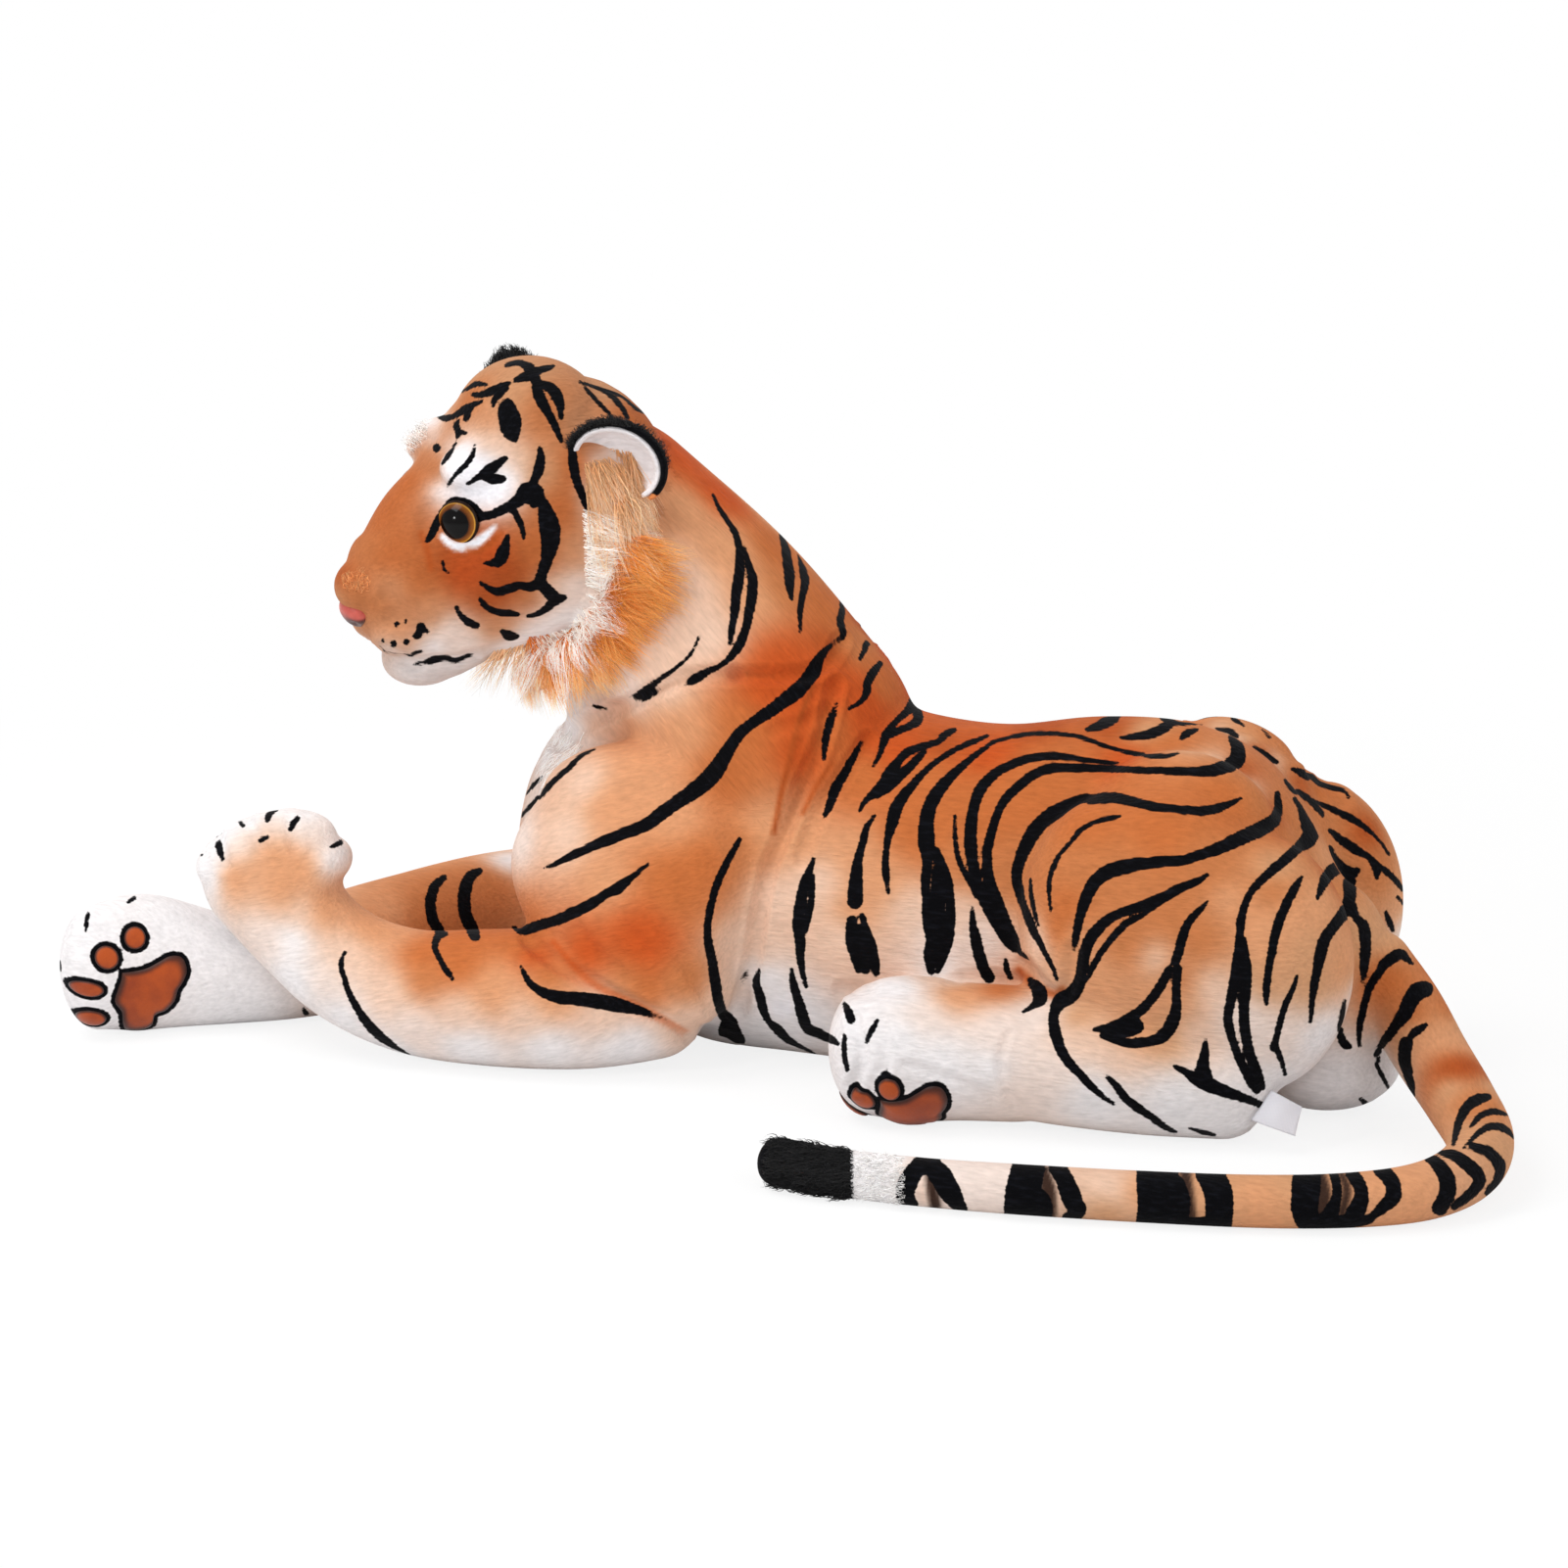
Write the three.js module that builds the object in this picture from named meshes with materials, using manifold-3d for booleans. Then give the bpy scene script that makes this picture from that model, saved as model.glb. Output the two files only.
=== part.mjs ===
// A lying plush tiger, built as its maker sews it: covers of short-pile plush, each filled with loose
// stuffing and closed where the next piece is sewn on, with plastic eyes and a nose held by washers.
// Millimetres, +Z up. The tiger faces -X and its left side is towards -Y. The origin is on the floor
// under the belly, on the tiger's middle plane. Sewn joints are rounded so that each piece can bend there.
import * as THREE from "three";
import { mergeVertices } from "three/addons/utils/BufferGeometryUtils.js";
import Module from "manifold-3d";

const wasm = await Module();
wasm.setup();

// General sizes
const clearance = 0.4; // between pieces that touch
const plushWall = 4; // backing cloth with its pile
const overrun = 400; // how far cutting slabs and columns reach
const sewingGap = 0.6; // between two pieces that bend at a seam
const turningGap = 1; // round the neck's facets, which turn inside the head
const sweepStepDeg = 6; // between the poses that a moving piece's space is taken from
const mergeDistance = 1e-3;
const smoothing = 0.25; // how far the facets may move when small ones are merged
const elbowStations = 3; // how many of a forearm's stations lie beside the torso
const dockStations = 3; // how many of the tail's stations may touch the torso
const seamStations = 2; // how many of a tail length's stations may touch the length before it

// Torso
const torso = { front: 225, length: 542, width: 180, height: 230, frontCap: 65, rearCap: 34 };
const torsoShares = [
  // along the length, centre over the height, half width over the width, half height over the height
  [0.12, 0.52, 0.4, 0.4],
  [0.231, 0.55, 0.456, 0.46],
  [0.341, 0.505, 0.467, 0.51],
  [0.452, 0.47, 0.467, 0.476],
  [0.563, 0.458, 0.444, 0.47],
  [0.673, 0.483, 0.4, 0.49],
  [0.784, 0.485, 0.35, 0.49],
  [0.875, 0.44, 0.27, 0.435],
  [0.947, 0.3, 0.25, 0.3],
];

// Neck, a straight round column that leans forward and ends in a ball inside the head
const neck = { length: 174, leanDeg: 42.2, baseRadius: 79, topRadius: 64, bendDeg: 5, openingRadius: 34 };
const neckRootShare = { along: 0.314, up: 0.826 };
const neckOpeningShare = 0.22; // how far below the neck's top the head is sewn on

// Head, in its own frame: x towards the nose, y towards the tiger's left, z up
const head = { length: 151, width: 152, height: 164, backCap: 58, noseCap: 16, turnDeg: 12 };
const headPose = { yawDeg: 47.6, pitchDeg: 4.5, rollDeg: -6.9 };
const headPivotShare = { along: -0.24, up: -0.085 };
const headShares = [
  // along the length, centre's height, half width and half height over the head's own sizes
  [-0.12, 0.012, 0.487, 0.476],
  [0.13, 0.018, 0.44, 0.506],
  [0.33, -0.024, 0.362, 0.488],
  [0.5, -0.134, 0.283, 0.427],
  [0.66, -0.177, 0.237, 0.354],
  [0.77, -0.195, 0.19, 0.244],
];

// Eyes, nose and the washers that hold them
const eye = { radius: 13.5, rise: 7, flange: 2, shankRadius: 3, shankLength: 17 };
const eyePlaceShare = { along: 0.5, side: 0.26, up: 0.104 };
const eyeGazeDeg = { out: 42, up: 8 };
const nose = { halfWidth: 14, halfHeight: 9, halfDepth: 9, shankRadius: 3, shankLength: 16 };
const noseUpShare = -0.215;
const noseSunkShare = 0.5;
const washer = { radius: 10, thickness: 2.5 };

// Ears: a dark cup with a pale lining cup inside it
const ear = { halfWidth: 31, halfHeight: 27, halfDepth: 16, sunk: 14, layer: 3.5, foldDeg: 10 };
const earPlaceShares = {
  left: { along: -0.08, side: 0.41, up: 0.225 },
  right: { along: 0, side: -0.39, up: 0.31 },
};
const earFacingDeg = 52;
const earTiltDeg = 30;
const earRimShare = 0.28;

// Long-pile ruffs round the cheeks and under the jaw
const ruff = { halfWidth: 17, halfThickness: 13, endCap: 14 };
const ruffShares = [
  // along, side and up over the head's length, width and height, then the girth's share
  [-0.1, 0.46, 0.12, 0.7],
  [-0.09, 0.53, -0.06, 1],
  [-0.02, 0.5, -0.26, 1.1],
  [0.08, 0.37, -0.44, 1.1],
  [0.17, 0.2, -0.54, 0.85],
];

// Forelegs: a flat shoulder sewn to the torso, with a forearm and paw that lie forward on the floor
const foreleg = { height: 186, shoulderWide: 80, shoulderThick: 37, reach: 250, girth: 44, liftDeg: 12 };
const forelegRootShare = { along: 0.212, across: 0.344, up: 0.61 };
const shoulderShares = [
  // along the reach, out over the shoulder's thickness, up over the height, wide and thick shares
  [-0.08, 0.1, 0.92, 0.72, 0.72],
  [-0.06, 0.28, 0.72, 1, 1],
  [-0.02, 0.42, 0.48, 0.86, 1.06],
  [0.03, 0.44, 0.3, 0.58, 1.04],
];
const leftForearmShares = [
  // forward over the reach, outward and up over the girth, in-plane and sideways girth
  [-0.02, 0.22, 1.04, 0.98, 0.98],
  [0.18, 0.58, 1.02, 0.98, 0.98],
  [0.41, 0.84, 0.96, 0.94, 0.93],
  [0.6, 0.95, 0.97, 0.86, 0.86],
  [0.76, 1.06, 1.28, 0.8, 0.78],
  [0.88, 1.14, 1.84, 0.76, 0.66],
  [0.955, 1.14, 2.4, 0.92, 0.62],
  [0.99, 1.1, 2.85, 0.96, 0.55],
];
const rightForearmShares = [
  // forward over the reach, outward and up over the girth, sideways and upright girth
  [-0.04, 0.66, 1.1, 0.98, 1.04],
  [0.3, 0.76, 1.04, 0.96, 1.0],
  [0.63, 0.0, 0.98, 0.9, 0.95],
  [0.83, -1.5, 0.92, 0.86, 0.9],
  [1.0, -2.66, 0.88, 0.84, 0.86],
  [1.15, -3.3, 0.86, 0.72, 0.84],
  [1.31, -3.95, 0.94, 0.62, 0.94],
  [1.4, -4.4, 0.96, 0.56, 0.86],
];
const pawCap = { left: 24, right: 22 };
const elbowCap = 30;
const shoulderCap = { top: 30, elbow: 32 };

// Hind legs: a round haunch with its shin folded on the floor, and a separately sewn foot
const hind = { thighWide: 47, thighTall: 87, thighCap: 57, length: 204, girth: 39, heelCap: 30, footLiftDeg: 10 };
const thighCentreShare = 0.812;
const thighOut = 67;
const thighCoreShares = [
  // along the thigh's length from its centre, up over the torso's height, tall and wide shares
  [-0.21, 0.5, 0.94, 0.96],
  [0.0, 0.5, 1.02, 1.02],
  [0.2, 0.455, 0.88, 0.92],
];
const leftShinShares = [
  // along the thigh's length from its centre, out over the girth, up and thickness over the girth
  [0.13, 1.9, 0.98, 0.96],
  [-0.08, 2.15, 1.04, 1.0],
  [-0.28, 2.4, 1.1, 0.98],
  [-0.45, 2.42, 1.12, 0.96],
];
const rightShinShares = [
  [0.26, 1.1, 0.96, 0.92],
  [0.06, 1.7, 1.04, 1.0],
  [-0.22, 2.35, 1.1, 0.98],
  [-0.45, 2.42, 1.12, 0.96],
];
const footShares = [
  // forward of the ankle over the foot's length, out over the girth, up, sideways and upright girth
  [0, 0, 1.12, 1.02, 1.02],
  [0.34, 0.12, 1.1, 1.04, 1.04],
  [0.68, 0.26, 1.08, 1.06, 1.1],
  [0.86, 0.34, 1.04, 0.94, 1.0],
];
const footLength = 98;
const footCap = { ankle: 38, toes: 26 };

// Tail: three stuffed lengths that curl forward round the left side
const tail = { rootDrop: 84, girth: 28, reachAlong: 300, reachAcross: 232 };
const tailRootAlongShare = 0.985;
const tailShares = [
  // along from the root over the reach, across, up over the root's height, girth
  [
    [0, 0, 1.04, 0.88],
    [0.07, -0.034, 0.79, 0.82],
    [0.135, -0.12, 0.56, 0.77],
    [0.205, -0.267, 0.4, 0.73],
    [0.262, -0.43, 0.302, 0.69],
  ],
  [
    [0.262, -0.43, 0.302, 0.69],
    [0.26, -0.58, 0.25, 0.65],
    [0.21, -0.71, 0.215, 0.6],
    [0.11, -0.8, 0.195, 0.56],
    [-0.045, -0.875, 0.187, 0.54],
    [-0.26, -0.94, 0.187, 0.53],
    [-0.485, -0.99, 0.184, 0.52],
  ],
  [
    [-0.485, -0.99, 0.184, 0.52],
    [-0.66, -1.015, 0.18, 0.51],
    [-0.82, -1.02, 0.178, 0.505],
    [-0.945, -1.0, 0.178, 0.5],
  ],
];
const tailNames = ["tail_root", "tail_middle", "tail_tip"];
const tailBallShares = [1.06, 1.08, 1.09]; // each length's first ball over its girth there
const tailSwingDeg = { low: 0, high: 20 };
const tailRootSwingDeg = { low: 0, high: 35 };
const tailOpeningShare = 0.5;
const tailTipCap = 15;

// Pads on the soles: conforming patches in a fixed layout
const pad = { rise: 2, palmLength: 46, palmWidth: 46, toeLength: 19, toeWidth: 14, floorGap: 0.6 };
const padShares = [
  // forward and across over the palm's sizes, then turn in degrees; the four toes
  { name: "pad_1", forward: 0.0, across: 0.46, turnDeg: 60 },
  { name: "pad_2", forward: 0.42, across: 0.22, turnDeg: 35 },
  { name: "pad_3", forward: 0.58, across: -0.16, turnDeg: 5 },
  { name: "pad_4", forward: 0.5, across: -0.58, turnDeg: -10 },
];
const palmPlaceShare = { forward: -0.28, across: -0.24 };
const palmOutlineShares = [
  // the three-lobed pad's outline, over its length and width, round from the heel
  [-0.5, 0.42],
  [-0.28, 0.5],
  [0.1, 0.3],
  [0.46, 0.14],
  [0.5, -0.1],
  [0.2, -0.46],
  [-0.02, -0.5],
  [-0.14, -0.3],
  [-0.42, -0.08],
];

// Care label, a folded ribbon caught in the rear seam of the left haunch
const label = { width: 27, length: 24, thickness: 0.8, turnDeg: 55, tiltDeg: 24 };
const labelPlaceShare = { along: 0.2, out: 1.95, up: 0.9 };

// Where the cover of a limb is left open for its stuffing
const fillingHoleRadius = 20;

// Facet counts
const sides = { torso: 16, neck: 16, head: 16, limb: 12, tail: 8, core: 8, small: 12 };
const capRings = 2;

const upAxis = new THREE.Vector3(0, 0, 1);
const acrossAxis = new THREE.Vector3(0, 1, 0);
const alongAxis = new THREE.Vector3(1, 0, 0);
const rad = THREE.MathUtils.degToRad;

/** A closed geometry as a solid. */
function solidOf(geometry) {
  const bare = geometry.clone();
  bare.deleteAttribute("normal");
  bare.deleteAttribute("uv");
  const merged = mergeVertices(bare, mergeDistance);
  const vertProperties = new Float32Array(merged.attributes.position.array);
  const triVerts = new Uint32Array(merged.index.array);
  return new wasm.Manifold(new wasm.Mesh({ numProp: 3, vertProperties, triVerts }));
}

/** A solid's surface as a geometry with normals. */
function geometryOf(solid) {
  const mesh = solid.getMesh();
  const points = [];
  for (let i = 0; i < mesh.numVert; i += 1) {
    points.push(...mesh.vertProperties.subarray(i * mesh.numProp, i * mesh.numProp + 3));
  }
  const geometry = new THREE.BufferGeometry();
  geometry.setAttribute("position", new THREE.Float32BufferAttribute(points, 3));
  geometry.setIndex(Array.from(mesh.triVerts));
  geometry.computeVertexNormals();
  return geometry;
}

/** Several solids joined into one. */
function joined(solids) {
  return solids.reduce((sum, solid) => sum.add(solid));
}

/** A solid without the space of several others. */
function without(solid, cutters) {
  return cutters.reduce((rest, cutter) => rest.subtract(cutter), solid);
}

/** The largest separate body of a solid, without the slivers that a cut may leave. */
function mainBody(solid) {
  const bodies = solid.decompose();
  return bodies.reduce((best, body) => (body.volume() > best.volume() ? body : best));
}

/** A solid placed by a matrix. */
function placed(solid, matrix) {
  return solid.transform(matrix.elements);
}

/** The matrix that turns about an axis through a point. */
function turnAbout(pivot, axis, degrees) {
  return new THREE.Matrix4()
    .makeTranslation(pivot)
    .multiply(new THREE.Matrix4().makeRotationAxis(axis, rad(degrees)))
    .multiply(new THREE.Matrix4().makeTranslation(pivot.clone().negate()));
}

/** The smallest convex space round a convex solid at steps of its turn about a hinge. */
function sweptHull(solid, pivot, axis, lowDeg, highDeg) {
  const turns = Math.ceil((highDeg - lowDeg) / sweepStepDeg);
  const poses = Array.from({ length: turns + 1 }, (_, i) =>
    placed(solid, turnAbout(pivot, axis, lowDeg + ((highDeg - lowDeg) * i) / turns)),
  );
  return wasm.Manifold.hull(poses);
}

/** What is left of a solid above a level. */
function above(solid, level) {
  return solid.trimByPlane([0, 0, 1], level);
}

/** Rings of a stuffed tube: its own stations, with steps between them, and rounded ends. They lie square
 * to the tube, or to the form's own facing direction where it has one. */
function ringsOf(form, grow) {
  const centres = new THREE.CatmullRomCurve3(form.stations.map((s) => s.at), false, "centripetal");
  const girths = new THREE.CatmullRomCurve3(
    form.stations.map((s) => new THREE.Vector3(s.wide, s.tall, 0)),
  );
  const count = (form.stations.length - 1) * form.steps;
  const rings = [];
  for (let i = 0; i <= count; i += 1) {
    const at = centres.getPoint(i / count);
    const girth = girths.getPoint(i / count);
    const tangent = form.facing ?? centres.getTangent(i / count);
    rings.push({ at, tangent, wide: girth.x + grow, tall: girth.y + grow });
  }
  const rounded = (end, length, sign) =>
    Array.from({ length: capRings }, (_, k) => {
      const angle = ((k + 1) / (capRings + 1)) * (Math.PI / 2);
      return {
        at: end.at.clone().addScaledVector(end.tangent, sign * length * Math.sin(angle)),
        tangent: end.tangent,
        wide: end.wide * Math.cos(angle),
        tall: end.tall * Math.cos(angle),
      };
    });
  const first = rings[0];
  const last = rings[rings.length - 1];
  const startCap = form.startCap + grow;
  const endCap = form.endCap + grow;
  return {
    rings: [...rounded(first, startCap, -1).reverse(), ...rings, ...rounded(last, endCap, 1)],
    start: first.at.clone().addScaledVector(first.tangent, -startCap),
    end: last.at.clone().addScaledVector(last.tangent, endCap),
  };
}

/** A stuffed tube with oval sections and rounded ends, fattened or thinned all over by grow. */
function stuffed(form, grow = 0) {
  const { rings, start, end } = ringsOf(form, grow);
  const isCore = grow < -plushWall;
  const facets = isCore ? form.sides / 2 : form.sides;
  const points = [start];
  for (const ring of rings) {
    const side = new THREE.Vector3().crossVectors(ring.tangent, form.hint).normalize();
    const up = new THREE.Vector3().crossVectors(side, ring.tangent).normalize();
    for (let j = 0; j < facets; j += 1) {
      const angle = (j / facets) * 2 * Math.PI;
      points.push(
        ring.at
          .clone()
          .addScaledVector(side, Math.cos(angle) * ring.wide)
          .addScaledVector(up, Math.sin(angle) * ring.tall),
      );
    }
  }
  points.push(end);
  const faces = [];
  const corner = (ring, j) => 1 + ring * facets + (j % facets);
  for (let j = 0; j < facets; j += 1) {
    faces.push(0, corner(0, j), corner(0, j + 1));
    for (let r = 0; r + 1 < rings.length; r += 1) {
      faces.push(corner(r, j), corner(r + 1, j), corner(r, j + 1));
      faces.push(corner(r, j + 1), corner(r + 1, j), corner(r + 1, j + 1));
    }
    faces.push(points.length - 1, corner(rings.length - 1, j + 1), corner(rings.length - 1, j));
  }
  const geometry = new THREE.BufferGeometry().setFromPoints(points);
  geometry.setIndex(faces);
  return solidOf(geometry);
}

/** A ball at a point. */
function ball(centre, radius, facets) {
  const geometry = new THREE.SphereGeometry(radius, facets, facets / 2);
  return solidOf(geometry.translate(centre.x, centre.y, centre.z));
}

/** A round column from a point along a direction. */
function column(from, direction, radius, length, facets) {
  const geometry = new THREE.CylinderGeometry(radius, radius, length, facets);
  geometry.translate(0, length / 2, 0);
  const turn = new THREE.Quaternion().setFromUnitVectors(acrossAxis, direction);
  geometry.applyQuaternion(turn).translate(from.x, from.y, from.z);
  return solidOf(geometry);
}

/** Where a ray from inside a solid leaves it. */
function surfacePoint(solid, from, direction) {
  const material = new THREE.MeshBasicMaterial({ side: THREE.DoubleSide });
  const target = new THREE.Mesh(geometryOf(solid), material);
  const hits = new THREE.Raycaster(from, direction).intersectObject(target);
  return hits.length ? hits[hits.length - 1].point : from.clone();
}

// Torso form
const torsoX = (share) => share * torso.length - torso.front;
const torsoShape = {
  stations: torsoShares.map(([along, up, wide, tall]) => ({
    at: new THREE.Vector3(torsoX(along), 0, up * torso.height),
    wide: wide * torso.width,
    tall: tall * torso.height,
  })),
  startCap: torso.frontCap,
  endCap: torso.rearCap,
  sides: sides.torso,
  facing: alongAxis,
  steps: 1,
  hint: upAxis,
};

// Neck form and the axis that the head turns about
const neckRoot = new THREE.Vector3(torsoX(neckRootShare.along), 0, neckRootShare.up * torso.height);
const neckAxis = new THREE.Vector3(-Math.sin(rad(neck.leanDeg)), 0, Math.cos(rad(neck.leanDeg)));
const neckTop = neckRoot.clone().addScaledVector(neckAxis, neck.length);
const neckShape = {
  stations: [
    { at: neckRoot, wide: neck.baseRadius, tall: neck.baseRadius },
    { at: neckTop, wide: neck.topRadius, tall: neck.topRadius },
  ],
  startCap: neck.baseRadius,
  endCap: neck.topRadius,
  sides: sides.neck,
  steps: 1,
  hint: acrossAxis,
};

// Head frame and form
const headTurn = new THREE.Matrix4()
  .makeBasis(alongAxis.clone().negate(), acrossAxis.clone().negate(), upAxis)
  .multiply(new THREE.Matrix4().makeRotationZ(rad(headPose.yawDeg)))
  .multiply(new THREE.Matrix4().makeRotationY(rad(headPose.pitchDeg)))
  .multiply(new THREE.Matrix4().makeRotationX(rad(headPose.rollDeg)));
const pivotInHead = new THREE.Vector3(
  headPivotShare.along * head.length,
  0,
  headPivotShare.up * head.height,
);
const headCentre = neckTop.clone().sub(pivotInHead.clone().applyMatrix4(headTurn));
const headFrame = headTurn.clone().setPosition(headCentre);
const inHead = (along, side, up) =>
  new THREE.Vector3(along * head.length, side * head.width, up * head.height).applyMatrix4(headFrame);
const headDirection = (x, y, z) => new THREE.Vector3(x, y, z).normalize().transformDirection(headTurn);
const headShape = {
  stations: headShares.map(([along, up, wide, tall]) => ({
    at: new THREE.Vector3(along * head.length, 0, up * head.height),
    wide: wide * head.width,
    tall: tall * head.height,
  })),
  startCap: head.backCap,
  endCap: head.noseCap,
  sides: sides.head,
  facing: alongAxis,
  steps: 1,
  hint: upAxis,
};

/** The head's form in the tiger's frame. */
function headForm(grow = 0) {
  return placed(stuffed(headShape, grow), headFrame);
}

/** A foreleg's two tubes: side is -1 for the tiger's left and 1 for its right. */
function forelegShapes(side) {
  const root = new THREE.Vector3(
    torsoX(forelegRootShare.along),
    side * forelegRootShare.across * torso.width,
    0,
  );
  const shoulder = {
    stations: shoulderShares.map(([along, out, up, wide, thick]) => ({
      at: new THREE.Vector3(
        root.x - along * -foreleg.reach,
        root.y + side * out * foreleg.shoulderThick,
        up * foreleg.height,
      ),
      wide: wide * foreleg.shoulderWide,
      tall: thick * foreleg.shoulderThick,
    })),
    startCap: shoulderCap.top,
    endCap: shoulderCap.elbow,
    sides: sides.limb,
    steps: 1,
    hint: acrossAxis,
  };
  const shares = side < 0 ? leftForearmShares : rightForearmShares;
  const forearm = {
    stations: shares.map(([forward, out, up, wide, tall]) => ({
      at: new THREE.Vector3(
        root.x - forward * foreleg.reach,
        root.y + side * out * foreleg.girth,
        up * foreleg.girth,
      ),
      wide: wide * foreleg.girth,
      tall: tall * foreleg.girth,
    })),
    startCap: elbowCap,
    endCap: side < 0 ? pawCap.left : pawCap.right,
    sides: sides.limb,
    steps: 1,
    hint: side < 0 ? acrossAxis : upAxis,
  };
  return { root, shoulder, forearm };
}

/** A hind leg's haunch and shin, and its foot. */
function hindShapes(side) {
  const centreX = torsoX(thighCentreShare);
  const thigh = {
    stations: thighCoreShares.map(([along, up, tall, wide]) => ({
      at: new THREE.Vector3(centreX + along * hind.length, side * thighOut, up * torso.height),
      wide: wide * hind.thighWide,
      tall: tall * hind.thighTall,
    })),
    startCap: hind.thighCap,
    endCap: hind.thighCap,
    sides: sides.limb,
    facing: alongAxis,
    steps: 1,
    hint: upAxis,
  };
  const shin = {
    stations: (side < 0 ? leftShinShares : rightShinShares).map(([along, out, up, thick]) => ({
      at: new THREE.Vector3(
        centreX + along * hind.length,
        side * out * hind.girth,
        up * hind.girth,
      ),
      wide: thick * hind.girth,
      tall: thick * hind.girth,
    })),
    startCap: hind.heelCap,
    endCap: hind.girth,
    sides: sides.limb,
    steps: 1,
    hint: upAxis,
  };
  const ankle = shin.stations[shin.stations.length - 1].at;
  const foot = {
    stations: footShares.map(([forward, out, up, wide, tall]) => ({
      at: new THREE.Vector3(
        ankle.x - forward * footLength,
        ankle.y + side * out * hind.girth,
        up * hind.girth,
      ),
      wide: wide * hind.girth,
      tall: tall * hind.girth,
    })),
    startCap: footCap.ankle,
    endCap: footCap.toes,
    sides: sides.limb,
    steps: 1,
    hint: upAxis,
  };
  return { thigh, shin, foot, ankle };
}

/** The three tail lengths, each a tube with a ball where it is sewn to the one before. */
function tailShapes() {
  const root = new THREE.Vector3(torsoX(tailRootAlongShare), 0, tail.rootDrop);
  return tailShares.map((rows, i) => {
    const stations = rows.map(([along, across, up, girth]) => ({
      at: new THREE.Vector3(
        root.x + along * tail.reachAlong,
        across * tail.reachAcross,
        up * tail.rootDrop,
      ),
      wide: girth * tail.girth,
      tall: girth * tail.girth,
    }));
    const isTip = i === tailShares.length - 1;
    const endCap = isTip ? tailTipCap : clearance;
    const shape = { stations, startCap: clearance, endCap, sides: sides.tail, steps: 1, hint: upAxis };
    return { shape, pivot: stations[0].at, ballRadius: stations[0].wide * tailBallShares[i] };
  });
}

const forelegLeft = forelegShapes(-1);
const forelegRight = forelegShapes(1);
const hindLeft = hindShapes(-1);
const hindRight = hindShapes(1);
const tailLengths = tailShapes();

/** A foreleg's whole form. */
function forelegForm(leg, grow = 0) {
  return above(stuffed(leg.shoulder, grow).add(stuffed(leg.forearm, grow)), 0);
}

/** One tail length's form, up to the next one's ball. */
function tailForm(index, grow = 0) {
  const { shape, pivot, ballRadius } = tailLengths[index];
  const whole = stuffed(shape, grow).add(ball(pivot, ballRadius + grow, sides.small));
  return above(whole, 0);
}

const shoulderPivot = (leg) =>
  new THREE.Vector3(leg.root.x, leg.root.y, forelegRootShare.up * torso.height);
const leftShoulder = shoulderPivot(forelegLeft);
const rightShoulder = shoulderPivot(forelegRight);

// Spaces that the moving pieces pass through, with their sewing gap
const neckBend = [neckRoot, acrossAxis, -neck.bendDeg, neck.bendDeg];
const leftLift = [leftShoulder, acrossAxis, 0, foreleg.liftDeg];
const rightSwing = [rightShoulder, upAxis, -foreleg.liftDeg, 0];
const upperArm = (leg) => ({ ...leg.forearm, stations: leg.forearm.stations.slice(0, elbowStations) });
const legSweep = (leg, turn) =>
  joined([leg.shoulder, upperArm(leg)].map((shape) => sweptHull(stuffed(shape, sewingGap), ...turn)));
const neckSweep = sweptHull(stuffed(neckShape, sewingGap), ...neckBend);
const leftLegSweep = legSweep(forelegLeft, leftLift);
const rightLegSweep = legSweep(forelegRight, rightSwing);
const tailStartSweep = ({ shape, pivot, ballRadius }, count, swing) => {
  const start = stuffed({ ...shape, stations: shape.stations.slice(0, count) }, sewingGap);
  const knuckle = ball(pivot, ballRadius + sewingGap, sides.small);
  return sweptHull(start.add(knuckle), pivot, upAxis, swing.low, swing.high);
};
const tailSweep = tailStartSweep(tailLengths[0], dockStations, tailRootSwingDeg);
const footSweep = (leg) =>
  sweptHull(stuffed(leg.foot, sewingGap), leg.ankle, acrossAxis, 0, hind.footLiftDeg);
const footSweeps = [footSweep(hindLeft), footSweep(hindRight)];

// Materials
const surface = (color, roughness) => new THREE.MeshStandardMaterial({ color, roughness, metalness: 0 });
const orangePlush = surface(0xd9803f, 0.95);
const stuffing = surface(0xf2f0ea, 1);
const blackPlush = surface(0x15161a, 0.95);
const whitePlush = surface(0xeeebe6, 0.95);
const ruffFur = surface(0xd08a3c, 1);
const amberEye = surface(0x2a1608, 0.1);
const washerPlastic = surface(0xe8e6df, 0.5);
const pinkNose = surface(0xd0625e, 0.7);
const padCloth = surface(0xb5622a, 0.6);
const labelCloth = surface(0xf3f3f6, 0.6);

const tiger = new THREE.Group();

/** Adds a solid to the tiger as a named mesh, with its small facets merged unless it is thin. */
function addPiece(name, solid, material, isThin = false) {
  const whole = mainBody(solid);
  const body = isThin ? whole : mainBody(whole.asOriginal().simplify(smoothing));
  const mesh = new THREE.Mesh(geometryOf(body), material);
  mesh.name = name;
  tiger.add(mesh);
}

/** Adds a cover and the stuffing inside it. cutters are taken out of both. */
function addStuffed(name, form, cutters, openings, material) {
  const cover = without(form(0), [form(-plushWall), ...cutters, ...openings]);
  addPiece(`${name}_cover`, cover, material);
  addPiece(`${name}_stuffing`, without(form(-plushWall - clearance), cutters), stuffing);
}

// Torso
const torsoForm = (grow) => above(stuffed(torsoShape, grow), Math.max(0, -grow));
addStuffed(
  "torso",
  torsoForm,
  [neckSweep, leftLegSweep, rightLegSweep, tailSweep, ...footSweeps],
  [],
  orangePlush,
);

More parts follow.
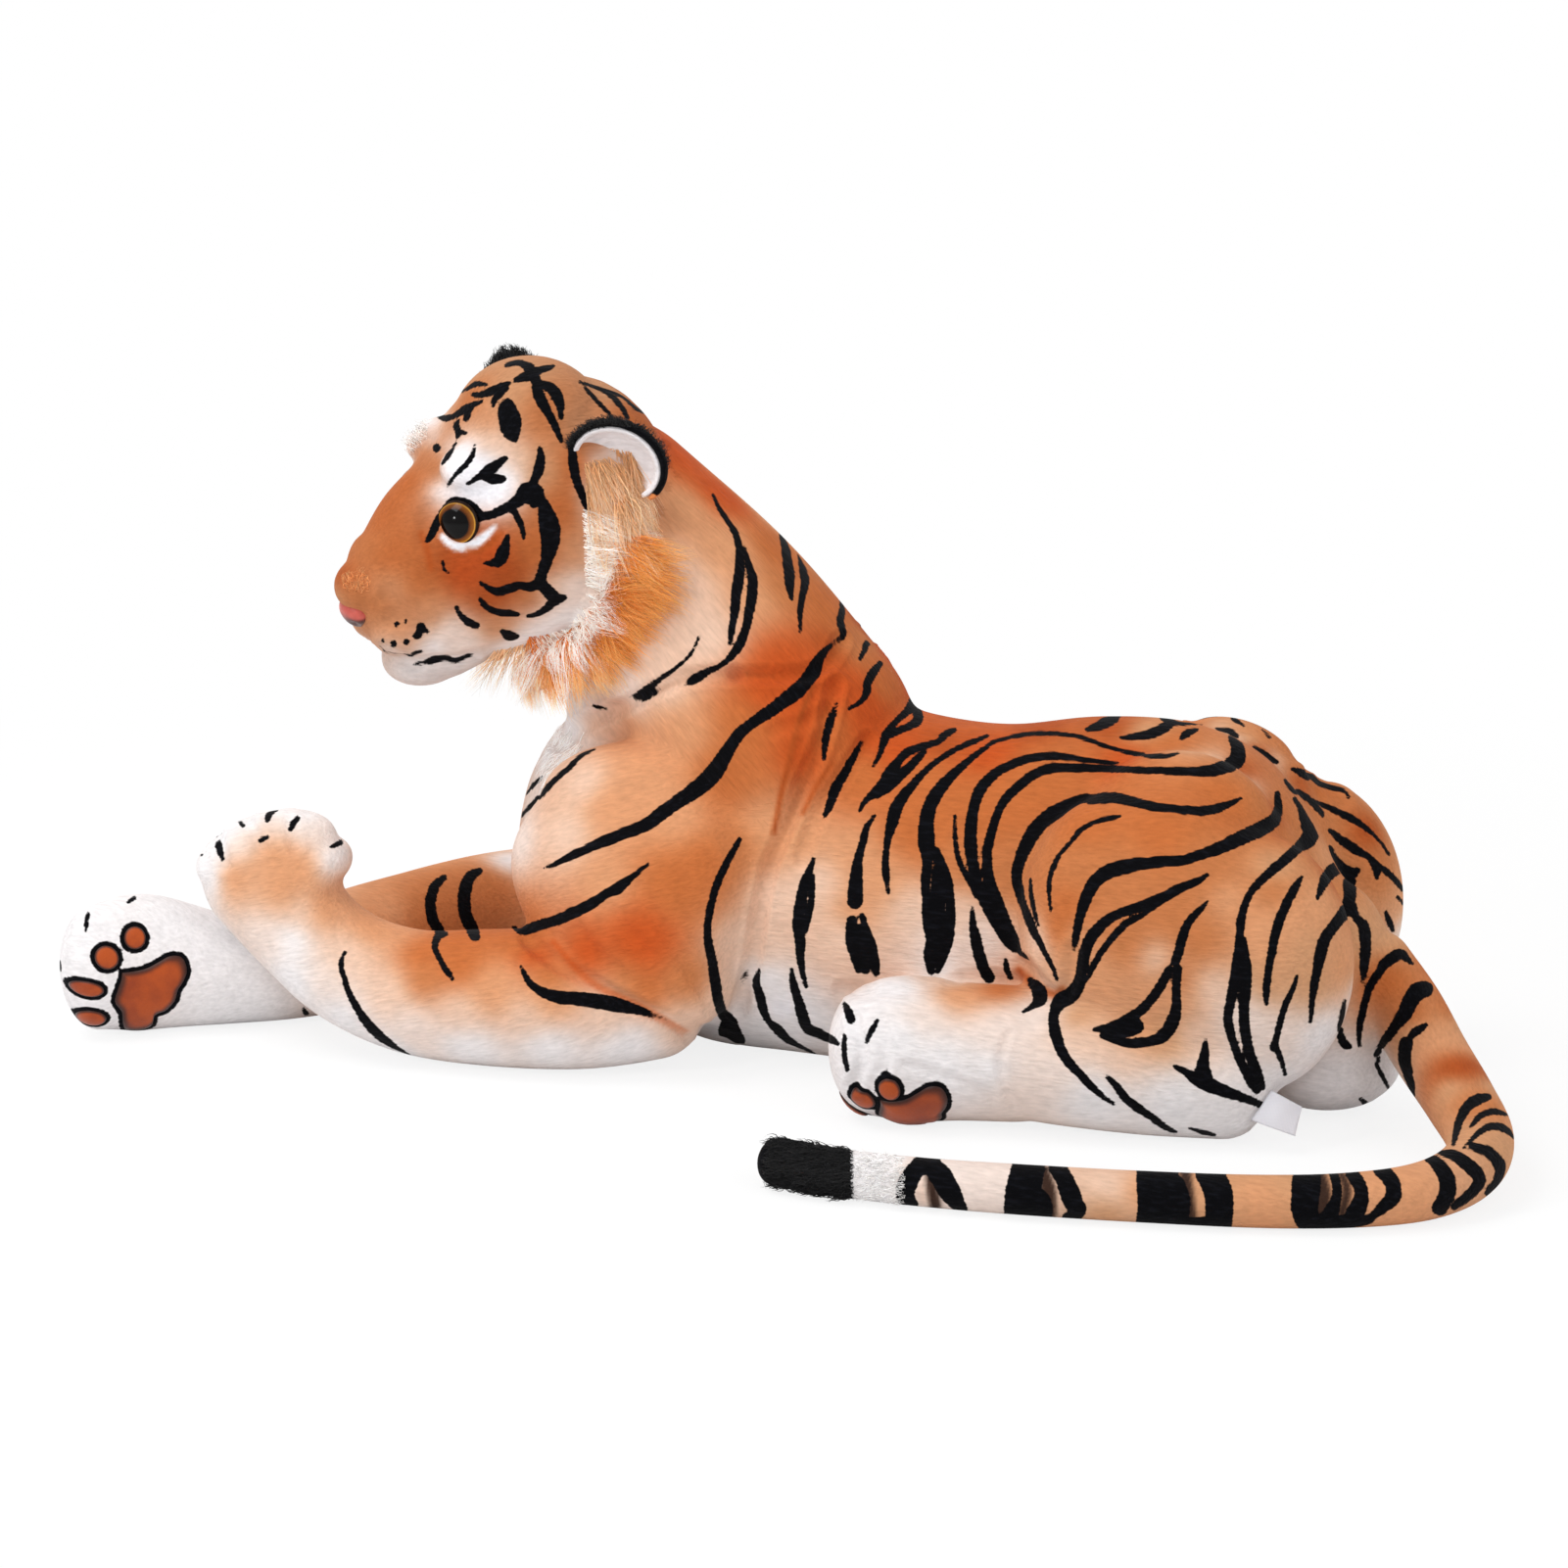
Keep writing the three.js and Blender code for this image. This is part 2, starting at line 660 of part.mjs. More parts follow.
// Neck: its ends are open for the stuffing
const neckForm = (grow) => stuffed(neckShape, grow);
const neckHoles = [
  column(neckTop, neckAxis, neck.openingRadius, overrun, sides.small),
  column(neckRoot, neckAxis.clone().negate(), neck.openingRadius, overrun, sides.small),
];
addStuffed("neck", neckForm, [], neckHoles, orangePlush);

// Eyes, nose and washers
/** A part turned on its axis, from its outline of radius and height, with its axis along a direction. */
function turned(outline, facets, at, direction) {
  const geometry = new THREE.LatheGeometry(
    outline.map(([radius, height]) => new THREE.Vector2(radius, height)),
    facets,
  );
  geometry.applyQuaternion(new THREE.Quaternion().setFromUnitVectors(acrossAxis, direction));
  return solidOf(geometry.translate(at.x, at.y, at.z));
}

/** The eye's outline, fattened by grow. */
function eyeOutline(grow = 0) {
  const domeShares = [0.3, 0.6, 0.85];
  const dome = domeShares.map((share) => [
    (eye.radius + grow) * share,
    eye.flange + (eye.rise + grow) * Math.sqrt(1 - share * share),
  ]);
  return [
    [0, -eye.shankLength - grow],
    [eye.shankRadius + grow, -eye.shankLength - grow],
    [eye.shankRadius + grow, -grow],
    [eye.radius + grow, -grow],
    [eye.radius + grow, eye.flange],
    ...dome.reverse(),
    [0, eye.flange + eye.rise + grow],
  ];
}

/** A washer's outline round a shank, fattened by grow. A fat one has no hole. */
function washerOutline(depth, grow = 0) {
  const hole = grow > 0 ? 0 : eye.shankRadius + clearance;
  return [
    [hole, -depth - washer.thickness - grow],
    [washer.radius + grow, -depth - washer.thickness - grow],
    [washer.radius + grow, -depth + grow],
    [hole, -depth + grow],
    [hole, -depth - washer.thickness - grow],
  ];
}

const headSolid = headForm();
const washerDepth = plushWall + clearance;
const faceFittings = [];
const faceCutters = [];
for (const [name, side] of [["left", 1], ["right", -1]]) {
  const gaze = headDirection(
    Math.cos(rad(eyeGazeDeg.out)),
    side * Math.sin(rad(eyeGazeDeg.out)),
    Math.sin(rad(eyeGazeDeg.up)),
  );
  const inside = inHead(eyePlaceShare.along, side * eyePlaceShare.side, eyePlaceShare.up);
  const seat = surfacePoint(headSolid, inside.addScaledVector(gaze, -head.length), gaze);
  const at = seat.addScaledVector(gaze, -eye.flange);
  faceFittings.push([`eye_${name}`, turned(eyeOutline(), sides.small, at, gaze), amberEye]);
  const ring = turned(washerOutline(washerDepth), sides.small, at, gaze);
  faceFittings.push([`eye_washer_${name}`, ring, washerPlastic]);
  faceCutters.push(turned(eyeOutline(clearance), sides.small, at, gaze));
  faceCutters.push(turned(washerOutline(washerDepth, clearance), sides.small, at, gaze));
}

const noseDirection = headDirection(1, 0, 0);
const noseSeat = surfacePoint(headSolid, inHead(0, 0, noseUpShare), noseDirection).addScaledVector(
  noseDirection,
  -noseSunkShare * nose.halfDepth,
);

/** The nose: an oval knob on a shank. */
function noseForm(grow = 0) {
  const knob = new THREE.SphereGeometry(1, sides.small, sides.small / 2);
  knob.scale(nose.halfDepth + grow, nose.halfWidth + grow, nose.halfHeight + grow);
  const matrix = headTurn.clone().setPosition(noseSeat);
  const shank = column(
    noseSeat,
    noseDirection.clone().negate(),
    nose.shankRadius + grow,
    nose.shankLength + grow,
    sides.core,
  );
  return placed(solidOf(knob), matrix).add(shank);
}
const noseWasherDepth = nose.halfDepth + clearance;
faceFittings.push(["nose", noseForm(), pinkNose]);
faceFittings.push([
  "nose_washer",
  turned(washerOutline(noseWasherDepth), sides.small, noseSeat, noseDirection),
  washerPlastic,
]);
faceCutters.push(noseForm(clearance));
faceCutters.push(
  turned(washerOutline(noseWasherDepth, clearance), sides.small, noseSeat, noseDirection),
);

// Ears
/** An ear's frame on the head: x across its width, y up and z out of its cup. */
function earFrame(place) {
  const side = Math.sign(place.side);
  const facing = headDirection(Math.cos(rad(earFacingDeg)), side * Math.sin(rad(earFacingDeg)), 0);
  const lifted = headDirection(0, side * Math.sin(rad(earTiltDeg)), Math.cos(rad(earTiltDeg)));
  const across = new THREE.Vector3().crossVectors(lifted, facing).normalize();
  const up = new THREE.Vector3().crossVectors(facing, across).normalize();
  const inside = inHead(place.along, 0, 0);
  const aim = inHead(place.along, place.side, place.up).sub(inside);
  const base = surfacePoint(headSolid, inside, aim.normalize());
  return { base, across, up, facing };
}

/** An ear's oval solid thinned by from, hollowed by a second oval thinned by to, cut at rim and root. */
function earCup(frame, from, to = null) {
  const oval = (inset) => {
    const shape = new THREE.SphereGeometry(1, sides.small, sides.small / 2);
    shape.scale(ear.halfWidth - inset, ear.halfHeight - inset, ear.halfDepth - inset);
    return solidOf(shape);
  };
  const lift = ear.halfHeight - ear.sunk;
  const rim = -earRimShare * ear.halfDepth + Math.min(0, from);
  const whole = to === null ? oval(from) : oval(from).subtract(oval(to));
  const cup = whole.trimByPlane([0, 0, -1], rim).trimByPlane([0, 1, 0], -lift + Math.min(0, from));
  const origin = frame.base.clone().addScaledVector(frame.up, lift - ear.layer);
  const matrix = new THREE.Matrix4().makeBasis(frame.across, frame.up, frame.facing).setPosition(origin);
  return placed(cup, matrix);
}

const earFrames = { left: earFrame(earPlaceShares.left), right: earFrame(earPlaceShares.right) };
const earSweeps = Object.values(earFrames).map((frame) =>
  sweptHull(earCup(frame, -sewingGap), frame.base, frame.across, -ear.foldDeg, ear.foldDeg),
);

// Head
const neckOpening = neckTop.clone().addScaledVector(neckAxis, -neckOpeningShare * neck.length);
const neckTurning = stuffed({ ...neckShape, sides: 2 * sides.neck }, turningGap);
const neckSpace = joined([
  neckTurning,
  column(neckOpening, neckAxis.clone().negate(), overrun, overrun, sides.core),
]);
addStuffed("head", headForm, [neckSpace, ...faceCutters, ...earSweeps], [], orangePlush);
for (const [name, solid, material] of faceFittings) {
  addPiece(name, solid, material);
}
for (const [name, frame] of Object.entries(earFrames)) {
  addPiece(`ear_${name}_back`, earCup(frame, 0, ear.layer), blackPlush, true);
  const lining = earCup(frame, ear.layer + sewingGap, 2 * ear.layer + sewingGap);
  addPiece(`ear_${name}_lining`, lining, whitePlush, true);
}

// Ruffs
/** A ruff's tube on one side of the head. */
function ruffForm(side, grow = 0) {
  const stations = ruffShares.map(([along, out, up, girth]) => ({
    at: new THREE.Vector3(along * head.length, side * out * head.width, up * head.height),
    wide: girth * ruff.halfThickness,
    tall: girth * ruff.halfWidth,
  }));
  const shape = {
    stations,
    startCap: ruff.endCap,
    endCap: ruff.endCap,
    sides: sides.tail,
    steps: 2,
    hint: alongAxis,
  };
  return placed(stuffed(shape, grow), headFrame);
}
const ruffCutters = [
  headForm(clearance),
  neckTurning,
  ...earSweeps,
  ...faceCutters,
];
addPiece("cheek_ruff_left", without(ruffForm(1), ruffCutters), ruffFur);
addPiece("cheek_ruff_right", without(ruffForm(-1), [...ruffCutters, ruffForm(1, clearance)]), ruffFur);

// Pads
/** The patches on a sole: at is its middle, forward points to the toes, out away from the palm, and
 * hand is 1 or -1, for a right or a left paw's layout. */
function addPads(name, form, at, forward, out, hand) {
  const across = new THREE.Vector3().crossVectors(forward, out).normalize().multiplyScalar(hand);
  const skin = form(clearance + pad.rise).subtract(form(clearance));
  const frame = new THREE.Matrix4().makeBasis(forward, across, out);
  const patch = (outline, along, aside, turnDeg) => {
    const shape = new THREE.Shape(outline);
    const geometry = new THREE.ExtrudeGeometry(shape, { depth: overrun, bevelEnabled: false });
    geometry.rotateZ(rad(turnDeg)).translate(along, aside, 0);
    return skin.intersect(placed(solidOf(geometry), frame.clone().setPosition(at)));
  };
  const finish = (solid) => above(solid, pad.floorGap);
  const palmCurve = new THREE.CatmullRomCurve3(
    palmOutlineShares.map(([x, y]) => new THREE.Vector3(x * pad.palmLength, y * pad.palmWidth, 0)),
    true,
  );
  const palmPoints = palmCurve.getPoints(sides.small).slice(0, -1);
  const palm = patch(
    palmPoints.map((p) => new THREE.Vector2(p.x, p.y)).reverse(),
    palmPlaceShare.forward * pad.palmLength,
    palmPlaceShare.across * pad.palmWidth,
    0,
  );
  addPiece(`${name}_palm_pad`, finish(palm), padCloth);
  for (const toe of padShares) {
    const oval = new THREE.EllipseCurve(0, 0, pad.toeLength / 2, pad.toeWidth / 2);
    const solid = patch(
      oval.getPoints(sides.core).slice(0, -1),
      toe.forward * pad.palmLength,
      toe.across * pad.palmWidth,
      toe.turnDeg,
    );
    addPiece(`${name}_${toe.name}`, finish(solid), padCloth);
  }
}

// Forelegs
const neckInLegFrame = (pivot, axis, low, high) => sweptHull(neckSweep, pivot, axis, low, high);
const legSets = [
  {
    name: "foreleg_left",
    leg: forelegLeft,
    neckSpace: neckInLegFrame(leftShoulder, acrossAxis, -foreleg.liftDeg, 0),
    inward: 1,
  },
  {
    name: "foreleg_right",
    leg: forelegRight,
    neckSpace: neckInLegFrame(rightShoulder, upAxis, 0, foreleg.liftDeg),
    inward: -1,
  },
];
for (const { name, leg, neckSpace: space, inward } of legSets) {
  const form = (grow) => above(forelegForm(leg, grow), Math.max(0, -grow));
  const hole = column(
    leg.shoulder.stations[1].at,
    acrossAxis.clone().multiplyScalar(inward),
    fillingHoleRadius,
    overrun,
    sides.small,
  );
  addStuffed(name, form, [space], [hole], orangePlush);
  const last = leg.forearm.stations[leg.forearm.stations.length - 2].at;
  const wrist = leg.forearm.stations[leg.forearm.stations.length - 4].at;
  const forward = last.clone().sub(wrist).normalize();
  const out = new THREE.Vector3().crossVectors(forward, inward > 0 ? acrossAxis : upAxis).normalize();
  const palmOut = inward > 0 ? acrossAxis : out.clone().negate();
  const squareForward = forward.clone().projectOnPlane(palmOut).normalize();
  addPads(name, form, last, squareForward, palmOut, -inward);
}

// Hind legs
for (const [name, leg, side, sweepIndex] of [
  ["hind_left", hindLeft, -1, 0],
  ["hind_right", hindRight, 1, 1],
]) {
  const form = (grow) =>
    above(stuffed(leg.thigh, grow).add(stuffed(leg.shin, grow)), Math.max(0, -grow));
  const cutters = [torsoForm(sewingGap), tailSweep, footSweeps[sweepIndex]];
  addStuffed(`${name}_leg`, form, cutters, [], orangePlush);
  const footForm = (grow) => above(stuffed(leg.foot, grow), Math.max(0, -grow));
  const hole = column(leg.ankle, alongAxis, fillingHoleRadius, overrun, sides.small);
  addStuffed(`${name}_foot`, footForm, [], [hole], orangePlush);
  const sole = leg.foot.stations[2].at;
  const out = new THREE.Vector3(0, side, -1).normalize();
  addPads(`${name}_foot`, footForm, sole, alongAxis.clone().negate(), out, -side);
}

// Tail
tailLengths.forEach(({ shape, pivot }, i) => {
  const next = tailLengths[i + 1];
  const cutters = next ? [tailStartSweep(next, seamStations, tailSwingDeg)] : [];
  const form = (grow) => above(tailForm(i, grow), Math.max(0, -grow));
  const start = shape.stations[0];
  const inward = start.at.clone().sub(shape.stations[1].at).normalize();
  const hole = column(pivot, inward, start.wide * tailOpeningShare, overrun, sides.small);
  addStuffed(tailNames[i], form, cutters, [hole], orangePlush);
});

// Care label
const labelInside = new THREE.Vector3(
  torsoX(thighCentreShare) + labelPlaceShare.along * hind.length,
  -labelPlaceShare.out * hind.girth,
  labelPlaceShare.up * hind.girth,
);
const labelAim = new THREE.Vector3(Math.sin(rad(label.turnDeg)), -Math.cos(rad(label.turnDeg)), 0);
const shinSolid = stuffed(hindLeft.shin);
const labelSeat = surfacePoint(shinSolid, labelInside, labelAim);
const labelGeometry = new THREE.BoxGeometry(label.width, label.thickness, label.length);
labelGeometry.translate(0, 0, -label.length / 2).rotateX(-rad(label.tiltDeg));
labelGeometry.rotateZ(rad(label.turnDeg)).translate(labelSeat.x, labelSeat.y, labelSeat.z);
const labelCutters = [stuffed(hindLeft.thigh, clearance), stuffed(hindLeft.shin, clearance)];
addPiece("care_label", above(without(solidOf(labelGeometry), labelCutters), pad.floorGap), labelCloth);

export default tiger;
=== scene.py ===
"""Looks of a lying plush tiger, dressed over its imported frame."""

import logging
import math
from dataclasses import dataclass, field
from enum import Enum

import bmesh
import bpy
import numpy as np
from bmesh.types import BMesh
from bpy.types import Material, Mesh, Node, NodeSocket, Object
from mathutils import Matrix, Vector
from mathutils.bvhtree import BVHTree
from mathutils.kdtree import KDTree


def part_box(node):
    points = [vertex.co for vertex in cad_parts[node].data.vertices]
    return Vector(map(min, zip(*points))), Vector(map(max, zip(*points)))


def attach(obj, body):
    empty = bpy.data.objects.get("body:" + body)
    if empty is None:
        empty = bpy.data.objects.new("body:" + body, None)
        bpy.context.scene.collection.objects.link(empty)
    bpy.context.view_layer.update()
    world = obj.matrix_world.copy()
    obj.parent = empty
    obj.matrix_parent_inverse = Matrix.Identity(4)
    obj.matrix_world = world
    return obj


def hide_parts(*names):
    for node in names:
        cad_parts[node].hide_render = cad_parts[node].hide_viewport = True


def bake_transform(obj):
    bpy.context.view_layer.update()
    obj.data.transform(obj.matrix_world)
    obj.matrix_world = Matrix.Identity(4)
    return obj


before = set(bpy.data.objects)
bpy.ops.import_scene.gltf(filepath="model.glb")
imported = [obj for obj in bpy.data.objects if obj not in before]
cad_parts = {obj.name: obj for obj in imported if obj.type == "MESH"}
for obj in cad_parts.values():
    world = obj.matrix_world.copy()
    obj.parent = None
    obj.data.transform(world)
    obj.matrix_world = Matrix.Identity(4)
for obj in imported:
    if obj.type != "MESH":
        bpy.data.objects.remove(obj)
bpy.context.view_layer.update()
log = logging.getLogger("tiger")
MM = 0.001
NO_STRIPE = 8.0  # mm to the nearest stripe's edge, past the end of the pile's fuzz
FLOOR = 0.2  # mm above the ground that the skin stops at
WELD = 0.00002  # m


class Cloth(Enum):
    """The record's material slots."""

    ORANGE = "orange_plush"
    RUFF = "ruff_fur"
    BLACK = "black_plush"
    WHITE = "white_plush"
    EYE = "eye_plastic"
    NOSE = "nose_flock"
    PAD = "pad_cloth"
    LABEL = "label_ribbon"


def unit(vector: np.ndarray) -> np.ndarray:
    """A vector, or each row of vectors, at length 1."""
    return vector / np.maximum(np.linalg.norm(vector, axis=-1, keepdims=True), 1e-9)


def linear(colours: np.ndarray) -> np.ndarray:
    """Colours as they look on a screen, 0 to 255, as the shader's own numbers."""
    share = colours / 255
    return np.where(share <= 0.04045, share / 12.92, ((share + 0.055) / 1.055) ** 2.4)


def srgb(red: float, green: float, blue: float) -> tuple[float, float, float, float]:
    """One screen colour as the shader's own numbers, with full cover."""
    return (*linear(np.array((red, green, blue))).tolist(), 1.0)


def smooth_step(low: float, high: float, value: np.ndarray) -> np.ndarray:
    """0 below low, 1 above high and a soft rise between."""
    t = np.clip((value - low) / (high - low), 0, 1)
    return t * t * (3 - 2 * t)


# Viewpoint


@dataclass(frozen=True)
class View:
    """The viewpoint: lengths in mm, places in the pixels of the 1601 x 1601 picture."""

    azimuth: float = 20.0
    elevation: float = 15.0
    distance: float = 2600.0
    pixel: float = 0.6
    size: int = 1601
    origin: tuple[float, float] = (887.77, 1074.92)

    def axes(self) -> tuple[np.ndarray, np.ndarray, np.ndarray]:
        """The directions right, up and back, towards the camera.

        Returns:
            The three, each of length 1.
        """
        az, el = math.radians(self.azimuth), math.radians(self.elevation)
        right = np.array([math.cos(az), math.sin(az), 0.0])
        back = np.array([math.sin(az) * math.cos(el), -math.cos(az) * math.cos(el), math.sin(el)])
        return right, np.cross(back, right), back

    def eye(self) -> np.ndarray:
        """The camera's place in mm.

        Returns:
            Its x, y and z.
        """
        right, up, back = self.axes()
        middle = self.size / 2
        aside = (middle - self.origin[0]) * self.pixel
        above = (self.origin[1] - middle) * self.pixel
        return back * self.distance + right * aside + up * above

    def rays(self, pixels: np.ndarray) -> np.ndarray:
        """The directions from the camera through pixels, one row each.

        Args:
            pixels: x and y of each pixel.

        Returns:
            Directions of length 1.
        """
        right, up, back = self.axes()
        focal = self.distance / self.pixel
        middle = self.size / 2
        offset = (pixels[:, :1] - middle) * right - (pixels[:, 1:2] - middle) * up
        return unit(offset - back * focal)

    def add_camera(self) -> None:
        """Makes the scene's camera."""
        right, up, back = self.axes()
        data = bpy.data.cameras.new("camera")
        data.sensor_width = 36.0
        data.lens = 36.0 * self.distance / self.pixel / self.size
        data.clip_end = 30.0
        camera = bpy.data.objects.new("camera", data)
        turn = Matrix([[right[i], up[i], back[i]] for i in range(3)]).to_4x4()
        camera.matrix_world = Matrix.Translation(Vector(self.eye() * MM)) @ turn
        bpy.context.scene.collection.objects.link(camera)
        bpy.context.scene.camera = camera


# Shader tools


class Bench:
    """A material's node tree, with one method that adds any node to it."""

    def __init__(self, name: str) -> None:
        """Starts an empty material.

        Args:
            name: the material's name.
        """
        self.material = bpy.data.materials.new(name)
        self.material.use_nodes = True
        self.tree = self.material.node_tree
        self.tree.nodes.clear()

    def add(self, kind: str, settings: dict | None = None, **inputs: object) -> Node:
        """Adds a node.

        Args:
            kind: the node's type name.
            settings: its settings, such as operation; stops gives a ramp's places and colours.
            inputs: values or links of its sockets; a key is the socket's name with _ for a
                blank, or i and its number.

        Returns:
            The node.
        """
        node = self.tree.nodes.new(kind)
        for key, value in (settings or {}).items():
            if key == "stops":
                ramp = node.color_ramp
                for place, colour in value[2:]:
                    ramp.elements.new(place).color = colour
                for element, (place, colour) in zip((ramp.elements[0], ramp.elements[-1]), value[:2]):
                    element.position, element.color = place, colour
            else:
                setattr(node, key, value)
        for key, value in inputs.items():
            index = int(key[1:]) if key[0] == "i" and key[1:].isdigit() else None
            socket = node.inputs[index] if index is not None else node.inputs[key.replace("_", " ")]
            self.feed(socket, value)
        return node

    def feed(self, socket: NodeSocket, value: object) -> None:
        """Sets a socket to a value, or links it.

        Args:
            socket: the input.
            value: a number, colour, vector, socket or Value.
        """
        if isinstance(value, Value):
            value = value.socket
        if isinstance(value, NodeSocket):
            self.tree.links.new(value, socket)
        else:
            socket.default_value = value

    def value(self, socket: NodeSocket) -> "Value":
        """A number socket that takes part in sums."""
        return Value(self, socket)

    def mix(self, share: object, first: object, second: object, blend: str = "MIX") -> NodeSocket:
        """Two colours mixed.

        Args:
            share: how much of the second, a number or Value.
            first: a colour or socket.
            second: a colour or socket.
            blend: the way of mixing.

        Returns:
            The colour socket.
        """
        settings = {"data_type": "RGBA", "blend_type": blend}
        return self.add("ShaderNodeMix", settings, i0=share, i6=first, i7=second).outputs[2]

    def noise(self, vector: NodeSocket, scale: float, detail: float = 2.0) -> "Value":
        """Cloudy noise as a number round 0.5."""
        node = self.add("ShaderNodeTexNoise", Vector=vector, Scale=scale, Detail=detail)
        return self.value(node.outputs[0])

    def shaded(self, colour: object, shade: "Value") -> NodeSocket:
        """A colour multiplied by a number."""
        grey = self.add("ShaderNodeCombineColor", Red=shade, Green=shade, Blue=shade).outputs[0]
        return self.mix(1.0, colour, grey, "MULTIPLY")

    def place(self) -> NodeSocket:
        """The place on the piece, in the row's frame."""
        return self.add("ShaderNodeTexCoord").outputs["Object"]

    def number(self, name: str) -> "Value":
        """One of the mesh's number attributes."""
        return self.value(self.attribute(name).outputs["Fac"])

    def bump(self, height: "Value", strength: float, distance: float) -> NodeSocket:
        """A normal bent by a height, with the distance in metres."""
        node = self.add("ShaderNodeBump", Strength=strength, Distance=distance, Height=height)
        return node.outputs[0]

    def attribute(self, name: str) -> Node:
        """A node that reads one of the mesh's attributes."""
        return self.add("ShaderNodeAttribute", {"attribute_name": name})

    def finish(self, shader: NodeSocket) -> Material:
        """Connects the shader to the output and returns the material."""
        self.add("ShaderNodeOutputMaterial", Surface=shader)
        return self.material


class Value:
    """A number socket with the operators that are used on it."""

    def __init__(self, bench: Bench, socket: NodeSocket) -> None:
        """Wraps a number socket of a bench's tree."""
        self.bench = bench
        self.socket = socket

    def join(self, operation: str, *terms: object) -> "Value":
        """The result of a Math node.

        Args:
            operation: the node's operation.
            terms: the numbers or Values that it takes, in order.

        Returns:
            The result.
        """
        inputs = {f"i{i}": term for i, term in enumerate(terms)}
        node = self.bench.add("ShaderNodeMath", {"operation": operation}, **inputs)
        return Value(self.bench, node.outputs[0])

    def __add__(self, other: object) -> "Value":
        """self + other."""
        return self.join("ADD", self, other)

    __radd__ = __add__

    def __mul__(self, other: object) -> "Value":
        """self * other."""
        return self.join("MULTIPLY", self, other)

    __rmul__ = __mul__

    def __sub__(self, other: object) -> "Value":
        """self - other."""
        return self.join("SUBTRACT", self, other)

    def __rsub__(self, other: object) -> "Value":
        """other - self."""
        return self.join("SUBTRACT", other, self)

    def ramp(self, low: float, high: float) -> "Value":
        """0 at low and 1 at high, with a smooth rise between.

        Args:
            low: where it is 0.
            high: where it is 1.

        Returns:
            The number from 0 to 1.
        """
        settings = {"interpolation_type": "SMOOTHSTEP"}
        node = self.bench.add("ShaderNodeMapRange", settings, Value=self, i1=low, i2=high, i3=0.0, i4=1.0)
        return Value(self.bench, node.outputs[0])


# Finishes


@dataclass(frozen=True)
class PlushFinish:
    """Short sewn pile: colours from the tint attribute, stripes from the stripe attribute."""

    name: str
    comb: tuple[float, float, float] = (0.0, 0.0, 0.0)
    streak: float = 520.0
    stretch: float = 0.22
    fuzz: float = 0.9
    black: tuple[float, float, float, float] = srgb(6, 6, 9)

    def build(self) -> Material:
        """Makes the material.

        Returns:
            The material.
        """
        bench = Bench(self.name)
        place = bench.place()
        turned = bench.add("ShaderNodeMapping", Vector=place, Rotation=self.comb).outputs[0]
        combed = bench.add("ShaderNodeMapping", Vector=turned, Scale=(self.stretch, 1, 1)).outputs[0]
        streak = bench.noise(combed, self.streak, 3.0)
        clump = bench.noise(turned, 130.0, 2.0)
        broad = bench.noise(place, 16.0, 2.0)
        distance = bench.number("stripe")
        furry = distance + (streak - 0.5) * (2 * self.fuzz) + (clump - 0.5) * 0.7
        mask = 1 - furry.ramp(-0.25, 0.55)
        tint = bench.attribute("tint").outputs["Color"]
        lit = bench.shaded(tint, 0.66 + streak * 0.4 + clump * 0.18 + broad * 0.1)
        # The black pile turns lighter and bluish along the streak noise: a random grain that also stands in
        # for the pile's sheen, so partly a painted sheen.
        black_with_painted_sheen = bench.mix(streak.ramp(0.45, 0.8), self.black, srgb(19, 20, 26))
        colour = bench.mix(mask, lit, black_with_painted_sheen)
        height = streak * 0.7 + clump * 0.5
        bump = bench.bump(height, 0.7, 0.0016)
        shader = bench.add(
            "ShaderNodeBsdfPrincipled",
            Base_Color=colour,
            Roughness=0.92,
            Normal=bump,
            Specular_IOR_Level=0.06,
            Sheen_Weight=0.03,
            Sheen_Roughness=0.5,
        )
        return bench.finish(shader.outputs[0])


@dataclass(frozen=True)
class HairFinish:
    """Loose strands that carry their own colour, and glow faintly in it: painted light that lifts them out of
    the shade they cast on one another.
    """

    name: str
    roughness: float = 0.62

    def build(self) -> Material:
        """Makes the material.

        Returns:
            The material.
        """
        bench = Bench(self.name)
        place = bench.place()
        patch = bench.noise(place, 90.0, 2.0)
        tint = bench.attribute("tint").outputs["Color"]
        shader = bench.add(
            "ShaderNodeBsdfPrincipled",
            Base_Color=bench.shaded(tint, 0.82 + patch * 0.36),
            Roughness=self.roughness,
            Specular_IOR_Level=0.3,
            Sheen_Weight=0.06,
            # Painted light: a faint glow in the strand's own colour, against the strands' shade on one
            # another.
            Emission_Color=tint,
            Emission_Strength=0.22,
        )
        return bench.finish(shader.outputs[0])


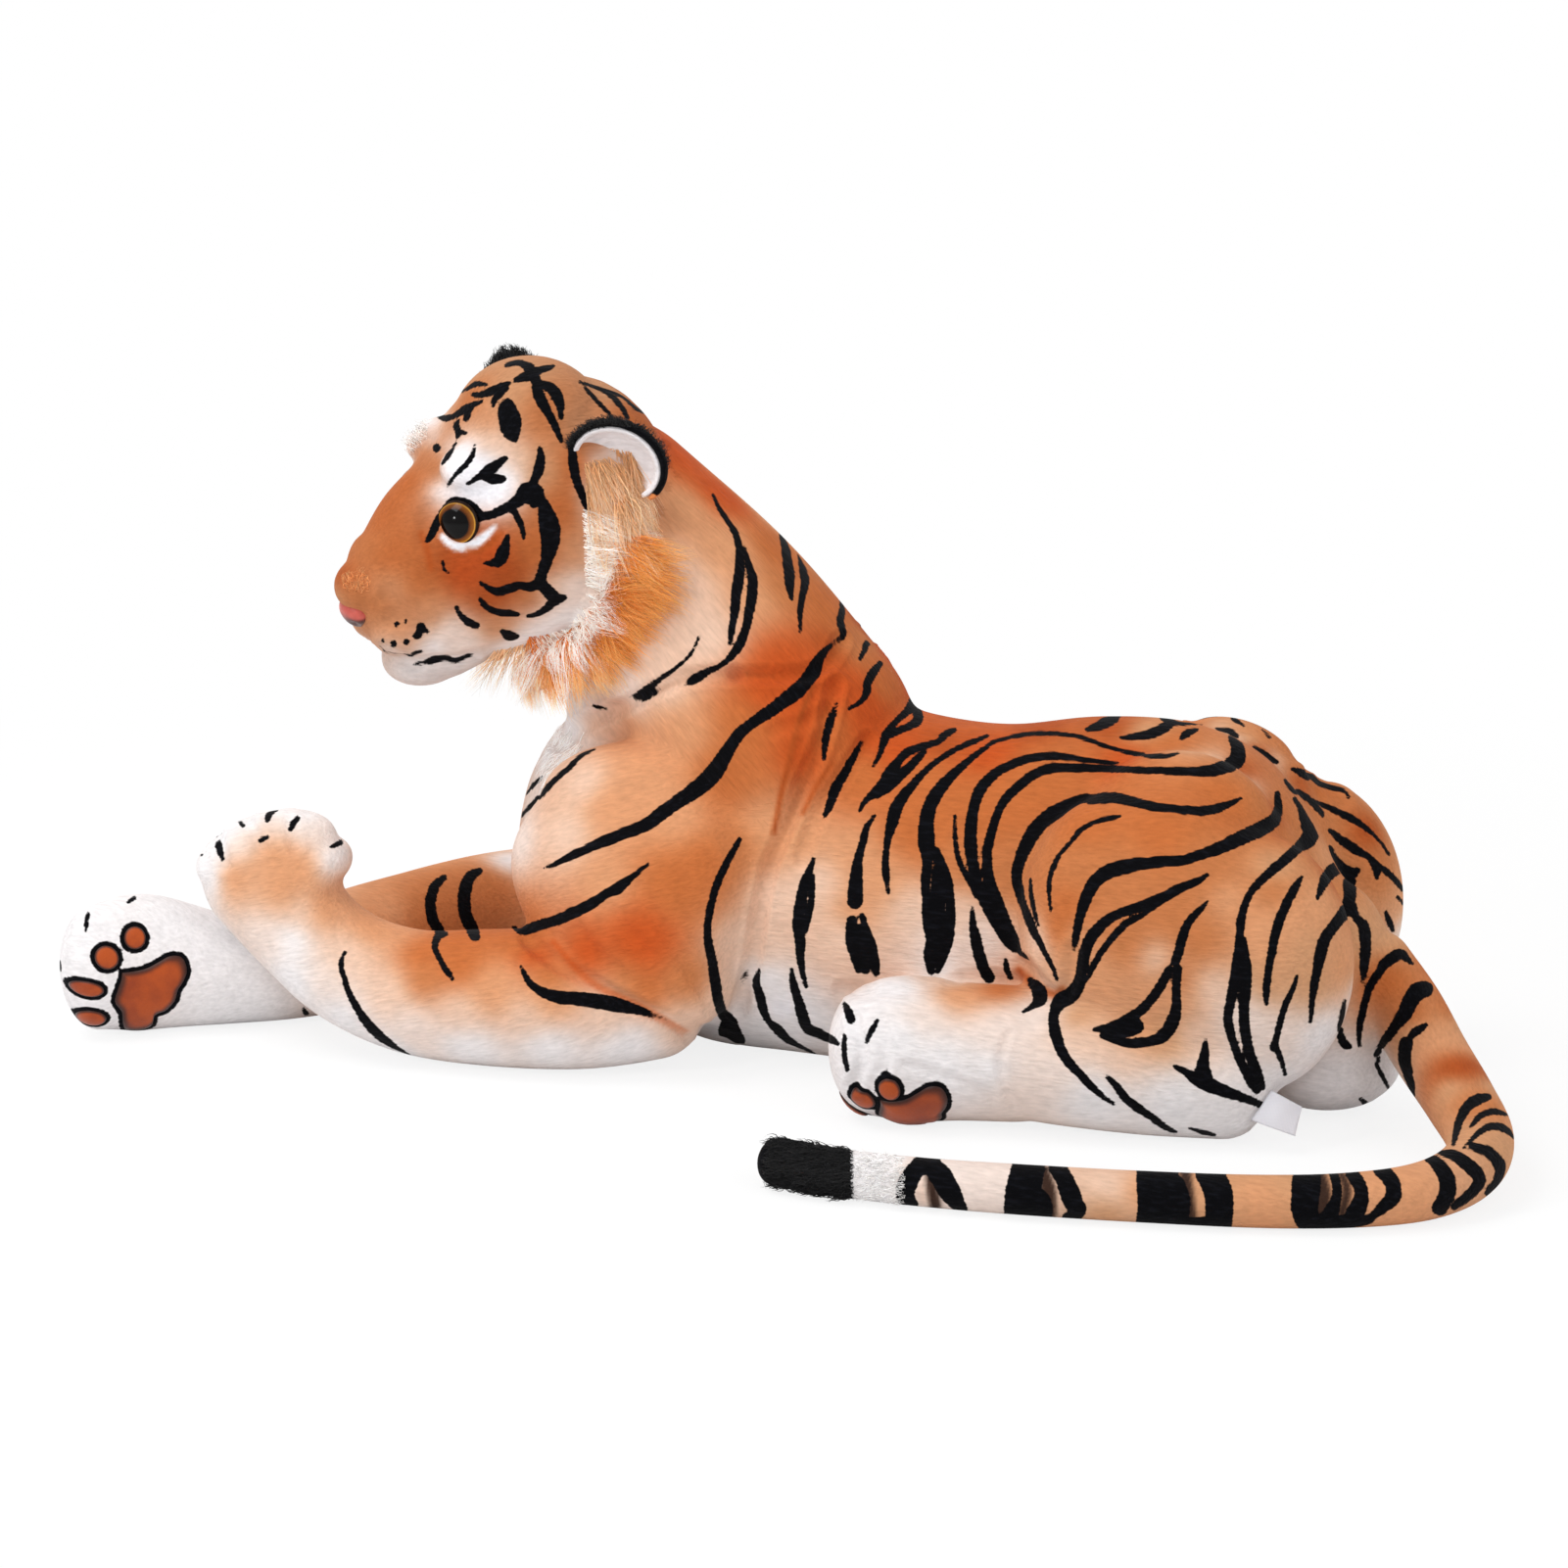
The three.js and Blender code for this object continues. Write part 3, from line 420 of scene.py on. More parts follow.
@dataclass(frozen=True)
class EyeFinish:
    """A moulded eye: black pupil, amber iris with a gold rim, painted from the radius attribute, with a
    painted shade over the iris's upper part from the drop attribute.
    """

    name: str = "amber_eye"

    def build(self) -> Material:
        """Makes the material.

        Returns:
            The material.
        """
        bench = Bench(self.name)
        place = bench.place()
        share = bench.number("radius")
        low = bench.number("drop")
        grain = bench.noise(place, 420.0, 4.0)
        iris = bench.add(
            "ShaderNodeValToRGB",
            {
                "stops": [
                    (0.0, srgb(6, 4, 4)),
                    (1.0, srgb(14, 8, 6)),
                    (0.665, srgb(4, 3, 3)),
                    (0.69, srgb(70, 34, 8)),
                    (0.76, srgb(116, 62, 16)),
                    (0.86, srgb(150, 88, 26)),
                    (0.90, srgb(222, 160, 60)),
                    (0.93, srgb(40, 20, 8)),
                ]
            },
            Fac=share + (grain - 0.5) * 0.02,
        ).outputs[0]
        # Painted shade: the iris is darkened over its upper part, as under a lid.
        painted_lid_shade = low.ramp(-0.2, 1.0) * share.ramp(0.62, 0.7)
        shaded = bench.mix(painted_lid_shade, iris, bench.mix(0.45, iris, srgb(34, 14, 4)))
        shader = bench.add(
            "ShaderNodeBsdfPrincipled",
            Base_Color=shaded,
            Roughness=0.14 + share.ramp(0.58, 0.68) * 0.1,
            Specular_IOR_Level=0.05,
            Coat_Weight=0.22,
            Coat_Roughness=0.03,
        )
        return bench.finish(shader.outputs[0])


@dataclass(frozen=True)
class FlockFinish:
    """Flocked or brushed cloth in one colour with soft wear."""

    name: str
    colour: tuple[float, float, float, float]
    worn: tuple[float, float, float, float]
    roughness: float = 0.6
    grain: float = 900.0
    depth: float = 0.0004

    def build(self) -> Material:
        """Makes the material.

        Returns:
            The material.
        """
        bench = Bench(self.name)
        place = bench.place()
        fine = bench.noise(place, self.grain, 3.0)
        cloud = bench.noise(place, 60.0, 3.0)
        rim = bench.number("rim")
        cloth = bench.mix(cloud.ramp(0.35, 0.7), self.colour, self.worn)
        # The rim attribute darkens the cloth towards black: the pads' dark outlines, and the nose's
        # downward-facing part.
        dark = bench.mix(rim.ramp(0.45, 0.7), cloth, srgb(10, 8, 8))
        bump = bench.bump(fine, 0.4, self.depth)
        shader = bench.add(
            "ShaderNodeBsdfPrincipled",
            Base_Color=bench.shaded(dark, 0.86 + fine * 0.28),
            Roughness=self.roughness + (fine - 0.5) * 0.15,
            Normal=bump,
            Specular_IOR_Level=0.3,
            Sheen_Weight=0.15,
        )
        return bench.finish(shader.outputs[0])


@dataclass(frozen=True)
class WasherFinish:
    """Moulded plastic with a faint grain."""

    name: str = "moulded_washer"

    def build(self) -> Material:
        """Makes the material.

        Returns:
            The material.
        """
        bench = Bench(self.name)
        place = bench.place()
        fine = bench.noise(place, 1400.0, 3.0)
        cloud = bench.noise(place, 80.0)
        bump = bench.bump(fine, 0.2, 0.0001)
        shader = bench.add(
            "ShaderNodeBsdfPrincipled",
            Base_Color=bench.mix(cloud, srgb(222, 219, 210), srgb(204, 200, 189)),
            Roughness=0.38 + (fine - 0.5) * 0.2,
            Normal=bump,
        )
        return bench.finish(shader.outputs[0])


@dataclass(frozen=True)
class RibbonFinish:
    """Blank woven satin ribbon."""

    name: str = "blank_ribbon"

    def build(self) -> Material:
        """Makes the material.

        Returns:
            The material.
        """
        bench = Bench(self.name)
        place = bench.place()
        threads = []
        for way in ("X", "Z"):
            settings = {"bands_direction": way}
            wave = bench.add("ShaderNodeTexWave", settings, Vector=place, Scale=420.0, Distortion=0.6)
            threads.append(bench.value(wave.outputs["Fac"]))
        weave = threads[0] * threads[1]
        cloud = bench.noise(place, 90.0)
        base = bench.mix(weave * 0.4 + cloud * 0.3, srgb(240, 240, 246), srgb(214, 214, 224))
        bump = bench.bump(weave, 0.25, 0.0002)
        shader = bench.add(
            "ShaderNodeBsdfPrincipled", Base_Color=base, Roughness=0.42, Normal=bump, Specular_IOR_Level=0.4
        )
        return bench.finish(shader.outputs[0])


@dataclass(frozen=True)
class FloorFinish:
    """A pale floor that the camera sees as white."""

    name: str = "pale_floor"

    def build(self) -> Material:
        """Makes the material.

        Returns:
            The material.
        """
        bench = Bench(self.name)
        path = bench.add("ShaderNodeLightPath")
        seen = bench.value(path.outputs["Is Camera Ray"])
        diffuse = bench.add("ShaderNodeBsdfDiffuse", Color=srgb(247, 247, 247), Roughness=1.0).outputs[0]
        white = bench.add("ShaderNodeEmission", Color=(1, 1, 1, 1), Strength=1.0).outputs[0]
        place = bench.place()
        length = bench.add("ShaderNodeVectorMath", {"operation": "LENGTH"}, i0=place)
        away = bench.value(length.outputs["Value"])
        share = seen * (away.ramp(0.45, 1.1) * 0.17 + 0.83)
        mixed = bench.add("ShaderNodeMixShader", i0=share, i1=diffuse, i2=white).outputs[0]
        return bench.finish(mixed)


# Form tools


@dataclass(frozen=True)
class Tube:
    """A stuffed tube; stations are x, y, z, half width and half height in mm."""

    stations: tuple[tuple[float, ...], ...]
    caps: tuple[float, float]
    hint: tuple[float, float, float] = (0.0, 0.0, 1.0)
    facing: tuple[float, float, float] | None = None
    around: int = 56
    steps: int = 8

    def rings(self, grow: float = 0.0) -> list[tuple[np.ndarray, np.ndarray, float, float]]:
        """Centre, direction, half width and half height of each ring, with rounded ends.

        Args:
            grow: how much fatter the tube is made, in mm.

        Returns:
            One entry for each ring, from end to end.
        """
        rows = np.array(self.stations, float)
        padded = np.vstack([2 * rows[0] - rows[1], rows, 2 * rows[-1] - rows[-2]])
        body = []
        for i in range(len(rows) - 1):
            a, b, c, d = padded[i : i + 4]
            last = i == len(rows) - 2
            for t in np.linspace(0, 1, self.steps + 1)[: self.steps + int(last)]:
                spot = between(a, b, c, d, t)
                bend, twist = 2 * a - 5 * b + 4 * c - d, 3 * b - a - 3 * c + d
                slope = 0.5 * ((c - a) + 2 * bend * t + 3 * twist * t**2)
                along = unit(np.array(self.facing) if self.facing else slope[:3])
                body.append((spot[:3], along, spot[3] + grow, spot[4] + grow))
        ends = []
        for ring, length, sign in ((body[0], self.caps[0], -1), (body[-1], self.caps[1], 1)):
            cap = []
            for k in range(1, self.steps + 1):
                turn = k / self.steps * math.pi / 2
                at = ring[0] + ring[1] * sign * (length + grow) * math.sin(turn)
                share = max(math.cos(turn), 0.002)
                cap.append((at, ring[1], ring[2] * share, ring[3] * share))
            ends.append(cap)
        return ends[0][::-1] + body + ends[1]

    def build(self, bm: BMesh, place: Matrix | None = None, grow: float = 0.0) -> None:
        """Adds the tube to a mesh.

        Args:
            bm: the mesh, in metres.
            place: where the tube's own frame lies, in mm.
            grow: how much fatter it is made, in mm.
        """
        rings = self.rings(grow)
        made = bmesh.ops.create_grid(bm, x_segments=self.around, y_segments=len(rings) - 1, size=1.0)
        hint = np.array(self.hint)
        for vertex in made["verts"]:
            turn = (vertex.co.x + 1) * math.pi
            at, along, wide, tall = rings[round((vertex.co.y + 1) / 2 * (len(rings) - 1))]
            side = unit(np.cross(along, hint))
            up = np.cross(side, along)
            spot = Vector(at + side * math.cos(turn) * wide + up * math.sin(turn) * tall)
            vertex.co = (place @ spot if place else spot) * MM
        bmesh.ops.remove_doubles(bm, verts=made["verts"], dist=WELD)


@dataclass(frozen=True)
class Lump:
    """A ball with three radii that fills out the skin, in mm."""

    centre: tuple[float, float, float]
    radii: tuple[float, float, float]

    def build(self, bm: BMesh, side: int = 1, place: Matrix | None = None) -> None:
        """Adds the ball to a mesh.

        Args:
            bm: the mesh, in metres.
            side: 1, or -1 for the ball's twin across the middle plane.
            place: where the ball's own frame lies, in mm.
        """
        x, y, z = self.centre
        matrix = Matrix.Translation((x, side * y, z)) @ Matrix.Diagonal((*self.radii, 1.0))
        whole = Matrix.Scale(MM, 4) @ (place @ matrix if place else matrix)
        bmesh.ops.create_uvsphere(bm, u_segments=40, v_segments=24, radius=1.0, matrix=whole)


def relax(bm: BMesh, verts: object, rounds: int) -> None:
    """Moves points towards their neighbours' middle, so many times.

    Args:
        bm: the mesh.
        verts: the points.
        rounds: how many times.
    """
    axes = {"use_axis_x": True, "use_axis_y": True, "use_axis_z": True}
    for _ in range(rounds):
        bmesh.ops.smooth_vert(bm, verts=verts, factor=0.5, **axes)


def mesh_of(bm: BMesh, name: str) -> Object:
    """An object made from a finished bmesh, with outward normals kept as they are.

    Args:
        bm: the bmesh, which is freed.
        name: the object's name.

    Returns:
        The object.
    """
    mesh = bpy.data.meshes.new(name)
    bm.to_mesh(mesh)
    bm.free()
    return linked(name, mesh)


def linked(name: str, mesh: Mesh) -> Object:
    """A mesh as an object in the scene, at the origin.

    Args:
        name: the object's name.
        mesh: the mesh.

    Returns:
        The object.
    """
    thing = bpy.data.objects.new(name, mesh)
    bpy.context.scene.collection.objects.link(thing)
    return thing


def applied(thing: Object) -> Object:
    """The object with its modifiers made part of its mesh.

    Args:
        thing: the object.

    Returns:
        The same object.
    """
    graph = bpy.context.evaluated_depsgraph_get()
    mesh = bpy.data.meshes.new_from_object(thing.evaluated_get(graph))
    thing.modifiers.clear()
    thing.data = mesh
    return thing


def dress(thing: Object, material: Material) -> None:
    """Gives a piece its finish.

    Args:
        thing: the piece.
        material: its finish.
    """
    thing.data.materials.clear()
    thing.data.materials.append(material)
    thing.data.shade_smooth()


def places(mesh: Mesh) -> np.ndarray:
    """A mesh's vertices as rows, in mm.

    Args:
        mesh: the mesh.

    Returns:
        X, y and z of each vertex.
    """
    flat = np.empty(len(mesh.vertices) * 3)
    mesh.vertices.foreach_get("co", flat)
    return flat.reshape(-1, 3) / MM


def put_places(mesh: Mesh, rows: np.ndarray) -> None:
    """Moves a mesh's vertices to rows given in mm."""
    mesh.vertices.foreach_set("co", (rows * MM).ravel())
    mesh.update()


def normals(mesh: Mesh) -> np.ndarray:
    """A mesh's vertex normals as rows.

    Args:
        mesh: the mesh.

    Returns:
        A direction for each vertex.
    """
    flat = np.empty(len(mesh.vertices) * 3)
    mesh.vertices.foreach_get("normal", flat)
    return flat.reshape(-1, 3)


def number_attribute(mesh: Mesh, name: str, values: np.ndarray) -> None:
    """Stores one number per vertex."""
    layer = mesh.attributes.get(name) or mesh.attributes.new(name, "FLOAT", "POINT")
    layer.data.foreach_set("value", np.asarray(values, np.float32))


def colour_attribute(mesh: Mesh, name: str, values: np.ndarray) -> None:
    """Stores one colour per vertex.

    Args:
        mesh: the mesh.
        name: the attribute's name.
        values: red, green and blue of each vertex.
    """
    layer = mesh.attributes.get(name) or mesh.attributes.new(name, "FLOAT_COLOR", "POINT")
    rgba = np.ones((len(values), 4), np.float32)
    rgba[:, :3] = values[:, :3]
    layer.data.foreach_set("color", rgba.ravel())


def between(a: np.ndarray, b: np.ndarray, c: np.ndarray, d: np.ndarray, t: np.ndarray | float) -> np.ndarray:
    """The smooth curve from b, at t of 0, to c, at t of 1, with a and d as its neighbours."""
    return 0.5 * (2 * b + (c - a) * t + (2 * a - 5 * b + 4 * c - d) * t**2 + (3 * b - a - 3 * c + d) * t**3)


def plain_cloth(piece: Object, red: int, green: int, blue: int) -> None:
    """Marks a piece as cloth of one colour with no stripe near.

    Args:
        piece: the piece.
        red: its red, 0 to 255.
        green: its green.
        blue: its blue.
    """
    count = len(piece.data.vertices)
    number_attribute(piece.data, "stripe", np.full(count, NO_STRIPE))
    colour_attribute(piece.data, "tint", np.tile(srgb(red, green, blue), (count, 1)))


def spline(points: np.ndarray, spacing: float) -> np.ndarray:
    """A smooth line through rows of points, with a point about every spacing.

    Args:
        points: the rows; their first two numbers are measured.
        spacing: the spacing.

    Returns:
        The finer rows.
    """
    if len(points) < 3:
        count = max(2, int(np.linalg.norm(points[-1, :2] - points[0, :2]) / spacing) + 1)
        t = np.linspace(0, 1, count)[:, None]
        return points[0] * (1 - t) + points[-1] * t
    padded = np.vstack([2 * points[0] - points[1], points, 2 * points[-1] - points[-2]])
    out = []
    for i in range(len(points) - 1):
        a, b, c, d = padded[i : i + 4]
        count = max(2, int(np.linalg.norm((c - b)[:2]) / spacing) + 1)
        t = np.linspace(0, 1, count, endpoint=False)[:, None]
        out.append(between(a, b, c, d, t))
    out.append(points[-1:])
    return np.vstack(out)


def read_line(text: str) -> np.ndarray:
    """A drawn line: x, y and a third number for each point, written x,y,n and parted by blanks."""
    return np.array([[float(n) for n in word.split(",")] for word in text.split()])


# The tiger's forms

HEAD_CENTRE = Vector((-195.5, -28.6, 329.9))
HEAD_TURN = Matrix(((-0.6720, 0.7396, 0.0359), (-0.7364, -0.6624, -0.1377), (-0.0781, -0.1190, 0.9898)))
HEAD_PLACE = Matrix.Translation(HEAD_CENTRE) @ HEAD_TURN.to_4x4()
COLLAR_SEAM = np.array([-0.449, 0.0, 0.893])
HEAD_SEAM = np.array([-0.77, 0.0, 0.63])


def across_head(rows: np.ndarray) -> np.ndarray:
    """Points in mm, mirrored across the head's own middle plane.

    Args:
        rows: the points.

    Returns:
        Their twins.
    """
    turn, centre = np.array(HEAD_TURN), np.array(HEAD_CENTRE)
    return ((rows - centre) @ turn * np.array([1, -1, 1])) @ turn.T + centre


ANKLE = 123.3  # x of the hind feet's joints
TAIL_BEND = -99.8  # y of the tail's second joint
TAIL_END = 163.4  # x of the tail's third joint

TORSO = Tube(
    (
        (-160, 0, 115, 72, 96.6),
        (-99.8, 0, 116.6, 82, 115.7),
        (-40.2, 0, 116.2, 84, 117.3),
        (20, 0, 108.1, 84, 109.5),
        (80.1, 0, 105.3, 80, 108.1),
        (139.8, 0, 111.1, 72, 112.7),
        (199.9, 0, 111.6, 63, 112.7),
        (249.3, 0, 101.2, 48.6, 100),
        (288.3, 0, 69, 45, 69),
    ),
    (65, 34),
    facing=(1, 0, 0),
)
NECK = Tube(
    ((-53.3, 0, 191.3, 79, 81), (-107.6, 0, 259.6, 71.5, 79), (-170, 0, 320.4, 64, 66)), (79, 64), (0, 1, 0)
)
HEAD = Tube(
    (
        (-18, 0, 2, 74, 78),
        (19.6, 0, 3, 67, 83),
        (49.8, 0, -3.9, 55, 80),
        (75.5, 0, -22, 43, 70),
        (99.7, 0, -27, 35, 55),
        (116.3, 0, -27, 26, 33),
    ),
    (58, 14),
    facing=(1, 0, 0),
)


@dataclass(frozen=True)
class Limb:
    """A limb's tables over its own sizes, as in the solids."""

    root: tuple[float, float]
    side: int
    sizes: tuple[float, float, float]
    rows: tuple[tuple[float, ...], ...]
    caps: tuple[float, float]
    hint: tuple[float, float, float]

    def tube(self) -> Tube:
        """The limb's tube: rows are forward, out, up, wide and tall shares of reach and girth.

        Returns:
            The tube, in mm.
        """
        reach, girth, tall = self.sizes
        x, y = self.root
        stations = tuple(
            (x - f * reach, y + self.side * o * girth, u * tall, w * girth, t * girth)
            for f, o, u, w, t in self.rows
        )
        return Tube(stations, self.caps, self.hint)


def shoulder(side: int) -> Tube:
    """The flat upper arm on one side.

    Args:
        side: -1 for left, 1 for right.

    Returns:
        The tube, in mm.
    """
    rows = (
        (-0.08, 0.1, 0.92, 0.72, 0.72),
        (-0.06, 0.28, 0.72, 1, 1),
        (-0.02, 0.42, 0.48, 0.86, 1.06),
        (0.03, 0.44, 0.3, 0.58, 1.04),
    )
    return Tube(
        tuple((-110.1 + a * 250, side * (61.9 + o * 37), u * 186, w * 80, t * 37) for a, o, u, w, t in rows),
        (30, 32),
        (0, 1, 0),
    )


def thigh(side: int) -> Tube:
    """The haunch on one side.

    Args:
        side: -1 for left, 1 for right.

    Returns:
        The tube, in mm.
    """
    rows = ((-0.21, 0.5, 0.94, 0.96), (0, 0.5, 1.02, 1.02), (0.2, 0.455, 0.88, 0.92))
    return Tube(
        tuple((215.1 + a * 204, side * 67.0, u * 230, w * 47, t * 87) for a, u, t, w in rows),
        (57, 57),
        facing=(1, 0, 0),
    )


def shin(side: int) -> Tube:
    """The lower hind leg on one side.

    Args:
        side: -1 for left, 1 for right.

    Returns:
        The tube, in mm.
    """
    first = {
        -1: ((0.13, 1.9, 0.98, 0.96), (-0.08, 2.15, 1.04, 1), (-0.28, 2.4, 1.1, 0.98)),
        1: ((0.26, 1.1, 0.96, 0.92), (0.06, 1.7, 1.04, 1), (-0.22, 2.4, 1.1, 0.98)),
    }[side]
    rows = (*first, (-0.45, 2.42, 1.12, 0.96))
    return Tube(
        tuple((215.1 + a * 204, side * o * 39, u * 39, t * 39, t * 39) for a, o, u, t in rows), (30, 39)
    )


def foot(side: int) -> Tube:
    """The hind foot on one side.

    Args:
        side: -1 for left, 1 for right.

    Returns:
        The tube, in mm.
    """
    rows = (
        (0, 0, 1.12, 1.02, 1.02),
        (0.34, 0.12, 1.1, 1.04, 1.04),
        (0.68, 0.26, 1.08, 1.06, 1.1),
        (0.86, 0.34, 1.04, 0.94, 1),
    )
    return Tube(
        tuple((ANKLE - f * 98, side * (94.4 + o * 39), u * 39, w * 39, t * 39) for f, o, u, w, t in rows),
        (38, 26),
    )


FOREARM_LEFT = Limb(
    (-110.1, -61.9),
    -1,
    (250, 44, 44),
    (
        (0.0, 0.22, 1.1, 0.92, 0.94),
        (0.18, 0.58, 1.02, 0.98, 0.98),
        (0.41, 0.84, 0.96, 0.94, 0.93),
        (0.6, 0.95, 0.97, 0.86, 0.86),
        (0.76, 1.06, 1.28, 0.8, 0.78),
        (0.875, 1.14, 1.84, 0.82, 0.66),
        (0.93, 1.14, 2.36, 1.08, 0.62),
        (0.96, 1.1, 2.8, 1.1, 0.55),
    ),
    (30, 24),
    (0, 1, 0),
)
FOREARM_RIGHT = Limb(
    (-110.1, 61.9),
    1,
    (250, 44, 44),
    (
        (-0.04, 0.66, 1.1, 0.98, 1.04),
        (0.3, 0.76, 1.04, 0.96, 1),
        (0.63, 0, 0.98, 0.9, 0.95),
        (0.83, -1.5, 0.92, 0.86, 0.9),
        (1, -2.66, 0.83, 0.82, 0.81),
        (1.15, -3.3, 0.82, 0.72, 0.8),
        (1.31, -3.95, 1.0, 0.62, 0.99),
        (1.4, -4.4, 1.0, 0.56, 0.9),
    ),
    (30, 22),
    (0, 0, 1),
)
TAIL_ROWS = (
    (308.9, 0, 87.4, 24.6),
    (331, -7.9, 66.4, 23),
    (352, -27.8, 47, 21.6),
    (375.5, -61, 33.6, 20.4),
    (394.5, -98.8, 25.4, 19),
    (395.5, -136, 21, 17.8),
    (379, -169, 18.1, 16.3),
    (345.9, -191, 16.2, 15.2),
    (297, -209, 15.3, 14.6),
    (230.9, -224, 15, 14.2),
    (TAIL_END, -235.7, 14.8, 14),
    (110.9, -241.5, 14.4, 13.6),
    (62.9, -242.6, 14.3, 13.5),
    (25.4, -238, 14.4, 13.5),
)
TAIL = Tube(tuple((x, y, z, r, r) for x, y, z, r in TAIL_ROWS), (20, 9), around=40)


class Region(Enum):
    """The sewn lengths that the skin is parted into."""

    TORSO = "torso_skin"
    NECK = "neck_skin"
    COLLAR = "collar_skin"
    HEAD = "head_skin"
    ARM_LEFT = "foreleg_left_skin"
    ARM_RIGHT = "foreleg_right_skin"
    FOOT_LEFT = "hind_left_foot_skin"
    FOOT_RIGHT = "hind_right_foot_skin"
    TAIL_ROOT = "tail_root_skin"
    TAIL_MIDDLE = "tail_middle_skin"
    TAIL_TIP = "tail_tip_skin"


@dataclass
class Skin:
    """The sewn body: raised as one surface, painted, then parted into lengths that move."""

    voxel: float = 1.9
    rounds: int = 5
    trunk_rounds: int = 45
    lining: float = -9.0
    trunk_from: float = -190.0
    trunk_above: float = 8.0
    collar_cut: float = 293.4
    muzzle: Lump = Lump((100, 15, -52), (25, 19, 17))
    brow: Lump = Lump((55, 25, 46), (25, 18, 15))
    bridge: Lump = Lump((118, 0, -25), (22, 19, 18))
    chin: Lump = Lump((86, 0, -77), (26, 22, 17))
    crown: Lump = Lump((11, 0, 56), (46, 46, 41))
    haunch_top: Lump = Lump((204, 43, 169), (58, 34, 51))
    haunch_rear: Lump = Lump((221, 33, 129), (60, 32, 69))
    seat: Lump = Lump((283, 8, 24), (44, 52, 24))
    throat: Lump = Lump((-152, 0, 206), (42, 48, 38))
    toes: tuple[Lump, ...] = tuple(
        Lump((x, -109, z), (14.5, 21, 14.5))
        for x, z in ((-382, 112), (-361, 128), (-343, 133), (-325, 131), (-311, 122))
    )
    mesh: Mesh | None = None
    tree: BVHTree | None = None
    labels: np.ndarray = field(default_factory=lambda: np.zeros(0, int))
    order: tuple[Region, ...] = tuple(Region)

    def forms(self) -> dict[Region, list[tuple[Tube, Matrix | None]]]:
        """The tubes of each region.

        Returns:
            Each region's tubes, with the frame that each lies in.
        """
        hind = [(make(side), None) for side in (-1, 1) for make in (thigh, shin)]
        return {
            Region.TORSO: [(TORSO, None), *hind],
            Region.NECK: [(NECK, None)],
            Region.HEAD: [(HEAD, HEAD_PLACE)],
            Region.ARM_LEFT: [(shoulder(-1), None), (FOREARM_LEFT.tube(), None)],
            Region.ARM_RIGHT: [(shoulder(1), None), (FOREARM_RIGHT.tube(), None)],
            Region.FOOT_LEFT: [(foot(-1), None)],
            Region.FOOT_RIGHT: [(foot(1), None)],
            Region.TAIL_ROOT: [(TAIL, None)],
        }

    def add_face(self, bm: BMesh) -> None:
        """Adds the muzzle's cushions, the brows, the bridge, the chin and the crown to the head.

        Args:
            bm: the head's mesh.
        """
        for side in (-1, 1):
            self.muzzle.build(bm, side, HEAD_PLACE)
            self.brow.build(bm, side, HEAD_PLACE)
        for lump in (self.bridge, self.chin, self.crown):
            lump.build(bm, 1, HEAD_PLACE)

    def raise_surface(self) -> None:
        """Builds every form, joins them as one skin and labels its points."""
        whole = bmesh.new()
        seeds, names = [], []
        for region, tubes in self.forms().items():
            part = bmesh.new()
            for tube, place in tubes:
                tube.build(part, place)
            if region is Region.HEAD:
                self.add_face(part)
            if region is Region.TORSO:
                for side in (-1, 1):
                    self.haunch_top.build(part, side)
                    self.haunch_rear.build(part, side)
                self.seat.build(part)
            if region is Region.NECK:
                self.throat.build(part)
            if region is Region.ARM_LEFT:
                for toe in self.toes:
                    toe.build(part)
            mesh = bpy.data.meshes.new("part")
            part.to_mesh(mesh)
            part.free()
            whole.from_mesh(mesh)
            seeds.append(places(mesh))
            names += [self.order.index(region)] * len(mesh.vertices)
            bpy.data.meshes.remove(mesh)
        body = mesh_of(whole, "skin")
        remesh = body.modifiers.new("remesh", "REMESH")
        remesh.mode = "VOXEL"
        remesh.voxel_size = self.voxel * MM
        applied(body)
        self.mesh = body.data
        bpy.data.objects.remove(body)
        self.soften(self.rounds)
        tree = KDTree(len(names))
        for i, spot in enumerate(np.vstack(seeds)):
            tree.insert(spot, i)
        tree.balance()
        self.labels = np.array([names[tree.find(spot)[1]] for spot in places(self.mesh)])
        trunk = [self.order.index(r) for r in (Region.TORSO, Region.NECK, Region.ARM_LEFT, Region.ARM_RIGHT)]
        rows = places(self.mesh)
        inner = (rows[:, 0] > self.trunk_from) & (rows[:, 2] > self.trunk_above)
        self.soften(self.trunk_rounds, np.isin(self.labels, trunk) & inner)

    def soften(self, rounds: int, chosen: np.ndarray | None = None) -> None:
        """Relaxes the surface, or the chosen points of it, and keeps it on the floor.

        Args:
            rounds: how many times.
            chosen: whether each point takes part.
        """
        bm = bmesh.new()
        bm.from_mesh(self.mesh)
        bm.verts.ensure_lookup_table()
        verts = bm.verts[:] if chosen is None else [bm.verts[i] for i in np.flatnonzero(chosen)]
        relax(bm, verts, rounds)
        bm.to_mesh(self.mesh)
        bm.free()
        rows = places(self.mesh)
        rows[:, 2] = np.maximum(rows[:, 2], FLOOR)
        put_places(self.mesh, rows)

    def look(self) -> None:
        """Readies the surface for rays."""
        bm = bmesh.new()
        bm.from_mesh(self.mesh)
        self.tree = BVHTree.FromBMesh(bm)
        bm.free()

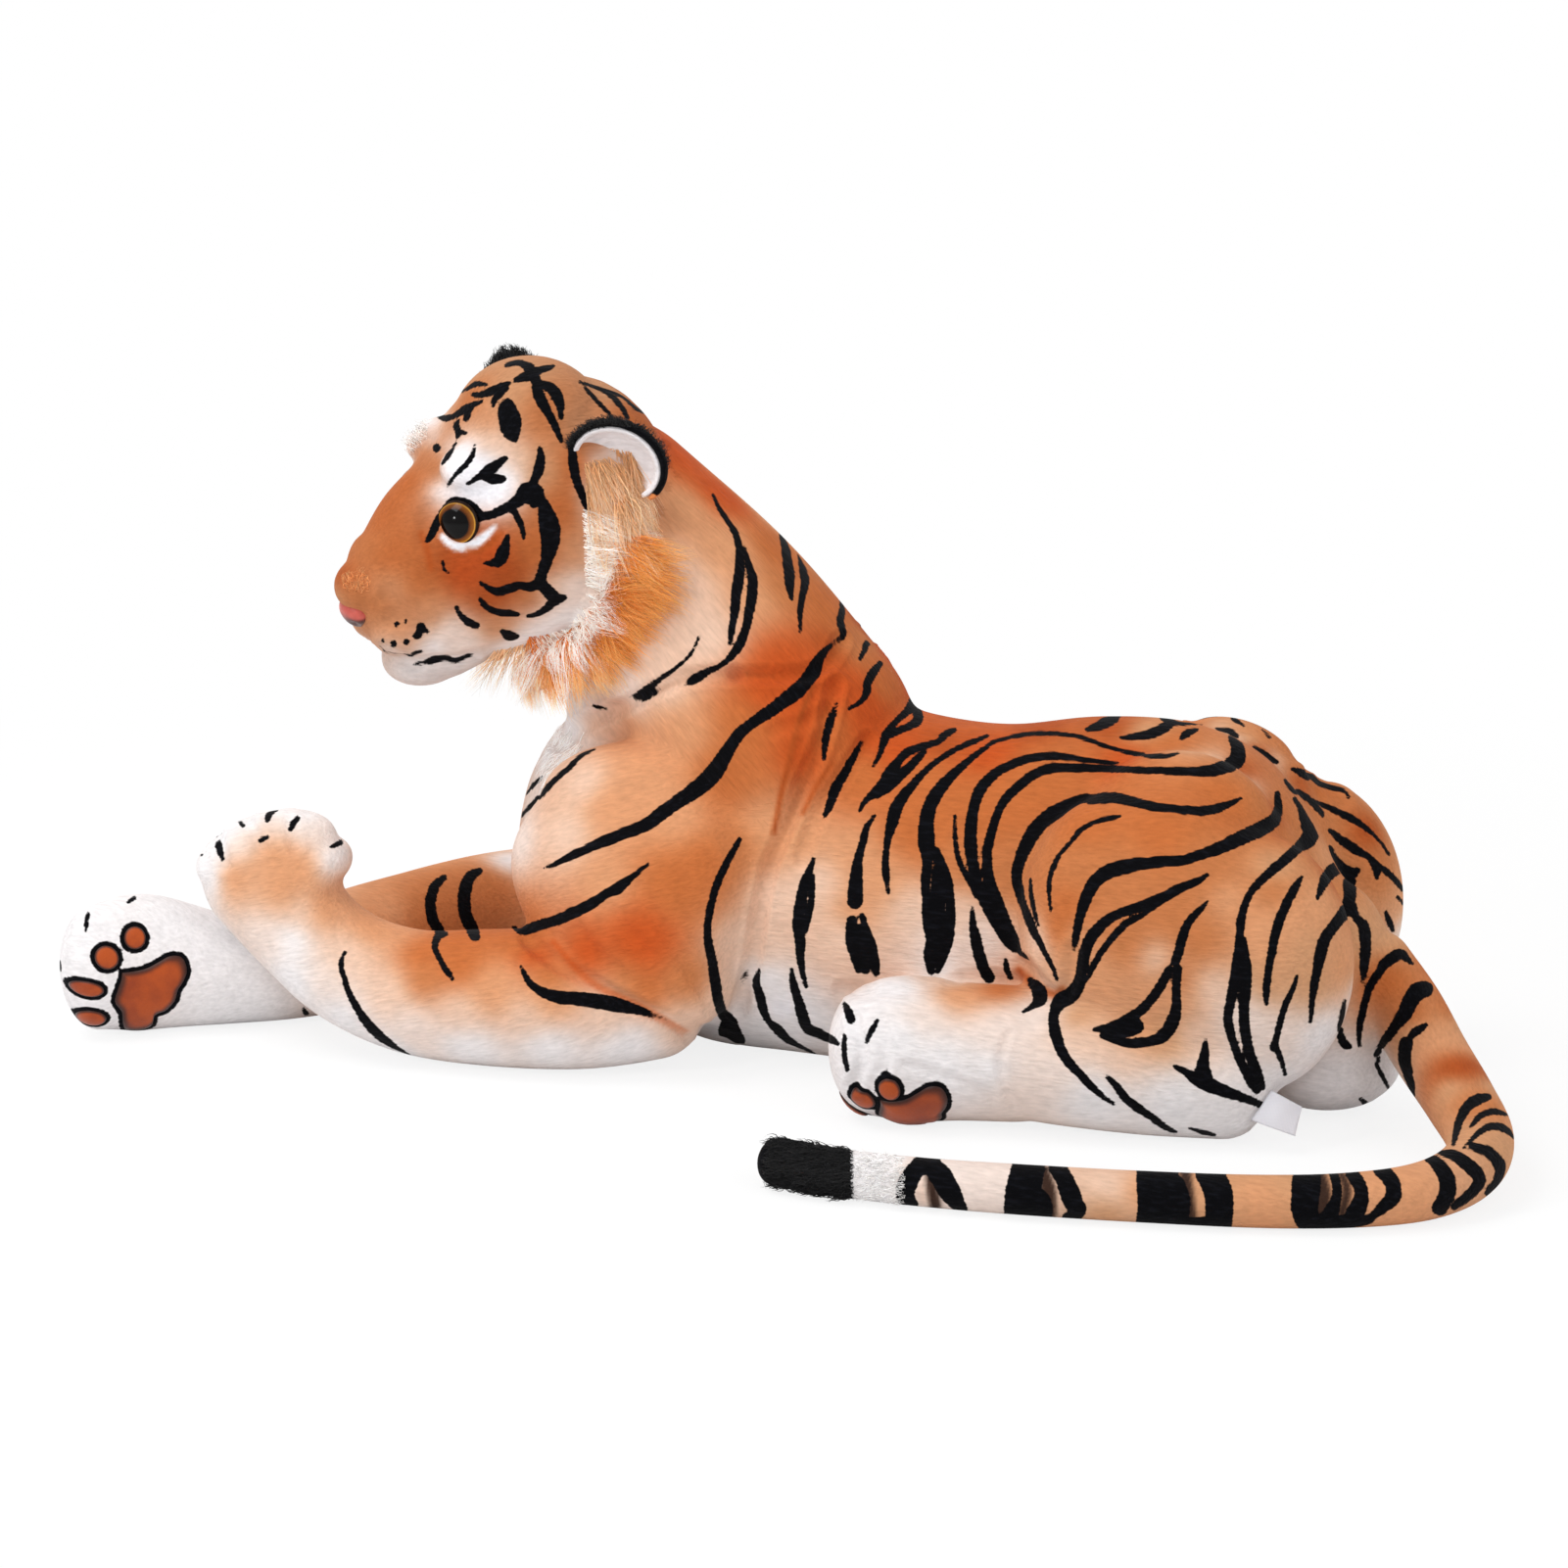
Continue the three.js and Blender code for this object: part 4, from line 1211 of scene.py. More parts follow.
    def part(self) -> dict[Region, Object]:
        """Cuts the skin into the lengths that move, which keep the whole's shading.

        Returns:
            The piece of each region.
        """
        rows = places(self.mesh)
        facing = normals(self.mesh)
        labels = self.split_labels(rows)
        corners = np.empty(len(self.mesh.loops), int)
        self.mesh.loops.foreach_get("vertex_index", corners)
        quads = corners.reshape(-1, 4)
        owner = np.sort(labels[quads], axis=1)[:, 1]
        stripes, tints = self.read("stripe", "value", 1)[:, 0], self.read("tint", "color", 4)
        pieces = {}
        for index, region in enumerate(self.order):
            mine = quads[owner == index]
            if not len(mine):
                continue
            used, inverse = np.unique(mine, return_inverse=True)
            mesh = fill_mesh(region.value, rows[used], inverse.reshape(-1, 4))
            number_attribute(mesh, "stripe", stripes[used])
            colour_attribute(mesh, "tint", tints[used])
            mesh.shade_smooth()
            mesh.normals_split_custom_set_from_vertices(facing[used].tolist())
            pieces[region] = linked(region.value, mesh)
        return pieces

    def read(self, name: str, kind: str, size: int) -> np.ndarray:
        """One of the skin's attributes as rows of so many numbers.

        Args:
            name: the attribute's name.
            kind: the name of its value.
            size: the numbers of a row.

        Returns:
            The rows.
        """
        layer = self.mesh.attributes[name]
        flat = np.empty(len(layer.data) * size, np.float32)
        layer.data.foreach_get(kind, flat)
        return flat.reshape(-1, size)

    def split_labels(self, rows: np.ndarray) -> np.ndarray:
        """The labels with the neck, the tail and the feet parted at their joints.

        Args:
            rows: the skin's points, in mm.

        Returns:
            The number of the region of each point.
        """
        labels = self.labels.copy()
        number = {region: i for i, region in enumerate(self.order)}
        upper = (labels == number[Region.NECK]) & (rows @ COLLAR_SEAM > self.collar_cut)
        labels[upper] = number[Region.COLLAR]
        tail = labels == number[Region.TAIL_ROOT]
        labels[tail & (rows[:, 1] < TAIL_BEND)] = number[Region.TAIL_MIDDLE]
        labels[tail & (rows[:, 0] < TAIL_END)] = number[Region.TAIL_TIP]
        for region in (Region.FOOT_LEFT, Region.FOOT_RIGHT):
            labels[(labels == number[region]) & (rows[:, 0] > ANKLE)] = number[Region.TORSO]
        return labels

    def add_lining(self, finish: Material) -> None:
        """The cloth under the seams, which shows only where a seam opens.

        Args:
            finish: the lining's material.
        """
        for name, body, tubes, inset in (
            ("torso_lining", "torso", [TORSO, thigh(-1), thigh(1)], self.lining),
            ("neck_lining", "neck", [NECK], self.lining * 2),
            ("tail_lining", "tail_root", [Tube(TAIL.stations[:5], (20, 15), around=32)], self.lining),
        ):
            bm = bmesh.new()
            for tube in tubes:
                tube.build(bm, None, inset)
            piece = mesh_of(bm, name)
            rows = places(piece.data)
            rows[:, 2] = np.maximum(rows[:, 2], 3)
            put_places(piece.data, rows)
            plain_cloth(piece, 214, 140, 88)
            dress(piece, finish)
            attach(piece, body)


# Paint


@dataclass(frozen=True)
class Sole:
    """Where a sole's pads lie, in mm; its name is its body's too."""

    name: str
    at: tuple[float, float, float]
    forward: tuple[float, float, float]
    out: tuple[float, float, float]
    hand: int
    shift: tuple[float, float] = (0.0, 0.0)
    toe_shift: tuple[float, float] = (0.0, 0.0)

    def axes(self) -> tuple[Vector, Vector, Vector]:
        """The directions forward, across and out.

        Returns:
            The three, each of length 1.
        """
        out = Vector(self.out).normalized()
        forward = Vector(self.forward)
        forward = (forward - out * forward.dot(out)).normalized()
        return forward, forward.cross(out) * self.hand, out


class Dye(Enum):
    """The colours of the pile, as they look on a screen. Most are the pile's own airbrushed colours; the
    crease brown and the chin's grey white are painted shade.
    """

    RUST = (190, 80, 32)
    EMBER = (170, 78, 33)
    SOOT = (58, 40, 32)
    # Painted shade: the dark brown laid in the folds at the neck and the shoulder.
    CREASE = (120, 58, 30)
    ORANGE = (190, 106, 56)
    AMBER = (192, 118, 71)
    PEACH = (212, 150, 108)
    SAND = (203, 150, 110)
    CREAM = (226, 191, 168)
    MILK = (231, 213, 203)
    WHITE = (233, 230, 231)
    SNOW = (238, 238, 244)
    # Painted shade: a greyer white for the underside of the chin.
    CHIN = (212, 204, 202)


SOLES = (
    Sole("foreleg_left", (-348.9, -112.1, 105.6), (-48.8, -3.5, 49.3), (0, 1, 0), -1),
    Sole(
        "foreleg_right", (-437.6, -111.9, 41.4), (-0.806, -0.591, 0.028), (0.591, -0.806, 0), 1,
        (4.5, 0.5), (4.5, 6.6),
    ),
    Sole("hind_left_foot", (56.7, -104.5, 42.1), (-1, 0, 0), (0, -1, -1), 1, (-10, 6), (-8, 0)),
    Sole("hind_right_foot", (56.7, 104.5, 42.1), (-1, 0, 0), (0, 1, -1), -1, (-10, 6), (-8, 0)),
)

SEEDS: dict[Dye, str] = {
    Dye.RUST: "800,690,20 826,725,22 845,700,16 885,735,20 920,770,14 690,460,16 735,505,16 470,585,14"
        " 500,562,12"
    " 655,962,16 600,972,10 1010,770,12 880,712,14 545,975,8 780,705,14 1150,775,10 815,770,12",
    Dye.EMBER: "520,586,12 500,610,10 455,575,10 1290,770,10 960,760,10 345,590,8 1060,745,10 1500,1090,10"
    " 1140,742,10 850,660,10 1330,800,8 1395,850,8",
    Dye.ORANGE: "430,590,18 400,570,16 545,560,14 590,480,16 575,520,14 850,740,16 740,790,24"
        " 760,740,18 690,900,18"
    " 940,840,18 1050,810,20 1110,840,20 1200,765,18 1250,820,16 1180,850,20 650,425,14 790,560,16"
    " 840,620,14 900,700,12 1000,830,16 720,880,16 1020,1010,10 1090,925,10 530,960,12 880,790,14"
    " 1415,1000,10 1440,1040,8 940,790,12 1300,850,10 470,960,18 470,985,14 390,500,8 660,1010,10"
    " 430,975,10 1080,950,8 560,1000,10 410,492,10 390,525,12",
    Dye.AMBER: "375,560,14 432,460,12 360,605,10 385,615,12 560,420,16 480,405,10 1150,890,20 1230,890,16"
    " 1100,880,16 1290,820,14 1350,830,14 1400,890,12 1190,930,16 430,940,14 1030,890,14 980,880,12"
    " 800,600,14 870,660,12 455,930,12 500,905,12 1320,770,12 540,605,8 750,860,16 1520,1130,10"
    " 1060,870,14 1150,960,16 1220,960,12 700,1000,12 640,1000,10 430,1000,12 1200,1000,10 1360,896,10"
    " 1300,905,10 1265,745,8 1290,752,8",
    Dye.PEACH: "400,600,16 440,620,14 500,430,10 585,430,14 590,560,12 505,640,10 395,640,10 740,560,20"
        " 700,520,16"
    " 770,610,14 700,750,20 660,790,22 620,820,16 690,830,20 780,840,18 820,860,14 380,945,16 330,925,14"
    " 1120,1000,16 980,1015,12 900,900,12 870,870,12 560,1020,14 500,1010,14 240,895,10 1430,930,10"
    " 1360,880,10 1480,1060,10 1190,1010,14 1160,1050,12 400,935,12 870,930,10 620,900,12 280,872,14"
    " 310,885,14 255,880,12 290,905,12 1160,1215,8 1410,1205,8 1440,1225,8 1480,1150,8 1251,917,10"
    " 1316,950,12 1373,983,10 1290,960,12 1100,965,10 1345,930,10 1290,1222,14 1275,1210,10 600,745,8"
    " 640,760,12",
    Dye.SAND: "345,605,8 1380,950,12 1300,890,10 1440,1050,8 1540,1170,10 640,560,14 1480,1110,8 1410,960,8"
    " 1240,740,12 520,400,14 555,480,12 620,400,12 540,380,12 1190,1060,10 1100,1040,10 1310,1205,12"
    " 1270,1200,10 1130,1235,10 1240,1235,10 1170,745,10 1294,1004,10 1340,1000,10 1330,965,10"
    " 1255,742,8 1278,752,8",
    # Its last seed, 280,852, gives the raised paw a darker cream than its white: painted shade.
    Dye.CREAM: "500,450,12 530,470,8 560,600,8 690,600,22 720,650,18 660,660,18 680,700,14 600,800,14"
        " 580,850,12"
    " 830,900,14 790,920,14 930,930,12 860,960,12 770,970,12 540,1040,12 470,1035,12 400,1015,12"
    " 350,975,14 310,930,10 1180,980,10 1240,1010,10 1100,1060,14 620,1035,12 700,1045,14 750,960,12"
    " 960,1000,10 980,940,12 1220,1060,8 1060,960,8 745,1010,12 930,1195,8 935,1220,10 600,520,8"
    " 1133,1215,12 1245,742,8 1140,1085,10 1262,752,8 1300,775,8 280,852,9",
    Dye.MILK: "590,600,12 460,640,10 480,655,10 640,700,14 570,780,10 545,820,10 530,860,10 1000,960,12"
    " 960,960,12 1270,1040,12 1080,1090,12 1040,1110,12 940,1040,12 330,1000,14 270,960,12 420,1050,14"
    " 1380,1010,8 1300,1060,12 620,690,10 250,870,12 280,848,8 310,852,8 1020,1060,14 1060,1040,12"
    " 560,670,10 1008,1205,12 1010,1225,8 330,850,12 1240,740,8",
    Dye.WHITE: "590,640,16 560,650,16 530,660,14 440,660,8 605,560,6 600,750,8 560,770,8 530,840,8 520,880,8"
    " 300,1000,16 230,960,16 240,1030,16 180,940,14 90,960,14 100,1040,14 60,990,12 170,1050,12"
    " 210,890,10 780,1000,14 820,1040,14 860,1050,14 790,1050,14 750,1055,14 900,1010,12 880,1080,16"
    " 920,1060,14 870,1120,14 960,1090,14 1010,1090,12 1200,1130,16 1260,1140,14 1300,1110,14"
    " 1120,1120,16 1370,1110,14 1400,1120,14 1350,1060,12 480,1070,16 560,1070,16 640,1070,16"
    " 400,1070,14 350,1040,14 710,1065,14 960,985,8 1450,1130,8 1460,1160,8 920,1010,10 300,960,10"
    " 203,872,8 215,852,8 240,837,8 265,830,8 290,829,8 318,832,8 340,848,8 350,872,8 895,1205,16"
    " 880,1190,12 915,1215,14 910,1190,12 608,472,6 603,485,5 630,462,6 650,462,6 598,500,6 236,845,10"
    " 258,838,10 222,860,12 580,735,10 590,720,10 530,665,10 575,760,8 228,855,8 300,838,8 335,880,10",
    Dye.SNOW: "465,475,12 480,500,12 495,475,10 505,505,10 520,490,8 475,455,8 428,452,6 420,440,5 450,500,6"
    " 455,460,5 800,1030,10",
    # The greyer white under the chin is painted shade.
    Dye.CHIN: "450,686,14 480,680,12 420,684,10 500,672,10 395,662,6",
}

# Soft marks, drawn over the seeds: dye, softness in mm and its lines. The white crescent under the eye and
# the dark smears in the tail's bands are airbrushed colour; the rest are painted crease shade along the
# folds.
MARKS: tuple[tuple[Dye, float, str], ...] = (
    (Dye.SNOW, 1.6, "452,548,5 462,556,7 475,558,9 488,553,9 498,545,6 505,538,3"),
    # Painted crease shade beside the muzzle.
    (Dye.EMBER, 2.5, "430,545,3 436,560,4 440,580,4"),
    (Dye.SOOT, 2.2, "1345,1195,12 1350,1220,16 1345,1243,14"),
    (Dye.SOOT, 2.2, "1368,1195,6 1375,1215,8 1370,1240,8"),
    (Dye.SOOT, 2.2, "1210,1196,10 1212,1220,12 1215,1245,12"),
    (Dye.SOOT, 2.2, "1066,1196,10 1070,1215,14 1072,1238,12"),
    (Dye.SOOT, 2.0, "950,1200,8 952,1215,10 955,1230,10"),
    # Painted crease shade from here to the end: at the shoulder, the neck, under the eye, the elbow and under
    # the thigh.
    (Dye.CREASE, 1.3, "853,700,1 838,760,2 818,805,3 805,838,3 788,878,2 778,915,1"),
    (Dye.CREASE, 1.2, "585,748,1 622,728,2 665,708,3 700,694,2 740,688,1 790,690,1"),
    (Dye.EMBER, 2.2, "478,562,3 490,562,4 503,553,5 512,545,3"),
    (Dye.RUST, 2.5, "565,962,2 600,1000,3 640,1022,4 665,1035,4 700,1055,3"),
    (Dye.EMBER, 2.0, "830,700,3 815,740,4 800,800,4 790,850,3"),
    (Dye.EMBER, 2.0, "850,780,2 835,800,3 820,830,2"),
    (Dye.EMBER, 3.0, "1040,990,4 1055,1005,6 1075,1015,6 1085,1010,4"),
)

# Black marks: x, y and full width in the picture's pixels, one line each. A backslash joins a long line's
# rows. Those of TWICE and TAIL_MARKS are on both sides.
TWICE = """
452,473,2 458,464,4 465,453,2
457,496,1.5 466,484,3 477,473,4 483,463,3 485,455,1
477,494,1.5 487,488,4 497,482,10 508,474,7 516,468,4
497,487,8 505,489,9 514,489,5
519,409,4 518,418,16 521,430,20 522,440,16 526,449,4
551,457,2 552,468,7 550,480,9 546,490,7
531,502,6 540,503,20 546,505,18 546,513,10
533,508,12 522,516,9 510,522,8 500,526,7 490,528,7 483,532,8
522,518,8 527,526,5 532,536,5 535,550,2
555,513,8 558,525,15 561,538,19 562,552,17 560,564,13 557,575,10 554,585,9 551,593,10
551,595,10 542,599,8 530,598,6 520,601,8 508,604,7 498,600,4 490,595,2
553,596,10 560,604,11 568,611,10 577,610,3
565,614,9 558,621,6 548,627,4 539,629,2
490,612,3 496,619,5 505,624,5 515,626,6 528,627,4
466,620,2 470,628,4 478,635,6 487,639,5
513,645,4 520,649,8 528,650,3
430,640,7 427,648,6 423,650,3
430,642,5 437,645,3
402,657,5 402,657.5,5
415,655,5 415,655.5,5
405,637,4 405,637.5,4
414,634,3 414,634.5,3
391,654,2.5 391,654.5,2.5
518,547,3 516,558,8 512,568,12 508,576,6
512,572,8 503,575,5 495,575,2
452,573,1.5 453,580,2 457,585,1.5
421,678,1.5 432,677,3 442,674,6 455,672,5 465,674,4 478,670,4 483,669,1.5
387,661,1.5 394,667,2 405,669,2 420,670,3
423,667,2 430,665,1.5
450,524,4 446,534,6 441,545,6 436,553,3
603,552,4 605,565,7 606,580,6 606,596,2
452,522,4 458,514,4 466,510,4 476,512,5 485,519,6 490,527,7
597,395,1.5 608,408,3 620,420,2.5 626,428,2
592,390,1.5 615,398,3 625,405,4 635,416,4 641,427,3
615,397,2 635,405,3 648,416,4 662,424,3 676,434,3 688,446,2
728,505,1.5 735,520,3 745,535,4 752,548,5 755,565,6 755,585,9 752,605,9 750,625,7 747,645,5 745,658,2
760,560,2 764,575,5 768,590,8 768,605,9 765,625,8 762,640,7 755,658,8 745,672,5 735,680,4 722,686,6 \
710,693,8 700,699,2
772,512,1.5 782,525,3 795,541,5 801,555,7 804,572,8 806,590,9 807,603,5 808,612,2
815,567,1.5 820,582,6 822,595,7 819,610,5 817,625,4 817,645,1.5
856,607,2 860,620,5 858,635,6 861,648,5 853,656,4 843,664,5 835,675,9 830,686,13 822,697,12 812,707,14 \
800,716,12 785,727,11 770,737,9 757,747,10 747,760,11 738,775,13 728,790,16 718,800,15 705,810,14 \
690,820,12 675,831,12 660,842,11 640,850,10 622,857,10 605,864,8 590,871,7 575,878,5 565,883,3 556,886,1
885,657,5 882,665,4 878,673,2
899,677,4 892,686,7 886,697,7 885,707,6 878,717,4 866,724,2
714,650,1 705,668,1.5 690,682,2.5 672,695,4 660,706,9 650,712,7 635,718,3 620,724,2.5 605,720,1.5
672,704,4 660,710,8 648,714,5
607,765,1.5 593,772,3 580,785,4 565,798,4 550,815,4 535,830,3 522,848,2 515,860,1.5
553,794,2 545,801,3 538,810,2
662,882,2 648,893,4 632,906,10 620,912,8 605,922,9 590,930,10 570,939,9 550,945,9 535,950,8 524,947,3
532,987,2 540,1002,5 552,1012,8 570,1018,11 590,1020,12 610,1022,13 630,1026,13 650,1031,8 668,1037,4 \
682,1043,2
755,857,3 748,870,5 740,885,6 733,900,6 727,920,6 723,940,6 723,960,7 727,980,8 730,1000,9 733,1020,9 \
738,1035,9 745,1043,12 745,1054,20 755,1062,10
853,720,4 848,735,7 843,755,6 841,775,3
880,758,3 870,775,6 862,790,7 853,805,9 848,820,7 842,833,3
352,972,2 348,985,4 352,1000,4 357,1015,5 367,1033,6 378,1048,8 393,1062,7 408,1072,4 418,1077,2
455,953,4 447,957,6 444,967,5 448,977,4 455,990,5 462,999,3
931,712,5 930,722,8 920,732,5 910,742,5 904,752,7 899,768,4 892,782,2
933,716,6 937,728,8 936,737,8 922,744,6 908,750,7
975,745,3 965,750,6 958,757,5 940,763,6 928,767,7 918,776,7 908,790,10 902,800,9 892,810,7 882,820,4 \
878,828,2
943,768,5 932,780,7 920,791,8 908,803,8 895,812,6
1008,751,2 995,757,4 980,763,4 960,775,4 945,787,5 933,800,7 923,812,9 915,825,11 911,840,10 907,855,6 \
905,870,5 904,885,6 905,897,5 907,912,2
1015,757,3 1000,768,4 985,780,6 972,792,8 960,805,11 950,822,12 946,840,13 946,860,15 947,880,9 \
945,900,8 946,920,8 947,940,9 950,960,8 950,975,12 951,992,6
955,870,8 962,885,9 967,900,9 970,920,8 970,940,9 968,960,9 962,978,8 957,992,4
1015,757,2 1040,751,3 1060,749,3 1090,750,3 1110,755,3 1130,762,3 1150,768,3 1170,771,4 1190,772,4 \
1203,769,1.5
893,833,2 885,845,5 881,860,6 876,880,8 874,900,12 873,920,14
870,940,9 869,960,10 873,975,9 877,990,6
880,935,5 885,950,6 890,965,8 893,982,8 895,994,5
831,877,2 826,890,6 821,905,9 817,925,10 815,945,10 817,960,9 817,975,7 819,990,5 823,1008,2
829,895,5 829,915,5 825,935,6 821,950,7
808,990,2 810,1005,6 815,1022,8 820,1038,10 825,1050,9 838,1056,8 850,1062,6 856,1066,2
775,990,2 772,1003,6 776,1018,8 780,1032,7 785,1043,5 795,1052,8 805,1062,6 820,1070,4 838,1079,2
766,985,2 760,1000,5 756,1012,2
862,1024,2 866,1033,7 869,1041,7
975,833,2 975,850,3 977,870,4 982,885,4 990,900,4 997,915,4
993,927,2 993,940,5 996,958,9 1000,975,10 1005,990,10 1010,998,10
1027,980,2 1028,990,5 1032,998,4
1141,779,1.5 1110,776,4 1090,773,5 1070,772,7 1050,775,7 1035,780,7 1020,787,8 1008,797,9 1000,808,10 \
995,822,9 992,840,10 991,860,11 993,880,10 997,900,10 1003,915,10 1010,930,9 1018,945,8 1027,960,7 \
1035,970,4
1258,753,6 1264,765,12 1262,777,14 1250,783,12 1235,787,10 1215,788,7 1190,787,6 1160,786,5 1130,785,6 \
1100,784,7 1080,784,8 1065,787,8 1052,793,8 1040,803,8 1030,812,8 1022,823,7 1016,838,7 1011,855,8 \
1008,870,8 1008,885,9 1010,900,10 1015,915,12 1021,930,12 1028,947,11 1035,960,9 1042,972,5 1050,982,2
1267,815,2 1255,821,5 1240,826,8 1225,828,8 1200,826,7 1180,824,7 1160,819,8 1140,815,9 1120,815,10 \
1100,819,11 1082,827,13 1068,836,13 1055,850,13 1047,865,12 1041,880,10 1038,895,9 1041,910,8 \
1045,925,7 1050,938,7 1055,950,7 1062,963,5 1068,975,4 1075,988,3 1079,1000,2
1144,834,2 1130,836,4 1115,841,3 1103,848,4 1093,860,3 1083,871,3 1076,884,4 1072,897,4 1071,912,3 \
1073,930,1.5
1052,898,1.5 1053,915,3 1056,930,3 1060,945,1.5
1304,810,4 1305,825,7 1301,837,11 1290,845,13 1275,852,13 1260,859,12 1245,866,11 1225,873,9 1205,879,9 \
1185,880,10 1165,882,11 1148,885,13 1132,890,13 1120,898,12 1112,910,11 1107,922,10 1103,935,8 \
1100,948,7 1098,960,5 1096,970,2
1233,893,2 1222,900,6 1205,907,8 1190,915,9 1175,922,10 1160,927,9 1145,932,8 1130,940,9 1118,952,10 \
1110,965,10 1106,980,10 1104,995,10 1100,1008,12 1092,1017,14 1083,1022,14 1077,1032,9 1076,1045,9 \
1079,1060,10 1085,1075,9 1093,1087,8 1104,1098,7 1115,1110,6 1127,1120,4 1137,1127,2
1185,922,3 1165,935,4 1150,943,6 1138,955,6 1126,970,5 1117,985,5 1110,1000,3
1233,921,2 1224,930,5 1214,941,7 1208,955,8 1204,970,8 1200,982,8
1194,990,7 1186,1005,8 1175,1021,8 1162,1034,9 1150,1042,10 1135,1049,9 1118,1051,3
1202,990,8 1201,1010,7 1201,1030,9 1196,1046,12 1188,1057,11 1175,1063,9 1155,1065,8 1140,1062,7 \
1125,1057,4
1160,1048,14 1145,1053,14 1130,1054,8
1322,816,3 1328,825,5 1333,838,10 1338,850,14 1335,858,14 1325,866,9 1312,878,9 1300,888,8 1288,899,7 \
1277,911,6 1271,925,6 1267,940,7 1266,955,7 1265,970,8 1263,985,9 1260,1005,9 1256,1025,8 1254,1042,8 \
1258,1060,7 1263,1075,7 1270,1090,8 1277,1103,9 1283,1112,8
1268,960,8 1270,975,9 1272,990,10 1272,1010,9 1270,1030,9 1271,1050,9 1274,1068,9 1279,1085,9 \
1285,1098,8 1288,1110,6
1329,896,2 1322,907,7 1314,922,8 1307,938,8 1302,955,8 1299,970,7 1296,985,6 1294,1000,6 1293,1012,6 \
1293,1025,3
1324,997,2 1320,1010,4 1313,1025,5 1308,1040,5 1305,1052,5 1302,1065,6 1300,1070,6
1303,1070,5 1308,1082,4 1312,1097,2
1345,917,3 1350,905,7 1355,895,10 1362,888,12
1358,865,3 1362,877,8 1368,888,14 1376,893,14 1386,889,4
1378,900,12 1378,915,11 1375,928,12 1368,938,10 1360,948,9 1352,960,10 1348,975,10 1345,990,8 \
1342,1005,7 1340,1020,5 1338,1043,2
1380,925,9 1385,937,7 1392,945,9 1394,958,10 1394,972,9 1393,985,8 1392,1003,2
1415,932,3 1419,942,5 1422,950,2
1200,1089,3 1213,1096,7 1225,1103,13 1240,1110,12 1258,1117,9 1275,1123,7 1292,1130,4
1231,1062,2 1230,1075,7 1228,1090,12 1230,1100,14
1131,1100,3 1141,1110,6 1150,1122,7 1163,1132,7 1175,1140,6 1187,1149,5 1200,1156,2
1215,1152,2 1228,1156,3 1240,1159,2
1052,1002,6 1060,1010,12 1062,1020,12 1055,1027,5 1045,1033,2
896,1042,2 890,1052,4 885,1064,2
862,1058,3 862,1075,4 865,1092,3
957,890,10 958,930,13 957,970,13
878,950,12 881,970,13 884,990,8
584,458,7 586,478,8 590,494,7 597,512,5 603,532,3
"""
ONCE = """
517,373,3 528,370,5 538,374,6
565,374,2 552,378,6 540,383,9 527,388,4
540,376,10 546,386,9 549,395,8
548,396,8 552,408,10 560,422,7 567,436,6 573,450,3
550,392,6 562,396,9 569,405,10 572,415,7 573,427,3
497,393,2 487,392,4 478,396,3 470,401,2
482,403,2 492,403,5 502,399,7 512,394,5 520,391,3
518,396,3 510,402,6 505,408,5 503,415,2
446,424,3 455,427,5 465,424,4 475,418,7 484,413,4 492,410,2
476,428,4 478,420,6
468,429,2 466,435,5 468,441,5 467,447,2
470,441,4 476,442,2
446,457,6 446,458,6
222,858,4 224,866,6 227,877,3
266,858,4 274,854,2.5
244,838,3 248,843,3
283,827,3 275,831,5 273,838,3
304,835,3 299,841,5 296,847,3
348,860,4 338,865,2
200,871,3 206,873,2
310,1031,2 313,1035,4
453,896,5 444,905,8 440,918,9 440,930,9 443,942,9 449,951,9
490,889,5 480,895,9 475,908,11 474,922,11 476,936,11 482,948,11 485,956,9
90,933,2.5 88,943,3 88,950,2
137,917,3 131,921,2
60,975,3 61,983,4 62,990,2
58,1023,4 64,1022,2
1280,763,2 1292,772,7 1303,778,3
1320,785,2 1335,792,8 1352,800,7 1372,808,3 1377,814,1.5
1313,797,3 1320,806,6 1335,815,5 1348,828,5 1350,833,2
1335,815,2 1355,824,4 1380,836,6 1395,846,4 1408,858,2 1418,872,2
1358,848,3 1370,858,7 1385,868,8 1398,876,5 1405,885,8 1406,896,3
1405,882,4 1418,892,5 1430,905,4 1438,918,2
1427,916,2 1434,925,2 1441,940,2 1444,950,1
1110,745,3 1122,741,8 1133,735,11 1140,731,8
1160,729,3 1170,731,6 1180,732,3
1183,731,3 1192,735,8 1200,738,5 1215,739,3 1227,739,1.5
1145,753,2 1160,752,6 1175,749,8 1187,744,9 1195,738,8
1205,755,2 1212,749,6 1222,745,2
1243,744,3 1255,746,5 1262,752,5
1250,728,3 1262,735,4 1270,741,2
1290,745,2 1296,752,3
1373,1022,2 1370,1040,5 1368,1055,6 1373,1066,7 1378,1068,4
1389,1122,2 1398,1130,6 1405,1137,5
1442,984,2 1432,975,8 1425,976,10 1415,983,9 1408,993,7 1400,1005,7 1395,1018,6 1391,1035,6 1388,1050,5 \
1388,1068,2
"""
